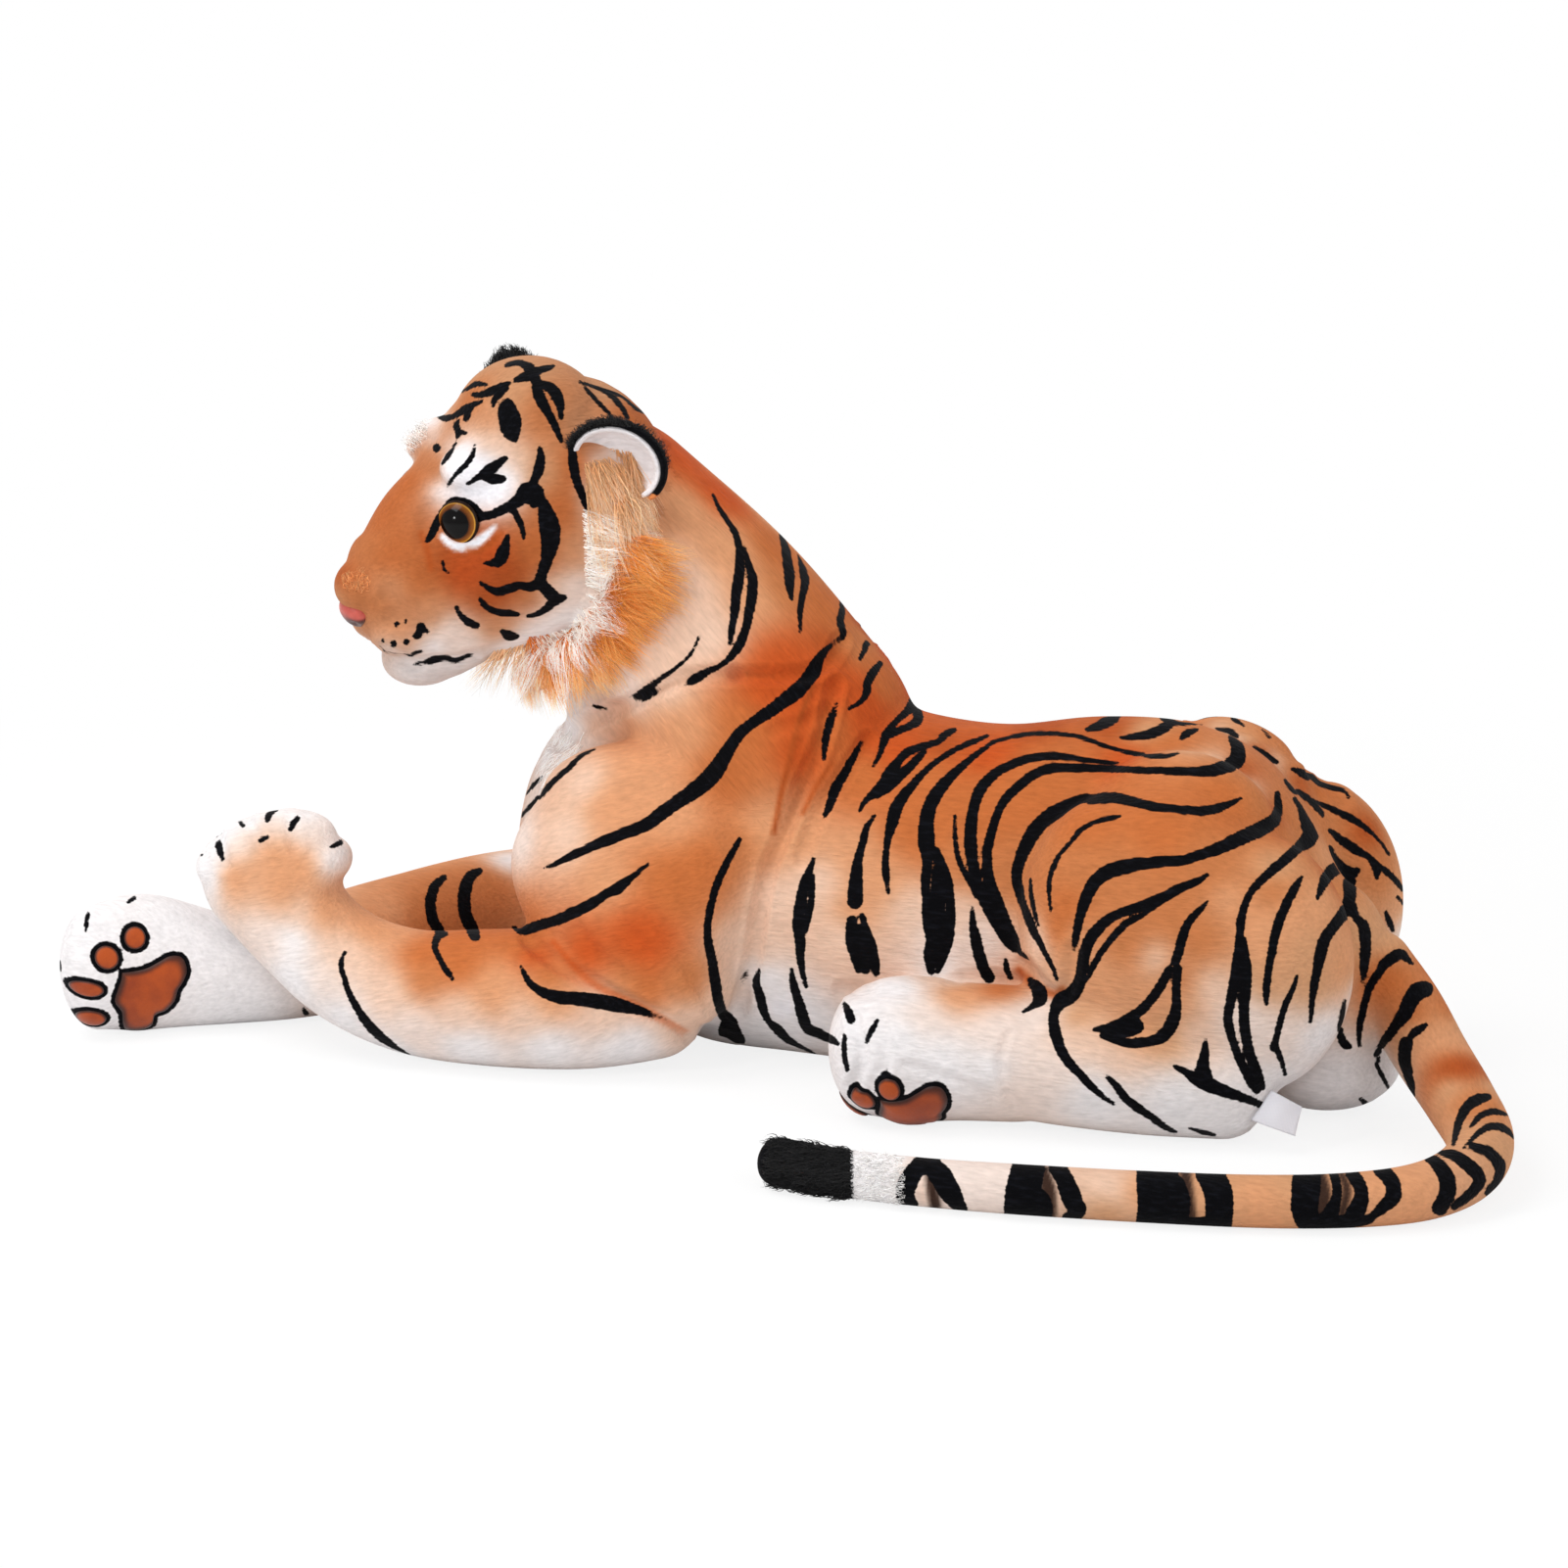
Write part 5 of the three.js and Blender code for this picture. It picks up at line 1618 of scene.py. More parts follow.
TAIL_MARKS = """
1455,1010,14 1448,1012,16 1440,1022,14 1434,1035,13 1425,1047,9 1418,1057,8 1412,1065,6 1405,1077,4
1455,1047,4 1446,1053,7 1440,1058,4
1436,1065,12 1434,1080,11 1437,1095,9 1440,1108,8 1443,1122,7 1448,1137,5 1456,1155,2
1408,1082,3 1406,1088,3 1412,1100,2.5 1420,1115,1.5
1520,1120,5 1508,1123,10 1498,1130,9 1491,1142,7 1487,1155,6 1484,1168,3
1540,1138,2 1525,1135,5 1512,1139,5 1502,1150,2
1547,1163,2 1540,1155,5 1528,1150,6 1515,1153,5 1503,1163,3 1495,1172,2
1503,1170,6 1517,1175,9 1527,1183,10 1532,1193,10 1530,1205,9 1520,1217,7
1470,1176,4 1485,1180,9 1497,1188,12 1508,1198,12 1510,1208,11 1500,1220,9 1485,1232,6
1450,1180,4 1462,1184,9 1472,1194,13 1478,1207,15 1477,1220,15 1470,1233,14
1335,1192,22 1334,1205,26 1333,1220,26 1332,1235,24 1334,1246,20
1338,1191,16 1362,1189,15 1395,1188,12
1338,1247,14 1362,1249,14 1398,1245,8
1355,1190,2 1362,1200,7 1365,1213,8 1364,1225,9 1358,1240,14 1350,1247,8
1370,1189,8 1380,1198,11 1388,1210,12 1390,1222,13 1385,1236,16 1378,1247,14
1385,1186,3 1400,1190,10 1414,1198,13 1422,1210,14 1422,1222,14 1412,1233,10 1400,1243,6
1180,1193,34 1182,1205,40 1178,1220,30 1180,1235,34 1184,1247,44
1200,1210,18 1206,1225,16 1204,1240,18
1185,1192,18 1215,1191,16 1242,1193,14
1188,1248,14 1215,1250,12 1245,1249,14
1222,1193,18 1235,1200,24 1243,1215,26 1245,1230,26 1245,1247,24
1050,1192,30 1047,1205,32 1045,1220,34 1050,1235,46
1052,1190,16 1070,1189,18 1086,1191,12
1056,1243,12 1080,1246,10 1100,1240,10
1080,1192,16 1087,1205,16 1093,1220,18 1100,1235,16
945,1188,20 935,1195,16 927,1208,18 924,1220,16 930,1232,14
950,1190,16 960,1200,20 967,1212,20 975,1225,16 983,1234,8
940,1189,16 952,1188,16
"""

# Folds and hollows pressed into the skin: depth, softness in mm, then lines of x, y, width
FOLDS: tuple[tuple[float, float, str], ...] = (
    (3.4, 3.2, "540,960,1 570,985,1 600,1000,1 635,1020,1 665,1035,1 700,1055,1"),
    (1.6, 3.0, "650,905,1 668,935,1 690,965,1 705,990,1 720,1015,1"),
    (1.3, 2.6, "620,925,1 632,940,1 645,955,1 660,975,1"),
    (1.3, 2.6, "590,950,1 610,975,1 640,1000,1"),
    (4.6, 3.4, "853,700,1 838,760,1 818,805,1 805,838,1 788,878,1 777,925,1 768,980,1 755,1030,1"),
    (2.4, 3.0, "885,757,1 862,790,1 842,820,1 828,850,1 818,880,1"),
    (3.4, 3.4, "750,690,1 775,690,1 800,690,1 830,686,1 848,672,1 858,655,1"),
    (1.5, 2.8, "790,745,1 820,738,1 850,722,1"),
    (1.4, 2.8, "840,700,1 830,725,1 822,760,1 812,800,1"),
    (2.6, 3.0, "1046,985,1 1060,1003,1 1082,1018,1 1092,1000,1 1096,970,1"),
    (4.2, 3.6, "572,758,1 600,738,1 622,728,1 650,714,1 680,700,1 710,691,1 750,688,1"),
    (1.6, 2.6, "1215,733,1 1250,738,1 1290,752,1 1340,785,1 1372,820,1"),
    (2.6, 2.8, "1395,1000,1 1385,1025,1 1378,1060,1"),
    (1.2, 1.6, "1030,1055,1 1022,1080,1 1024,1105,1 1032,1130,1"),
    (1.0, 1.8, "925,1088,1 955,1096,1 990,1110,1 1012,1122,1"),
    (2.2, 2.2, "872,1040,1 878,1062,1 880,1085,1 872,1108,1"),
    (1.4, 2.2, "900,1040,1 905,1065,1 903,1092,1"),
    (2.0, 2.2, "222,852,1 226,868,1 230,884,1"),
    (2.0, 2.2, "252,838,1 262,852,1 268,868,1"),
    (2.0, 2.2, "296,838,1 298,852,1 300,866,1"),
    (1.8, 2.0, "388,661,1 405,669,1 425,676,1 445,674,1 465,674,1 483,669,1"),
    (2.4, 5.0, "440,520,1 436,535,1 434,550,1"),
    (1.5, 4.0, "505,545,1 490,560,1 465,568,1 448,560,1"),
    (1.4, 4.0, "395,608,1 410,620,1 430,636,1"),
    (1.4, 3.0, "700,1040,1 720,1052,1 740,1060,1"),
    (1.6, 3.0, "860,1010,1 900,1012,1 950,1005,1"),
    (1.2, 3.0, "965,1005,1 1000,998,1 1035,1000,1"),
)


@dataclass
class Painter:
    """Lays the drawn lines and dyes on the skin, and mirrors them where the viewpoint can't see."""

    skin: Skin
    view: View = View()
    spacing: float = 1.6
    reach: float = 9.0
    hold: float = 0.42
    thinnest: float = 0.85
    widen: float = 1.06
    bleed: float = 0.4
    fold_softness: float = 1.35
    fold_fade: float = 2.5
    swell_share: float = 0.35
    swell_at: float = 1.9
    head_deepening: float = 0.11
    sole_reach: float = 75.0
    sole_depth: tuple[float, float] = (-40.0, 48.0)
    blend_rounds: int = 24
    tip_from: float = 868.0

    def __post_init__(self) -> None:
        """Reads the skin's points and mirrors them, each region in its own way."""
        self.rows = places(self.skin.mesh)
        self.facing = normals(self.skin.mesh)
        self.twins = self.mirrored(self.rows, self.skin.split_labels(self.rows))
        eye = self.view.eye()
        seen = ((eye - self.rows) * self.facing).sum(axis=1) > 0
        log.info("twins found")
        over = np.flatnonzero(seen & (self.rows[:, 1] > -25))
        for i in over:
            spot = Vector((self.rows[i] + self.facing[i] * 1.5) * MM)
            if self.skin.tree.ray_cast(spot, Vector(unit(eye - self.rows[i])), 2.0)[0] is not None:
                seen[i] = False
        self.seen = seen

    def mirrored(self, rows: np.ndarray, labels: np.ndarray) -> np.ndarray:
        """Each point's twin on the other side: of the head, of the tail's middle line or of the body.

        Args:
            rows: the points, in mm.
            labels: the number of the region of each.

        Returns:
            Their twins.
        """
        twins = rows * np.array([1, -1, 1])
        order = self.skin.order
        head = labels == order.index(Region.HEAD)
        twins[head] = across_head(rows[head])
        tails = [order.index(r) for r in (Region.TAIL_ROOT, Region.TAIL_MIDDLE, Region.TAIL_TIP)]
        tail = np.flatnonzero(np.isin(labels, tails))
        line = spline(np.array(TAIL_ROWS)[:, :3], 2.0)
        along = unit(np.gradient(line, axis=0))
        side = unit(np.cross(along, [0, 0, 1]))
        for block in np.array_split(tail, max(1, len(tail) // 4000)):
            near = np.linalg.norm(rows[block][:, None] - line[None], axis=2).argmin(axis=1)
            off = ((rows[block] - line[near]) * side[near]).sum(axis=1, keepdims=True)
            twins[block] = rows[block] - 2 * off * side[near]
        return twins

    def cast(self, pixels: np.ndarray) -> np.ndarray:
        """Where the pixels' rays meet the skin, in mm; rows of nan where they miss.

        Args:
            pixels: x and y of each pixel.

        Returns:
            X, y and z of each place.
        """
        eye = Vector(self.view.eye() * MM)
        hits = [self.skin.tree.ray_cast(eye, Vector(ray))[0] for ray in self.view.rays(pixels)]
        return np.array([tuple(hit) if hit else (np.nan,) * 3 for hit in hits]) / MM

    def project(self, rows: np.ndarray) -> np.ndarray:
        """Points in mm as pixels.

        Args:
            rows: the points.

        Returns:
            X and y of each pixel.
        """
        right, up, back = self.view.axes()
        away = rows - self.view.eye()
        scale = self.view.distance / self.view.pixel / -(away @ back)
        middle = self.view.size / 2
        return np.stack([middle + away @ right * scale, middle - away @ up * scale], axis=1)

    def distances(self, text: str, twice: bool) -> np.ndarray:
        """The signed distance from each point to the nearest drawn line's edge, in mm.

        Args:
            text: the lines, one to a row.
            twice: whether hidden points take the line from their twins.

        Returns:
            One distance per point, at most the reach.
        """
        best = np.full(len(self.rows), self.reach)
        sets = [(self.rows, np.arange(len(self.rows)))]
        if twice:
            hidden = np.flatnonzero(~self.seen)
            sets.append((self.twins[hidden], hidden))
        flat = [self.project(rows) for rows, _ in sets]
        for words in text.strip().splitlines():
            line = spline(read_line(words), self.spacing)
            hits = self.cast(line[:, :2])
            good = ~np.isnan(hits[:, 0])
            line, hits = line[good], hits[good]
            if not len(line):
                continue
            half = np.maximum(line[:, 2] * self.view.pixel / 2 * self.widen + self.bleed, self.thinnest)
            margin = self.reach + half.max()
            low, high = hits.min(axis=0) - 2.4 * margin, hits.max(axis=0) + 2.4 * margin
            flat_low = line[:, :2].min(axis=0) - margin / self.view.pixel
            flat_high = line[:, :2].max(axis=0) + margin / self.view.pixel
            for (rows, index), pixels in zip(sets, flat):
                near = ((pixels > flat_low) & (pixels < flat_high)).all(axis=1)
                near = np.flatnonzero(near)
                near = near[((rows[near] > low) & (rows[near] < high)).all(axis=1)]
                for block in np.array_split(near, max(1, len(near) // 3000)):
                    two = np.linalg.norm(pixels[block][:, None] - line[None, :, :2], axis=2) * self.view.pixel
                    three = np.linalg.norm(rows[block][:, None] - hits[None], axis=2) * self.hold
                    away = (np.maximum(two, three) - half[None]).min(axis=1)
                    best[index[block]] = np.minimum(best[index[block]], away)
        return best

    def blur(self, values: np.ndarray, rounds: int) -> np.ndarray:
        """Values of the points, each averaged with its neighbours so many times.

        Args:
            values: a row for each point.
            rounds: how many times.

        Returns:
            The blurred rows.
        """
        pairs = np.empty(len(self.skin.mesh.edges) * 2, int)
        self.skin.mesh.edges.foreach_get("vertices", pairs)
        a, b = pairs.reshape(-1, 2).T
        size = len(values)
        count = np.bincount(a, minlength=size) + np.bincount(b, minlength=size)

        def gathered(column: np.ndarray) -> np.ndarray:
            """The sum of each point's neighbours."""
            return np.bincount(a, column[b], size) + np.bincount(b, column[a], size)

        for _ in range(rounds):
            near = np.stack([gathered(column) for column in values.T], axis=1)
            values = 0.4 * values + 0.6 * near / np.maximum(count, 1)[:, None]
        return values

    def press(self) -> None:
        """Presses the folds into the skin."""
        sink = np.zeros(len(self.rows))
        for depth, narrow, text in FOLDS:
            soft = narrow * self.fold_softness
            away = np.maximum(self.distances(text, True), 0)
            fade = smooth_step(self.reach, self.reach - self.fold_fade, away)
            swell = self.swell_share * depth * np.exp(-(((away - self.swell_at * soft) / soft) ** 2))
            sink += (depth * np.exp(-((away / soft) ** 2)) - swell) * fade
        self.rows = self.rows - self.facing * sink[:, None]
        self.rows[:, 2] = np.maximum(self.rows[:, 2], FLOOR)
        put_places(self.skin.mesh, self.rows)

    def dye(self) -> np.ndarray:
        """The colour of each point, with the painted crease shade and the painted shade under the chin laid
        in.

        Returns:
            A colour in the shader's own numbers for each point.
        """
        spots, colours, radii = [], [], []
        for dye, text in SEEDS.items():
            seeds = read_line(text)
            hits = self.cast(seeds[:, :2])
            for hit, seed in zip(hits, seeds):
                if np.isnan(hit[0]):
                    continue
                spots.append(hit)
                colours.append(dye.value)
                radii.append(seed[2] * self.view.pixel)
        spots, colours, radii = np.array(spots), np.array(colours, float), np.array(radii)
        total = np.zeros((len(self.rows), 3))
        for block in np.array_split(np.arange(len(self.rows)), 60):
            sums, weights = np.zeros((len(block), 3)), np.zeros((len(block), 1))
            for rows in (self.rows[block], self.twins[block]):
                away = ((rows[:, None] - spots[None]) ** 2).sum(axis=2) / radii[None] ** 2
                weight = 1 / (away + 0.5) ** 2
                sums += weight @ colours
                weights += weight.sum(axis=1, keepdims=True)
            total[block] = sums / weights
        total = self.blur(total, self.blend_rounds)
        warm = (total[:, 0] - total[:, 2]) / 90
        head = np.isin(self.skin.labels, [self.skin.order.index(Region.HEAD)])
        deeper = self.head_deepening * np.clip(warm[head], 0, 1)[:, None]
        total[head] *= 1 - deeper * np.array([0.8, 1, 1.1])
        # The marks, most of them painted crease shade, are laid over the blended dyes.
        for dye, soft, text in MARKS:
            share = 1 - smooth_step(-soft, soft, self.distances(text, True))
            total += (np.array(dye.value) - total) * share[:, None]
        return linear(total)

    def pad_rims(self, width: float = 2.6) -> np.ndarray:
        """The distance from the dark rims round the soles' pads.

        Args:
            width: half the rim's width, in mm.

        Returns:
            One distance per point, at most the reach.
        """
        best = np.full(len(self.rows), self.reach)
        for sole in SOLES:
            forward, across, out = (np.array(axis) for axis in sole.axes())
            away = self.rows - np.array(sole.at)
            inner, outer = self.sole_depth
            close = np.linalg.norm(away, axis=1) < self.sole_reach
            close &= (away @ out > inner) & (away @ out < outer)
            near = np.flatnonzero(close & (self.facing @ out > 0.1))
            flat = np.stack([away[near] @ forward, away[near] @ across], axis=1)
            for outline in Pads(sole, self.skin).outlines():
                gap = np.linalg.norm(flat[:, None] - outline[None], axis=2).min(axis=1) - width
                best[near] = np.minimum(best[near], gap)
        return best

    def paint(self) -> None:
        """Stores the stripes and the dyes on the skin."""
        stripes = self.distances(TWICE, True)
        stripes = np.minimum(stripes, self.distances(ONCE, False))
        stripes = np.minimum(stripes, self.distances(TAIL_MARKS, True))
        tail = np.isin(self.skin.labels, [self.skin.order.index(Region.TAIL_ROOT)])
        tip = (self.project(self.rows)[:, 0] - self.tip_from) * self.view.pixel
        stripes = np.where(tail, np.minimum(stripes, tip), stripes)
        stripes = np.minimum(stripes, self.pad_rims())
        number_attribute(self.skin.mesh, "stripe", stripes)
        colour_attribute(self.skin.mesh, "tint", self.dye())


def fill_mesh(name: str, rows: np.ndarray, faces: np.ndarray) -> Mesh:
    """A mesh from rows in mm and faces with the same count of corners each.

    Args:
        name: the mesh's name.
        rows: the points.
        faces: the corners of each face.

    Returns:
        The mesh.
    """
    mesh = bpy.data.meshes.new(name)
    count, corners = faces.shape
    mesh.vertices.add(len(rows))
    mesh.vertices.foreach_set("co", (rows * MM).ravel())
    mesh.loops.add(count * corners)
    mesh.loops.foreach_set("vertex_index", faces.ravel())
    mesh.polygons.add(count)
    mesh.polygons.foreach_set("loop_start", np.arange(count) * corners)
    mesh.update(calc_edges=True)
    mesh.validate()
    return mesh


@dataclass
class Body:
    """The skin's moving lengths with their finish."""

    skin: Skin
    bends: dict[Region, tuple] = field(
        default_factory=lambda: {
            Region.NECK: ("torso", "neck", tuple(COLLAR_SEAM * 260), tuple(COLLAR_SEAM * 293)),
            Region.COLLAR: ("neck", "head", tuple(HEAD_SEAM * 296), tuple(HEAD_SEAM * 325)),
            Region.ARM_LEFT: ("torso", "foreleg_left", (-199.7, -69.4, 120.6), (-259.9, -93, 104.8)),
            Region.ARM_RIGHT: ("torso", "foreleg_right", (-187.6, 81.9, 68.2), (-252.2, 85.5, 54.3)),
            Region.FOOT_LEFT: ("torso", "hind_left_foot", (ANKLE, -94.4, 43.7), (98, -94.4, 43.7)),
            Region.FOOT_RIGHT: ("torso", "hind_right_foot", (ANKLE, 94.4, 43.7), (98, 94.4, 43.7)),
            Region.TAIL_ROOT: ("torso", "tail_root", (306, 0, 88), (334, -10, 64)),
            Region.TAIL_MIDDLE: ("tail_root", "tail_middle", (387.5, TAIL_BEND, 25.4), (386.9, -130, 21)),
            Region.TAIL_TIP: ("tail_middle", "tail_tip", (TAIL_END, -229.7, 15.5), (133, -233, 15.5)),
        }
    )
    combs: dict[Region, tuple[float, float, float]] = field(
        default_factory=lambda: {
            Region.HEAD: (0.0, 0.0, -0.83),
            Region.NECK: (0.0, -0.83, 0.0),
            Region.COLLAR: (0.0, -0.83, 0.0),
            Region.ARM_LEFT: (0.0, 0.3, 0.0),
            Region.TAIL_ROOT: (0.0, 0.0, 1.1),
        }
    )

    def stands_for(self, region: Region) -> tuple[str, ...]:
        """The solids' lengths that a region's skin takes the place of.

        Args:
            region: the region.

        Returns:
            The lengths' names.
        """
        own = region.value.removesuffix("_skin")
        others = {Region.TORSO: (own, "hind_left_leg", "hind_right_leg"), Region.COLLAR: ()}
        return others.get(region, (own,))

    def build(self) -> dict[Region, Object]:
        """Parts the skin and dresses each length, and ties the torso's and the head's lengths to their
        bodies.

        Returns:
            The piece of each region.
        """
        pieces = self.skin.part()
        for region, piece in pieces.items():
            finish = PlushFinish(region.value, comb=self.combs.get(region, (0.0, 0.0, 0.0)))
            piece.data.materials.append(finish.build())
            names = self.stands_for(region)
            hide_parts(*(f"{name}_{kind}" for name in names for kind in ("cover", "stuffing")))
            if region in self.bends:
                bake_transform(piece)
            else:
                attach(piece, {Region.TORSO: "torso", Region.HEAD: "head"}[region])
            log.info("skin %s: %d faces", region.value, len(piece.data.polygons))
        return pieces


# Eyes and nose


@dataclass
class Eye:
    """A moulded safety eye on the head."""

    side: str
    front: tuple[float, float, float]
    gaze: tuple[float, float, float]
    radius: float = 13.1
    rise: float = 7.0

    def build(self, finish: Material) -> None:
        """Spins the dome and paints its distance from the middle.

        Args:
            finish: its material.
        """
        ball = (self.radius**2 + self.rise**2) / (2 * self.rise)
        widest = math.asin(self.radius / ball)
        bm = bmesh.new()
        path = [
            bm.verts.new((ball * math.sin(t * widest), 0, ball * math.cos(t * widest) - ball))
            for t in np.linspace(0, 1, 25)
        ]
        path += [bm.verts.new((self.radius, 0, path[-1].co.z - 2)), bm.verts.new((0, 0, path[-1].co.z - 2))]
        edges = [bm.edges.new(pair) for pair in zip(path, path[1:])]
        bmesh.ops.spin(
            bm, geom=path + edges, cent=(0, 0, 0), axis=(0, 0, 1), angle=math.tau, steps=64, use_merge=True
        )
        bmesh.ops.remove_doubles(bm, verts=bm.verts, dist=0.001)
        bmesh.ops.recalc_face_normals(bm, faces=bm.faces)
        gaze = Vector(self.gaze).normalized()
        turn = gaze.to_track_quat("Z", "Y").to_matrix().to_4x4()
        seat = Matrix.Scale(MM, 4) @ Matrix.Translation(self.front) @ turn
        bmesh.ops.transform(bm, matrix=seat, verts=bm.verts)
        eye = mesh_of(bm, f"eye_{self.side}_dome")
        away = places(eye.data) - np.array(self.front)
        along = away @ np.array(gaze)
        flat = away - along[:, None] * np.array(gaze)
        number_attribute(eye.data, "radius", np.linalg.norm(flat, axis=1) / self.radius)
        # drop is the height across the eye, which the finish turns into the painted shade on the iris's upper
        # part.
        number_attribute(eye.data, "drop", flat[:, 2] / self.radius)
        dress(eye, finish)
        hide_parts(f"eye_{self.side}")
        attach(eye, "head")


@dataclass
class Nose:
    """The flocked nose, wide at the top and drawn in below."""

    centre: tuple[float, float, float] = (127.5, 0.0, -41.0)
    halfs: tuple[float, float, float] = (8.0, 13.5, 11.5)
    tilt: float = 40.0

    def build(self, finish: Material) -> None:
        """Shapes a ball into the nose and seats it.

        Args:
            finish: its material.
        """
        bm = bmesh.new()
        bmesh.ops.create_uvsphere(bm, u_segments=40, v_segments=24, radius=1.0)
        for vertex in bm.verts:
            x, y, z = vertex.co
            narrow = 1 - 0.55 * smooth_step(0.25, -1.0, z) if z < 0.25 else 1.0
            nostril = math.exp(-(((abs(y) - 0.52) / 0.2) ** 2 + ((z + 0.12) / 0.26) ** 2)) * max(x, 0)
            vertex.co = (x - 0.28 * nostril, y * float(narrow), z * 0.94 + 0.06 * (1 - y * y))
        bmesh.ops.transform(
            bm,
            matrix=Matrix.Scale(MM, 4)
            @ HEAD_PLACE
            @ Matrix.Translation(self.centre)
            @ Matrix.Rotation(math.radians(self.tilt), 4, "Y")
            @ Matrix.Diagonal((*self.halfs, 1.0)),
            verts=bm.verts,
        )
        nose = mesh_of(bm, "nose_button")
        under = np.array(HEAD_PLACE.inverted().to_3x3()) @ normals(nose.data).T
        # The rim attribute darkens the nose where its surface faces down.
        number_attribute(nose.data, "rim", 0.45 + 0.2 * smooth_step(0.1, -0.7, under[2]))
        dress(nose, finish)
        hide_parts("nose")
        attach(nose, "head")


# Ears


@dataclass
class Ear:
    """A cupped ear: an outer shell and the lining in its bowl."""

    side: str
    base: tuple[float, float, float]
    half: tuple[float, float, float] = (31.0, 27.0, 16.0)
    layer: float = 3.5
    raised: float = 9.5

    def axes(self) -> tuple[Vector, Vector, Vector]:
        """The directions across, up and facing.

        Returns:
            The three, each of length 1.
        """
        sign = 1 if self.side == "left" else -1
        turn, lift = math.radians(52), math.radians(30)
        facing = HEAD_TURN @ Vector((math.cos(turn), sign * math.sin(turn), 0))
        lifted = HEAD_TURN @ Vector((0, sign * math.sin(lift), math.cos(lift)))
        across = lifted.cross(facing).normalized()
        return across, facing.cross(across), facing

    def frame(self) -> Matrix:
        """The ear's own frame: x across, y up and z facing, in mm.

        Returns:
            The matrix.
        """
        across, up, facing = self.axes()
        spot = Vector(self.base) + up * self.raised
        return Matrix.Translation(spot) @ Matrix([across, up, facing]).transposed().to_4x4()

    def shell(self, name: str, shrink: float, front: float) -> Object:
        """A bowl cut from a ball, open to the front.

        Args:
            name: the piece's name.
            shrink: how much smaller than the ear it is, in mm.
            front: where the bowl is cut, in mm.

        Returns:
            The piece.
        """
        bm = bmesh.new()
        size = [h - shrink for h in self.half]
        bmesh.ops.create_uvsphere(
            bm, u_segments=72, v_segments=48, radius=1.0, matrix=Matrix.Diagonal((*size, 1.0))
        )
        for place, way in (((0, 0, front), (0, 0, 1)), ((0, -13, 0), (0, -1, 0))):
            geom = bm.verts[:] + bm.edges[:] + bm.faces[:]
            bmesh.ops.bisect_plane(bm, geom=geom, plane_co=place, plane_no=way, clear_outer=True)
        bmesh.ops.solidify(bm, geom=bm.faces[:], thickness=3.2)
        bmesh.ops.recalc_face_normals(bm, faces=bm.faces)
        relax(bm, bm.verts, 2)
        bmesh.ops.transform(bm, matrix=Matrix.Scale(MM, 4) @ self.frame(), verts=bm.verts)
        return mesh_of(bm, name)

    def build(self, finish: Material) -> list[Object]:
        """Makes the shell and the lining, and paints them.

        Args:
            finish: its material.

        Returns:
            The shell and the lining.
        """
        shell = self.shell(f"ear_{self.side}_shell", 0.0, 4.5)
        lining = self.shell(f"ear_{self.side}_bowl", self.layer, 4.2)
        for piece, kind, slot in ((shell, "back", Cloth.ORANGE), (lining, "lining", Cloth.WHITE)):
            rows = places(piece.data)
            local = np.array([tuple(self.frame().inverted() @ Vector(row)) for row in rows])
            edge = smooth_step(0.15, 0.3, np.hypot(local[:, 0] / 31, (local[:, 1] + 4) / 27))
            tan = np.array(srgb(176, 129, 91))
            white = np.array(srgb(228, 224, 226))
            if kind == "back":
                number_attribute(piece.data, "stripe", -local[:, 1] - 8.0)
                tints = np.tile(np.array(srgb(213, 132, 79)), (len(rows), 1))
            else:
                number_attribute(piece.data, "stripe", np.full(len(rows), NO_STRIPE))
                tints = tan + (white - tan) * edge[:, None]
            colour_attribute(piece.data, "tint", tints)
            dress(piece, finish)
            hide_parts(f"ear_{self.side}_{kind}")
            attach(piece, f"ear_{self.side}")
        return [shell, lining]


# Pads


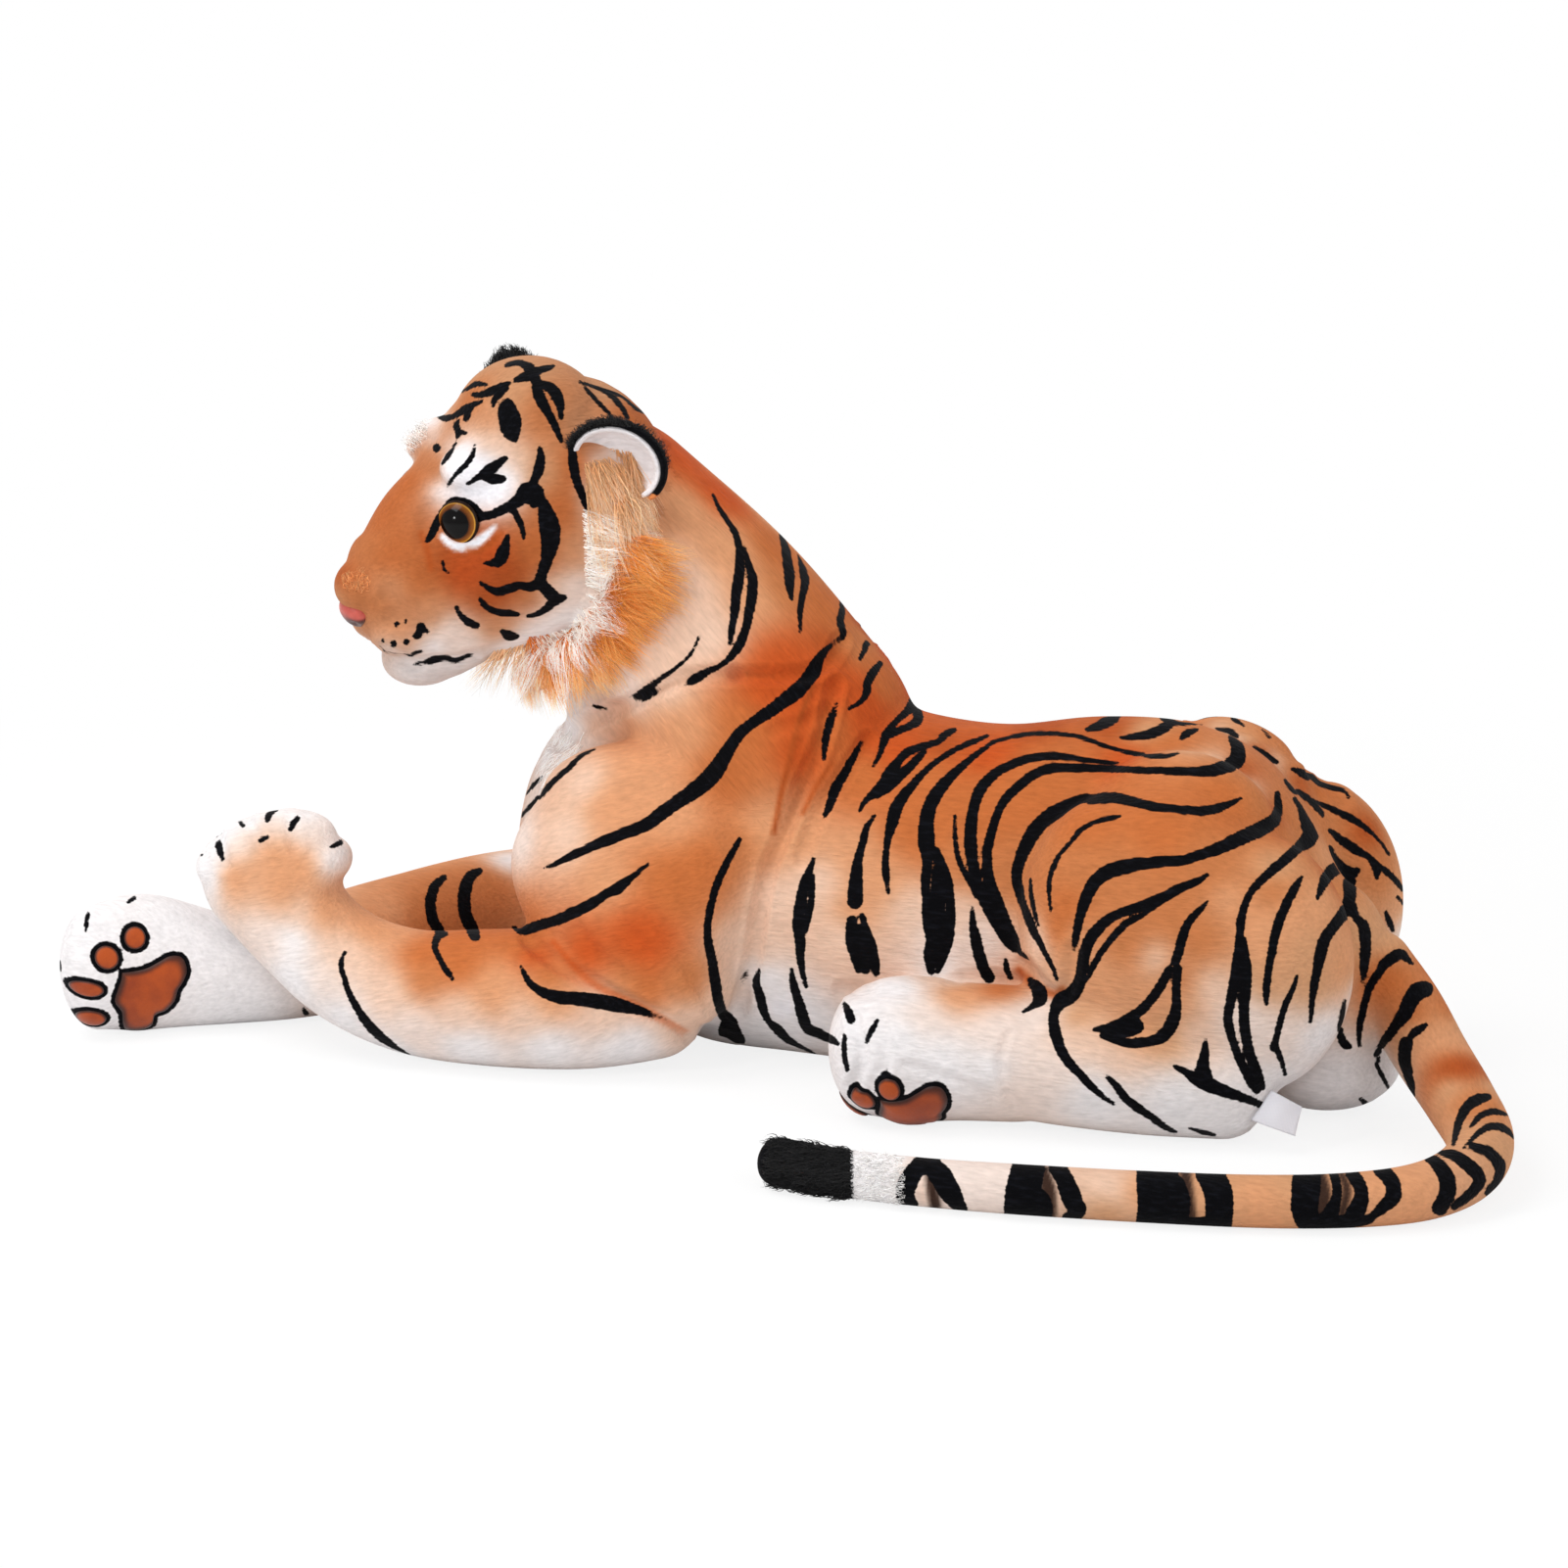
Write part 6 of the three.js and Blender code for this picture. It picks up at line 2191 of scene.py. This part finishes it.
@dataclass
class Pads:
    """The brushed patches on one sole: a three-lobed palm and four toes."""

    sole: Sole
    skin: Skin
    crown: float = 1.6
    seat: float = 0.3
    tuck: float = 1.5
    palm: str = (
        "12.4,4.5 4.8,5 -2.8,6.6 -9.7,10 -17.3,13.5 -24.3,12.2 -27,5 -25,-2.2 -21.5,-8 -19.8,-15 "
        "-14.8,-22 -8.3,-25.6 -6.6,-34.2 -0.3,-38.4 8,-37.7 11.1,-30.5 12.4,-22 16.8,-14.3 14.9,-5.8 13,0"
    )
    toes: str = "3.8,18.9,6.6,6.6,0 21.5,8.2,7.6,6.9,40 33.6,-11.3,10.1,4.9,8 30.4,-32,8.9,5.6,8"

    def outlines(self) -> list[np.ndarray]:
        """Each patch's outline in the sole's plane, in mm.

        Returns:
            The palm's rows, then the toes'.
        """
        palm = read_line(self.palm) + np.array(self.sole.shift)
        shapes = [spline(np.vstack([palm, palm[:1]]), 1.6)[:-1]]
        angle = np.linspace(0, math.tau, 33)[:-1]
        for x, y, long, short, turn in read_line(self.toes):
            c, s = math.cos(math.radians(turn)), math.sin(math.radians(turn))
            u, v = long * np.cos(angle), short * np.sin(angle)
            place = np.array([x, y]) + np.array(self.sole.toe_shift)
            shapes.append(np.stack([u * c - v * s, u * s + v * c], axis=1) + place)
        return shapes

    def drop(self, spots: np.ndarray, lift: np.ndarray) -> np.ndarray:
        """Points of the sole's plane laid on the skin, raised by lift.

        Args:
            spots: forward and across of each point.
            lift: how high each is raised, in mm.

        Returns:
            Their places, in mm.
        """
        forward, across, out = self.sole.axes()
        rows = []
        for (u, v), rise in zip(spots, lift):
            start = Vector(self.sole.at) + forward * float(u) + across * float(v) + out * 60
            hit, normal, _, _ = self.skin.tree.ray_cast(start * MM, -out)
            if hit is None:
                hit, normal, _, _ = self.skin.tree.find_nearest((start - out * 50) * MM)
            rows.append(np.array(hit) / MM + np.array(normal) * float(rise))
        return np.array(rows)

    def build(self, finish: Material) -> None:
        """Makes each patch as a low cushion on the skin.

        Args:
            finish: its material.
        """
        for index, outline in enumerate(self.outlines()):
            middle = outline.mean(axis=0)
            spots, lifts, rims = [], [], []
            shares = (0.0, 0.3, 0.55, 0.75, 0.9, 1.0, 1.02)
            count = len(outline)
            bm = bmesh.new()
            made_grid = bmesh.ops.create_grid(bm, x_segments=count, y_segments=len(shares) - 1, size=1.0)
            for vertex in made_grid["verts"]:
                step = round((vertex.co.x + 1) / 2 * count) % count
                ring = round((vertex.co.y + 1) / 2 * (len(shares) - 1))
                share = shares[ring]
                spots.append(middle + (outline[step] - middle) * min(share, 1.0))
                rise = self.seat + self.crown * math.sqrt(max(0.0, 1 - share**2))
                lifts.append(-self.tuck if ring == len(shares) - 1 else rise)
                rims.append(0.4 + 0.26 * smooth_step(0.62, 1.0, share))
            rows = self.drop(np.array(spots), np.array(lifts))
            for vertex, row in zip(made_grid["verts"], rows):
                vertex.co = Vector(row) * MM
            name = "palm_pad" if index == 0 else f"pad_{index}"
            piece = mesh_of(bm, f"{self.sole.name}_{name}_cushion")
            number_attribute(piece.data, "rim", np.array(rims))
            bm = bmesh.new()
            bm.from_mesh(piece.data)
            bmesh.ops.remove_doubles(bm, verts=bm.verts, dist=WELD)
            bmesh.ops.recalc_face_normals(bm, faces=bm.faces)
            bm.to_mesh(piece.data)
            bm.free()
            dress(piece, finish)
            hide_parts(f"{self.sole.name}_{name}")
            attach(piece, self.sole.name)


# Label


@dataclass
class Label:
    """A folded blank ribbon caught in the haunch's rear seam."""

    corners: tuple[tuple[float, float], ...] = ((-14.5, -3.5), (-3.0, 13.0), (14.5, 3.5), (10.5, -12.5))

    def build(self, finish: Material) -> None:
        """Bends a strip where the CAD label hangs, its corners drawn in the picture's plane.

        Args:
            finish: its material.
        """
        low, high = (Vector(corner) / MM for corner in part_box("care_label"))
        right, up, back = (Vector(axis) for axis in View().axes())
        corners = [(low + high) / 2 + right * x + up * y for x, y in self.corners]
        bm = bmesh.new()
        made = bmesh.ops.create_grid(bm, x_segments=18, y_segments=16, size=1.0)
        for vertex in made["verts"]:
            u, v = (vertex.co.x + 1) / 2, (vertex.co.y + 1) / 2
            spot = corners[0].lerp(corners[1], u).lerp(corners[3].lerp(corners[2], u), v)
            wave = math.sin(u * 5.0 + v * 2.0) * 0.8 + math.sin(v * 4.0) * 1.6
            vertex.co = (spot + back * (4 + wave)) * MM
        bmesh.ops.solidify(bm, geom=bm.faces[:], thickness=0.7 * MM)
        bmesh.ops.recalc_face_normals(bm, faces=bm.faces)
        label = mesh_of(bm, "care_ribbon")
        dress(label, finish)
        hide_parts("care_label")
        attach(label, "torso")


# Ruff


@dataclass
class Ruff:
    """The furry collar behind one cheek: a soft core and locks of long hair."""

    side: str
    stations: tuple[tuple[float, float, float], ...] = (
        (-15, 70, 20),
        (-13.6, 80.6, -10),
        (-3, 76, -43),
        (12, 56, -72),
        (26, 30, -89),
    )

    def core(self, finish: Material) -> Object:
        """The padded roll under the hair.

        Args:
            finish: its material.

        Returns:
            The roll.
        """
        sign = 1 if self.side == "left" else -1
        roll = Tube(tuple((x, sign * (y - 4), z, 13, 7) for x, y, z in self.stations), (10, 10), (1, 0, 0))
        bm = bmesh.new()
        roll.build(bm, HEAD_PLACE)
        piece = mesh_of(bm, f"cheek_ruff_{self.side}_roll")
        plain_cloth(piece, 190, 120, 66)
        dress(piece, finish)
        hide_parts(f"cheek_ruff_{self.side}")
        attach(piece, "head")
        return piece


# Hair


@dataclass(frozen=True)
class Patch:
    """Hair that grows where an outline, drawn in the picture's pixels, falls on the skin."""

    outline: str
    flows: str
    count: int
    length: float
    root: tuple[int, int, int]
    tip: tuple[int, int, int]
    lift: float = 0.35
    droop: float = 0.15
    width: float = 0.3
    spread: float = 0.22
    clump: float = 0.55
    ragged: float = 0.3


RUFF_PATCHES = (
    Patch(
        "596,472 622,466 645,480 656,505 664,540 640,560 604,560",
        "610,500,0.15,1 640,500,0.4,1 660,520,0.7,0.8 620,550,0.6,1",
        1900, 29, (206, 152, 102), (244, 222, 198), lift=0.25,
    ),
    Patch(
        "604,545 640,545 652,580 640,612 612,612 606,580",
        "610,550,1,0.15 640,550,1,0.1 620,580,1,0 620,610,1,0.1",
        1700, 36, (196, 106, 28), (244, 180, 104), lift=0.26,
    ),
    Patch(
        "608,600 640,600 638,640 610,655 590,655 598,625",
        "610,605,1,0.15 630,620,1,0.2 600,650,0.9,0.5",
        1300, 33, (190, 100, 26), (242, 178, 104), lift=0.26,
    ),
    Patch(
        "540,650 600,640 625,650 600,680 560,682 530,676",
        "540,665,0.2,1 570,665,0.45,1 600,660,0.8,0.7 620,650,1,0.5",
        1300, 27, (204, 106, 28), (250, 206, 152), lift=0.2,
    ),
    Patch(
        "505,664 545,655 560,672 540,686 510,684",
        "510,672,-0.15,1 530,672,0.05,1 550,672,0.25,1",
        600, 25, (226, 176, 130), (252, 244, 238), lift=0.15, spread=0.3,
    ),
    Patch(
        "594,520 612,520 619,580 613,624 592,655 545,667 540,654 580,640 598,615",
        "604,530,0.8,0.4 606,570,1,-0.3 606,610,1,-0.1 590,645,0.9,0.45 560,660,0.5,0.9 545,665,0.2,1",
        2300, 34, (246, 232, 222), (254, 250, 246), lift=0.4, width=0.26, spread=0.34, clump=0.8,
    ),
)
TAIL_PATCHES = (
    Patch(
        "790,1158 872,1160 872,1226 790,1222",
        "780,1190,-1,0 860,1165,-1,-0.12 860,1220,-1,0.12",
        3200, 9, (3, 3, 4), (12, 12, 15), lift=0.34, droop=0.05, width=0.4, spread=0.22, clump=0.5,
    ),
    Patch(
        "872,1160 925,1160 925,1230 872,1228",
        "880,1190,-1,0 900,1165,-1,-0.1 900,1225,-1,0.1",
        1000, 5, (228, 224, 221), (250, 250, 250), lift=0.18, droop=0.05, width=0.26, spread=0.3,
    ),
)
FACE_PATCHES = (
    Patch(
        "350,588 372,584 379,596 372,606 352,604",
        "350,600,-0.4,-0.6 375,590,0.2,-0.9 370,610,0.4,0.3",
        200, 5.0, (226, 146, 86), (250, 200, 146), lift=0.4, droop=0, width=0.16, spread=0.5,
    ),
    Patch(
        "408,432 436,426 438,448 420,466 408,462",
        "415,440,-0.8,-0.5 440,430,-0.3,-0.9",
        420, 5, (236, 228, 220), (252, 250, 248), lift=0.5, droop=0, width=0.18, spread=0.4,
    ),
)
CHEST_PATCHES = (
    Patch(
        "568,700 600,690 612,712 600,760 578,790 556,800 562,750",
        "580,710,-0.4,1 590,760,-0.5,1 565,790,-0.6,0.9",
        700, 12, (250, 246, 242), (254, 253, 252), lift=0.22, droop=0.1, width=0.24, spread=0.28,
    ),
)
EAR_RIM_PATCHES = (
    Patch(
        "576,505 572,468 588,434 620,421 664,423 689,446 696,476 684,486 677,466 668,449 652,437 "
        "624,435 602,443 588,468 590,505",
        "578,490,-1,0.2 580,460,-1,-0.3 600,435,-0.7,-0.8 640,425,0,-1 675,440,0.8,-0.6 690,470,1,0",
        2200, 4.0, (3, 3, 4), (14, 14, 18), lift=0.35, droop=0, width=0.34, spread=0.35, clump=0.3,
    ),
)
EAR_TOP_PATCHES = (
    Patch(
        "490,345 550,345 552,392 484,394",
        "500,370,-0.5,-0.9 540,360,0.3,-1",
        1800, 7, (3, 3, 4), (14, 14, 18), lift=0.5, droop=0, width=0.36, spread=0.4,
    ),
)
EAR_PATCHES = (
    Patch(
        "603,468 624,457 644,461 654,480 656,500 640,502 604,502",
        "610,470,-0.1,1 640,470,0.05,1 655,480,0.25,1",
        1500, 30, (196, 142, 96), (240, 214, 186), lift=0.2, width=0.26,
    ),
)


@dataclass
class Hair:
    """Loose hair, each strand a thin tapered body, laid over given ground."""

    name: str
    body: str
    patches: tuple[Patch, ...]
    ground: list[Object]
    view: View = View()
    seed: int = 7
    steps: int = 4
    twin: bool = False

    def strand(self) -> tuple[np.ndarray, np.ndarray]:
        """The points and faces of one straight strand with a radius and length of 1.

        Returns:
            The points and the faces.
        """
        bm = bmesh.new()
        bmesh.ops.create_cone(bm, cap_ends=False, segments=3, radius1=1, radius2=1, depth=1)
        upright = [e for e in bm.edges if abs(e.verts[0].co.z - e.verts[1].co.z) > 0.5]
        bmesh.ops.subdivide_edges(bm, edges=upright, cuts=self.steps - 1, use_grid_fill=True)
        bmesh.ops.recalc_face_normals(bm, faces=bm.faces)
        bm.verts.index_update()
        points = np.array([tuple(v.co) for v in bm.verts])
        faces = np.array([[v.index for v in f.verts] for f in bm.faces])
        bm.free()
        points[:, 2] += 0.5
        return points, faces

    def sprout(self, patch: Patch, rng: np.random.Generator, tree: BVHTree) -> tuple[np.ndarray, ...]:
        """Finds the roots of one patch.

        Args:
            patch: the patch.
            rng: the source of chance.
            tree: the ground.

        Returns:
            The roots, the ground's normals and the flow directions, one row for each strand.
        """
        edge = read_line(patch.outline)
        low, high = edge.min(axis=0), edge.max(axis=0)
        spots = rng.uniform(low, high, (patch.count * 4, 2))
        following = np.roll(edge, -1, axis=0)
        crossing = (edge[None, :, 1] > spots[:, None, 1]) != (following[None, :, 1] > spots[:, None, 1])
        rise = following[:, 1] - edge[:, 1]
        rise = np.where(rise == 0, 1e-9, rise)
        at = edge[None, :, 0] + (spots[:, None, 1] - edge[None, :, 1]) / rise * (following - edge)[None, :, 0]
        inside = ((crossing & (spots[:, None, 0] < at)).sum(axis=1) % 2) == 1
        spots = spots[inside][: patch.count]
        flows = read_line(patch.flows)
        weight = 1 / (((spots[:, None] - flows[None, :, :2]) ** 2).sum(axis=2) + 30)
        way = weight @ flows[:, 2:] / weight.sum(axis=1, keepdims=True)
        right, up, _ = self.view.axes()
        eye = Vector(self.view.eye() * MM)
        roots, facing, ways = [], [], []
        for ray, (dx, dy) in zip(self.view.rays(spots), way):
            hit, normal, _, _ = tree.ray_cast(eye, Vector(ray))
            if hit is not None:
                roots.append(np.array(hit) / MM)
                facing.append(np.array(normal))
                ways.append(right * dx - up * dy)
        return np.array(roots), np.array(facing), unit(np.array(ways))

    def grow(self, patch: Patch, rng: np.random.Generator, tree: BVHTree) -> tuple[np.ndarray, ...]:
        """Shapes the strands of one patch: their points, faces and colours.

        Args:
            patch: the patch.
            rng: the source of chance.
            tree: the ground.

        Returns:
            The points, the faces and a colour for each point.
        """
        points, faces = self.strand()
        roots, facing, flow = self.sprout(patch, rng, tree)
        count = len(roots)
        towards = -self.view.rays(np.array([[800.0, 800.0]]))
        facing = np.where((facing * towards).sum(axis=1)[:, None] < 0, -facing, facing)
        flow = unit(flow - facing * (flow * facing).sum(axis=1, keepdims=True) * 0.8)
        flow = unit(flow + rng.normal(0, patch.spread, flow.shape))
        length = patch.length * rng.uniform(1 - patch.ragged, 1 + patch.ragged * 0.6, count)[:, None, None]
        guides = rng.integers(0, count, max(1, count // 26))
        near = np.linalg.norm(roots[:, None] - roots[guides][None], axis=2).argmin(axis=1)
        leader = guides[near]
        v = points[None, :, 2:3]

        def curve(index: np.ndarray) -> np.ndarray:
            """The middle line of strands at each of the template's heights.

            Args:
                index: the numbers of the strands.

            Returns:
                The points of each middle line.
            """
            line = flow[index][:, None] * v + facing[index][:, None] * patch.lift * v * (1.15 - v)
            line = line + np.array([0, 0, -1.0]) * patch.droop * v**2
            return roots[index][:, None] + line * length[index]

        everyone = np.arange(count)
        pull = patch.clump * v**1.3
        middle = curve(everyone) * (1 - pull) + curve(leader) * pull
        wave = rng.normal(0, 1, (count, 1, 3)) * np.sin(v * math.pi * 1.6) * 0.8
        middle = middle + wave
        side = unit(np.cross(flow, facing))[:, None]
        over = np.cross(side[:, 0], flow)[:, None]
        slim = patch.width * (1 - 0.9 * v) * rng.uniform(0.7, 1.2, (count, 1, 1))
        spots = middle + (side * points[None, :, :1] + over * points[None, :, 1:2]) * slim
        shade = rng.normal(1, 0.1, (count, 1, 1))
        blend = np.clip(v**1.4 + rng.normal(0, 0.12, (count, 1, 1)), 0, 1)
        tone = np.array(patch.root) * (1 - blend) + np.array(patch.tip) * blend
        tone = np.clip(tone * shade, 4, 252).reshape(-1, 3)
        where = (np.arange(count) * len(points))[:, None, None] + faces[None]
        return spots.reshape(-1, 3), where.reshape(-1, faces.shape[1]), linear(tone)

    def build(self, finish: Material, slot: Cloth) -> None:
        """Makes the hair as one piece, or as its twin on the head's other side.

        Args:
            finish: its material.
            slot: not used.
        """
        bm = bmesh.new()
        for thing in self.ground:
            bm.from_mesh(thing.data)
        tree = BVHTree.FromBMesh(bm)
        bm.free()
        rng = np.random.default_rng(self.seed)
        parts = [self.grow(patch, rng, tree) for patch in self.patches]
        rows = np.vstack([part[0] for part in parts])
        starts = np.cumsum([0] + [len(part[0]) for part in parts[:-1]])
        faces = np.vstack([part[1] + start for part, start in zip(parts, starts)])
        if self.twin:
            rows = across_head(rows)
            faces = faces[:, ::-1]
        hair = linked(self.name, fill_mesh(self.name, rows, np.ascontiguousarray(faces)))
        colour_attribute(hair.data, "tint", np.vstack([part[2] for part in parts]))
        dress(hair, finish)
        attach(hair, self.body)
        log.info("hair %s: %d faces", self.name, len(faces))


# Stage


@dataclass
class Studio:
    """A pale floor and soft lights."""

    ambient: float = 0.68

    def build(self) -> None:
        """Makes the floor, the lights and the surroundings."""
        bm = bmesh.new()
        bmesh.ops.create_grid(bm, x_segments=1, y_segments=1, size=9.0)
        ground = mesh_of(bm, "floor")
        ground.data.materials.append(FloorFinish().build())
        view = View()
        right, up, back = view.axes()
        target = Vector((-0.02, -0.05, 0.15))
        for name, way, distance, size, power in (
            ("key", -right * 0.55 + up * 0.9 + back * 0.55, 2.2, 1.1, 21.0),
            ("front", -right * 0.667 + up * 0.192 + back * 0.726, 1.6, 0.17, 3.6),
            ("fill", right * 0.8 + up * 0.35 + back * 0.8, 2.6, 2.2, 8.0),
            ("rear", -right * 0.2 + up * 0.8 - back * 0.9, 2.4, 1.8, 12.0),
        ):
            light = bpy.data.lights.new(name, "AREA")
            light.size = size
            light.energy = power
            lamp = bpy.data.objects.new(name, light)
            spot = target + Vector(unit(way)) * distance
            lamp.location = spot
            lamp.rotation_euler = (target - spot).to_track_quat("-Z", "Y").to_euler()
            bpy.context.scene.collection.objects.link(lamp)
        world = bpy.data.worlds.new("surroundings")
        world.use_nodes = True
        nodes, links = world.node_tree.nodes, world.node_tree.links
        seen = nodes.new("ShaderNodeLightPath").outputs["Is Camera Ray"]
        strength = nodes.new("ShaderNodeMapRange")
        strength.inputs["To Min"].default_value = self.ambient
        links.new(seen, strength.inputs["Value"])
        background = nodes["Background"]
        background.inputs["Color"].default_value = (1, 1, 1, 1)
        links.new(strength.outputs[0], background.inputs["Strength"])
        bpy.context.scene.world = world
        bpy.context.scene.view_settings.view_transform = "Standard"


def main() -> None:
    """Builds every piece in order."""
    logging.basicConfig(level=logging.INFO, format="%(relativeCreated)d %(message)s")
    Studio().build()
    View().add_camera()
    skin = Skin()
    skin.raise_surface()
    skin.look()
    painter = Painter(skin)
    log.info("painter ready")
    painter.press()
    log.info("folds pressed")
    painter.paint()
    skin.look()
    log.info("skin painted: %d points", len(painter.rows))
    lengths = Body(skin).build()
    plain = PlushFinish("plain_plush").build()
    skin.add_lining(plain)
    eye_finish = EyeFinish().build()
    for side, front, gaze in (
        ("left", (-219.3, -116.4, 336.5), (0.0005, -1.0, 0.0001)),
        ("right", (-278.07, -63.67, 346.1), (-0.9798, -0.122, 0.1578)),
    ):
        Eye(side, front, gaze).build(eye_finish)
    moulded = WasherFinish().build()
    for name in ("eye_washer_left", "eye_washer_right", "nose_washer"):
        for slot in bpy.data.objects[name].material_slots:
            slot.material = moulded
    Nose().build(FlockFinish("pink_flock", srgb(206, 98, 84), srgb(176, 72, 62), roughness=0.42).build())
    ears, rolls = {}, {}
    for side, base in (("left", (-138.62, -67.47, 360.69)), ("right", (-235.22, 1.83, 384.07))):
        ears[side] = Ear(side, base).build(plain)
        rolls[side] = Ruff(side).core(plain)
    loose = HairFinish("loose_hair_painted_glow").build()
    head = lengths[Region.HEAD]
    for side, twin in (("left", False), ("right", True)):
        ground = [head, rolls["left"]]
        Hair(f"cheek_ruff_{side}_hair", "head", RUFF_PATCHES, ground, twin=twin).build(loose, Cloth.RUFF)
        Hair(f"ear_{side}_hair", f"ear_{side}", EAR_PATCHES, ears["left"], twin=twin).build(loose, Cloth.RUFF)
    Hair("face_fuzz", "head", FACE_PATCHES, [head]).build(loose, Cloth.ORANGE)
    Hair("chest_fringe", "torso", CHEST_PATCHES, [lengths[Region.TORSO]]).build(loose, Cloth.WHITE)
    Hair("tail_tuft", "tail_tip", TAIL_PATCHES, [lengths[Region.TAIL_TIP]]).build(loose, Cloth.BLACK)
    Hair("ear_tuft", "ear_right", EAR_TOP_PATCHES, ears["right"]).build(loose, Cloth.BLACK)
    Hair("ear_rim_fuzz", "ear_left", EAR_RIM_PATCHES, ears["left"][:1]).build(loose, Cloth.BLACK)
    pad_finish = FlockFinish("brown_pad", srgb(174, 72, 8), srgb(144, 54, 6), roughness=0.45).build()
    for sole in SOLES:
        Pads(sole, skin).build(pad_finish)
    Label().build(RibbonFinish().build())


if __name__ == "__main__":
    main()
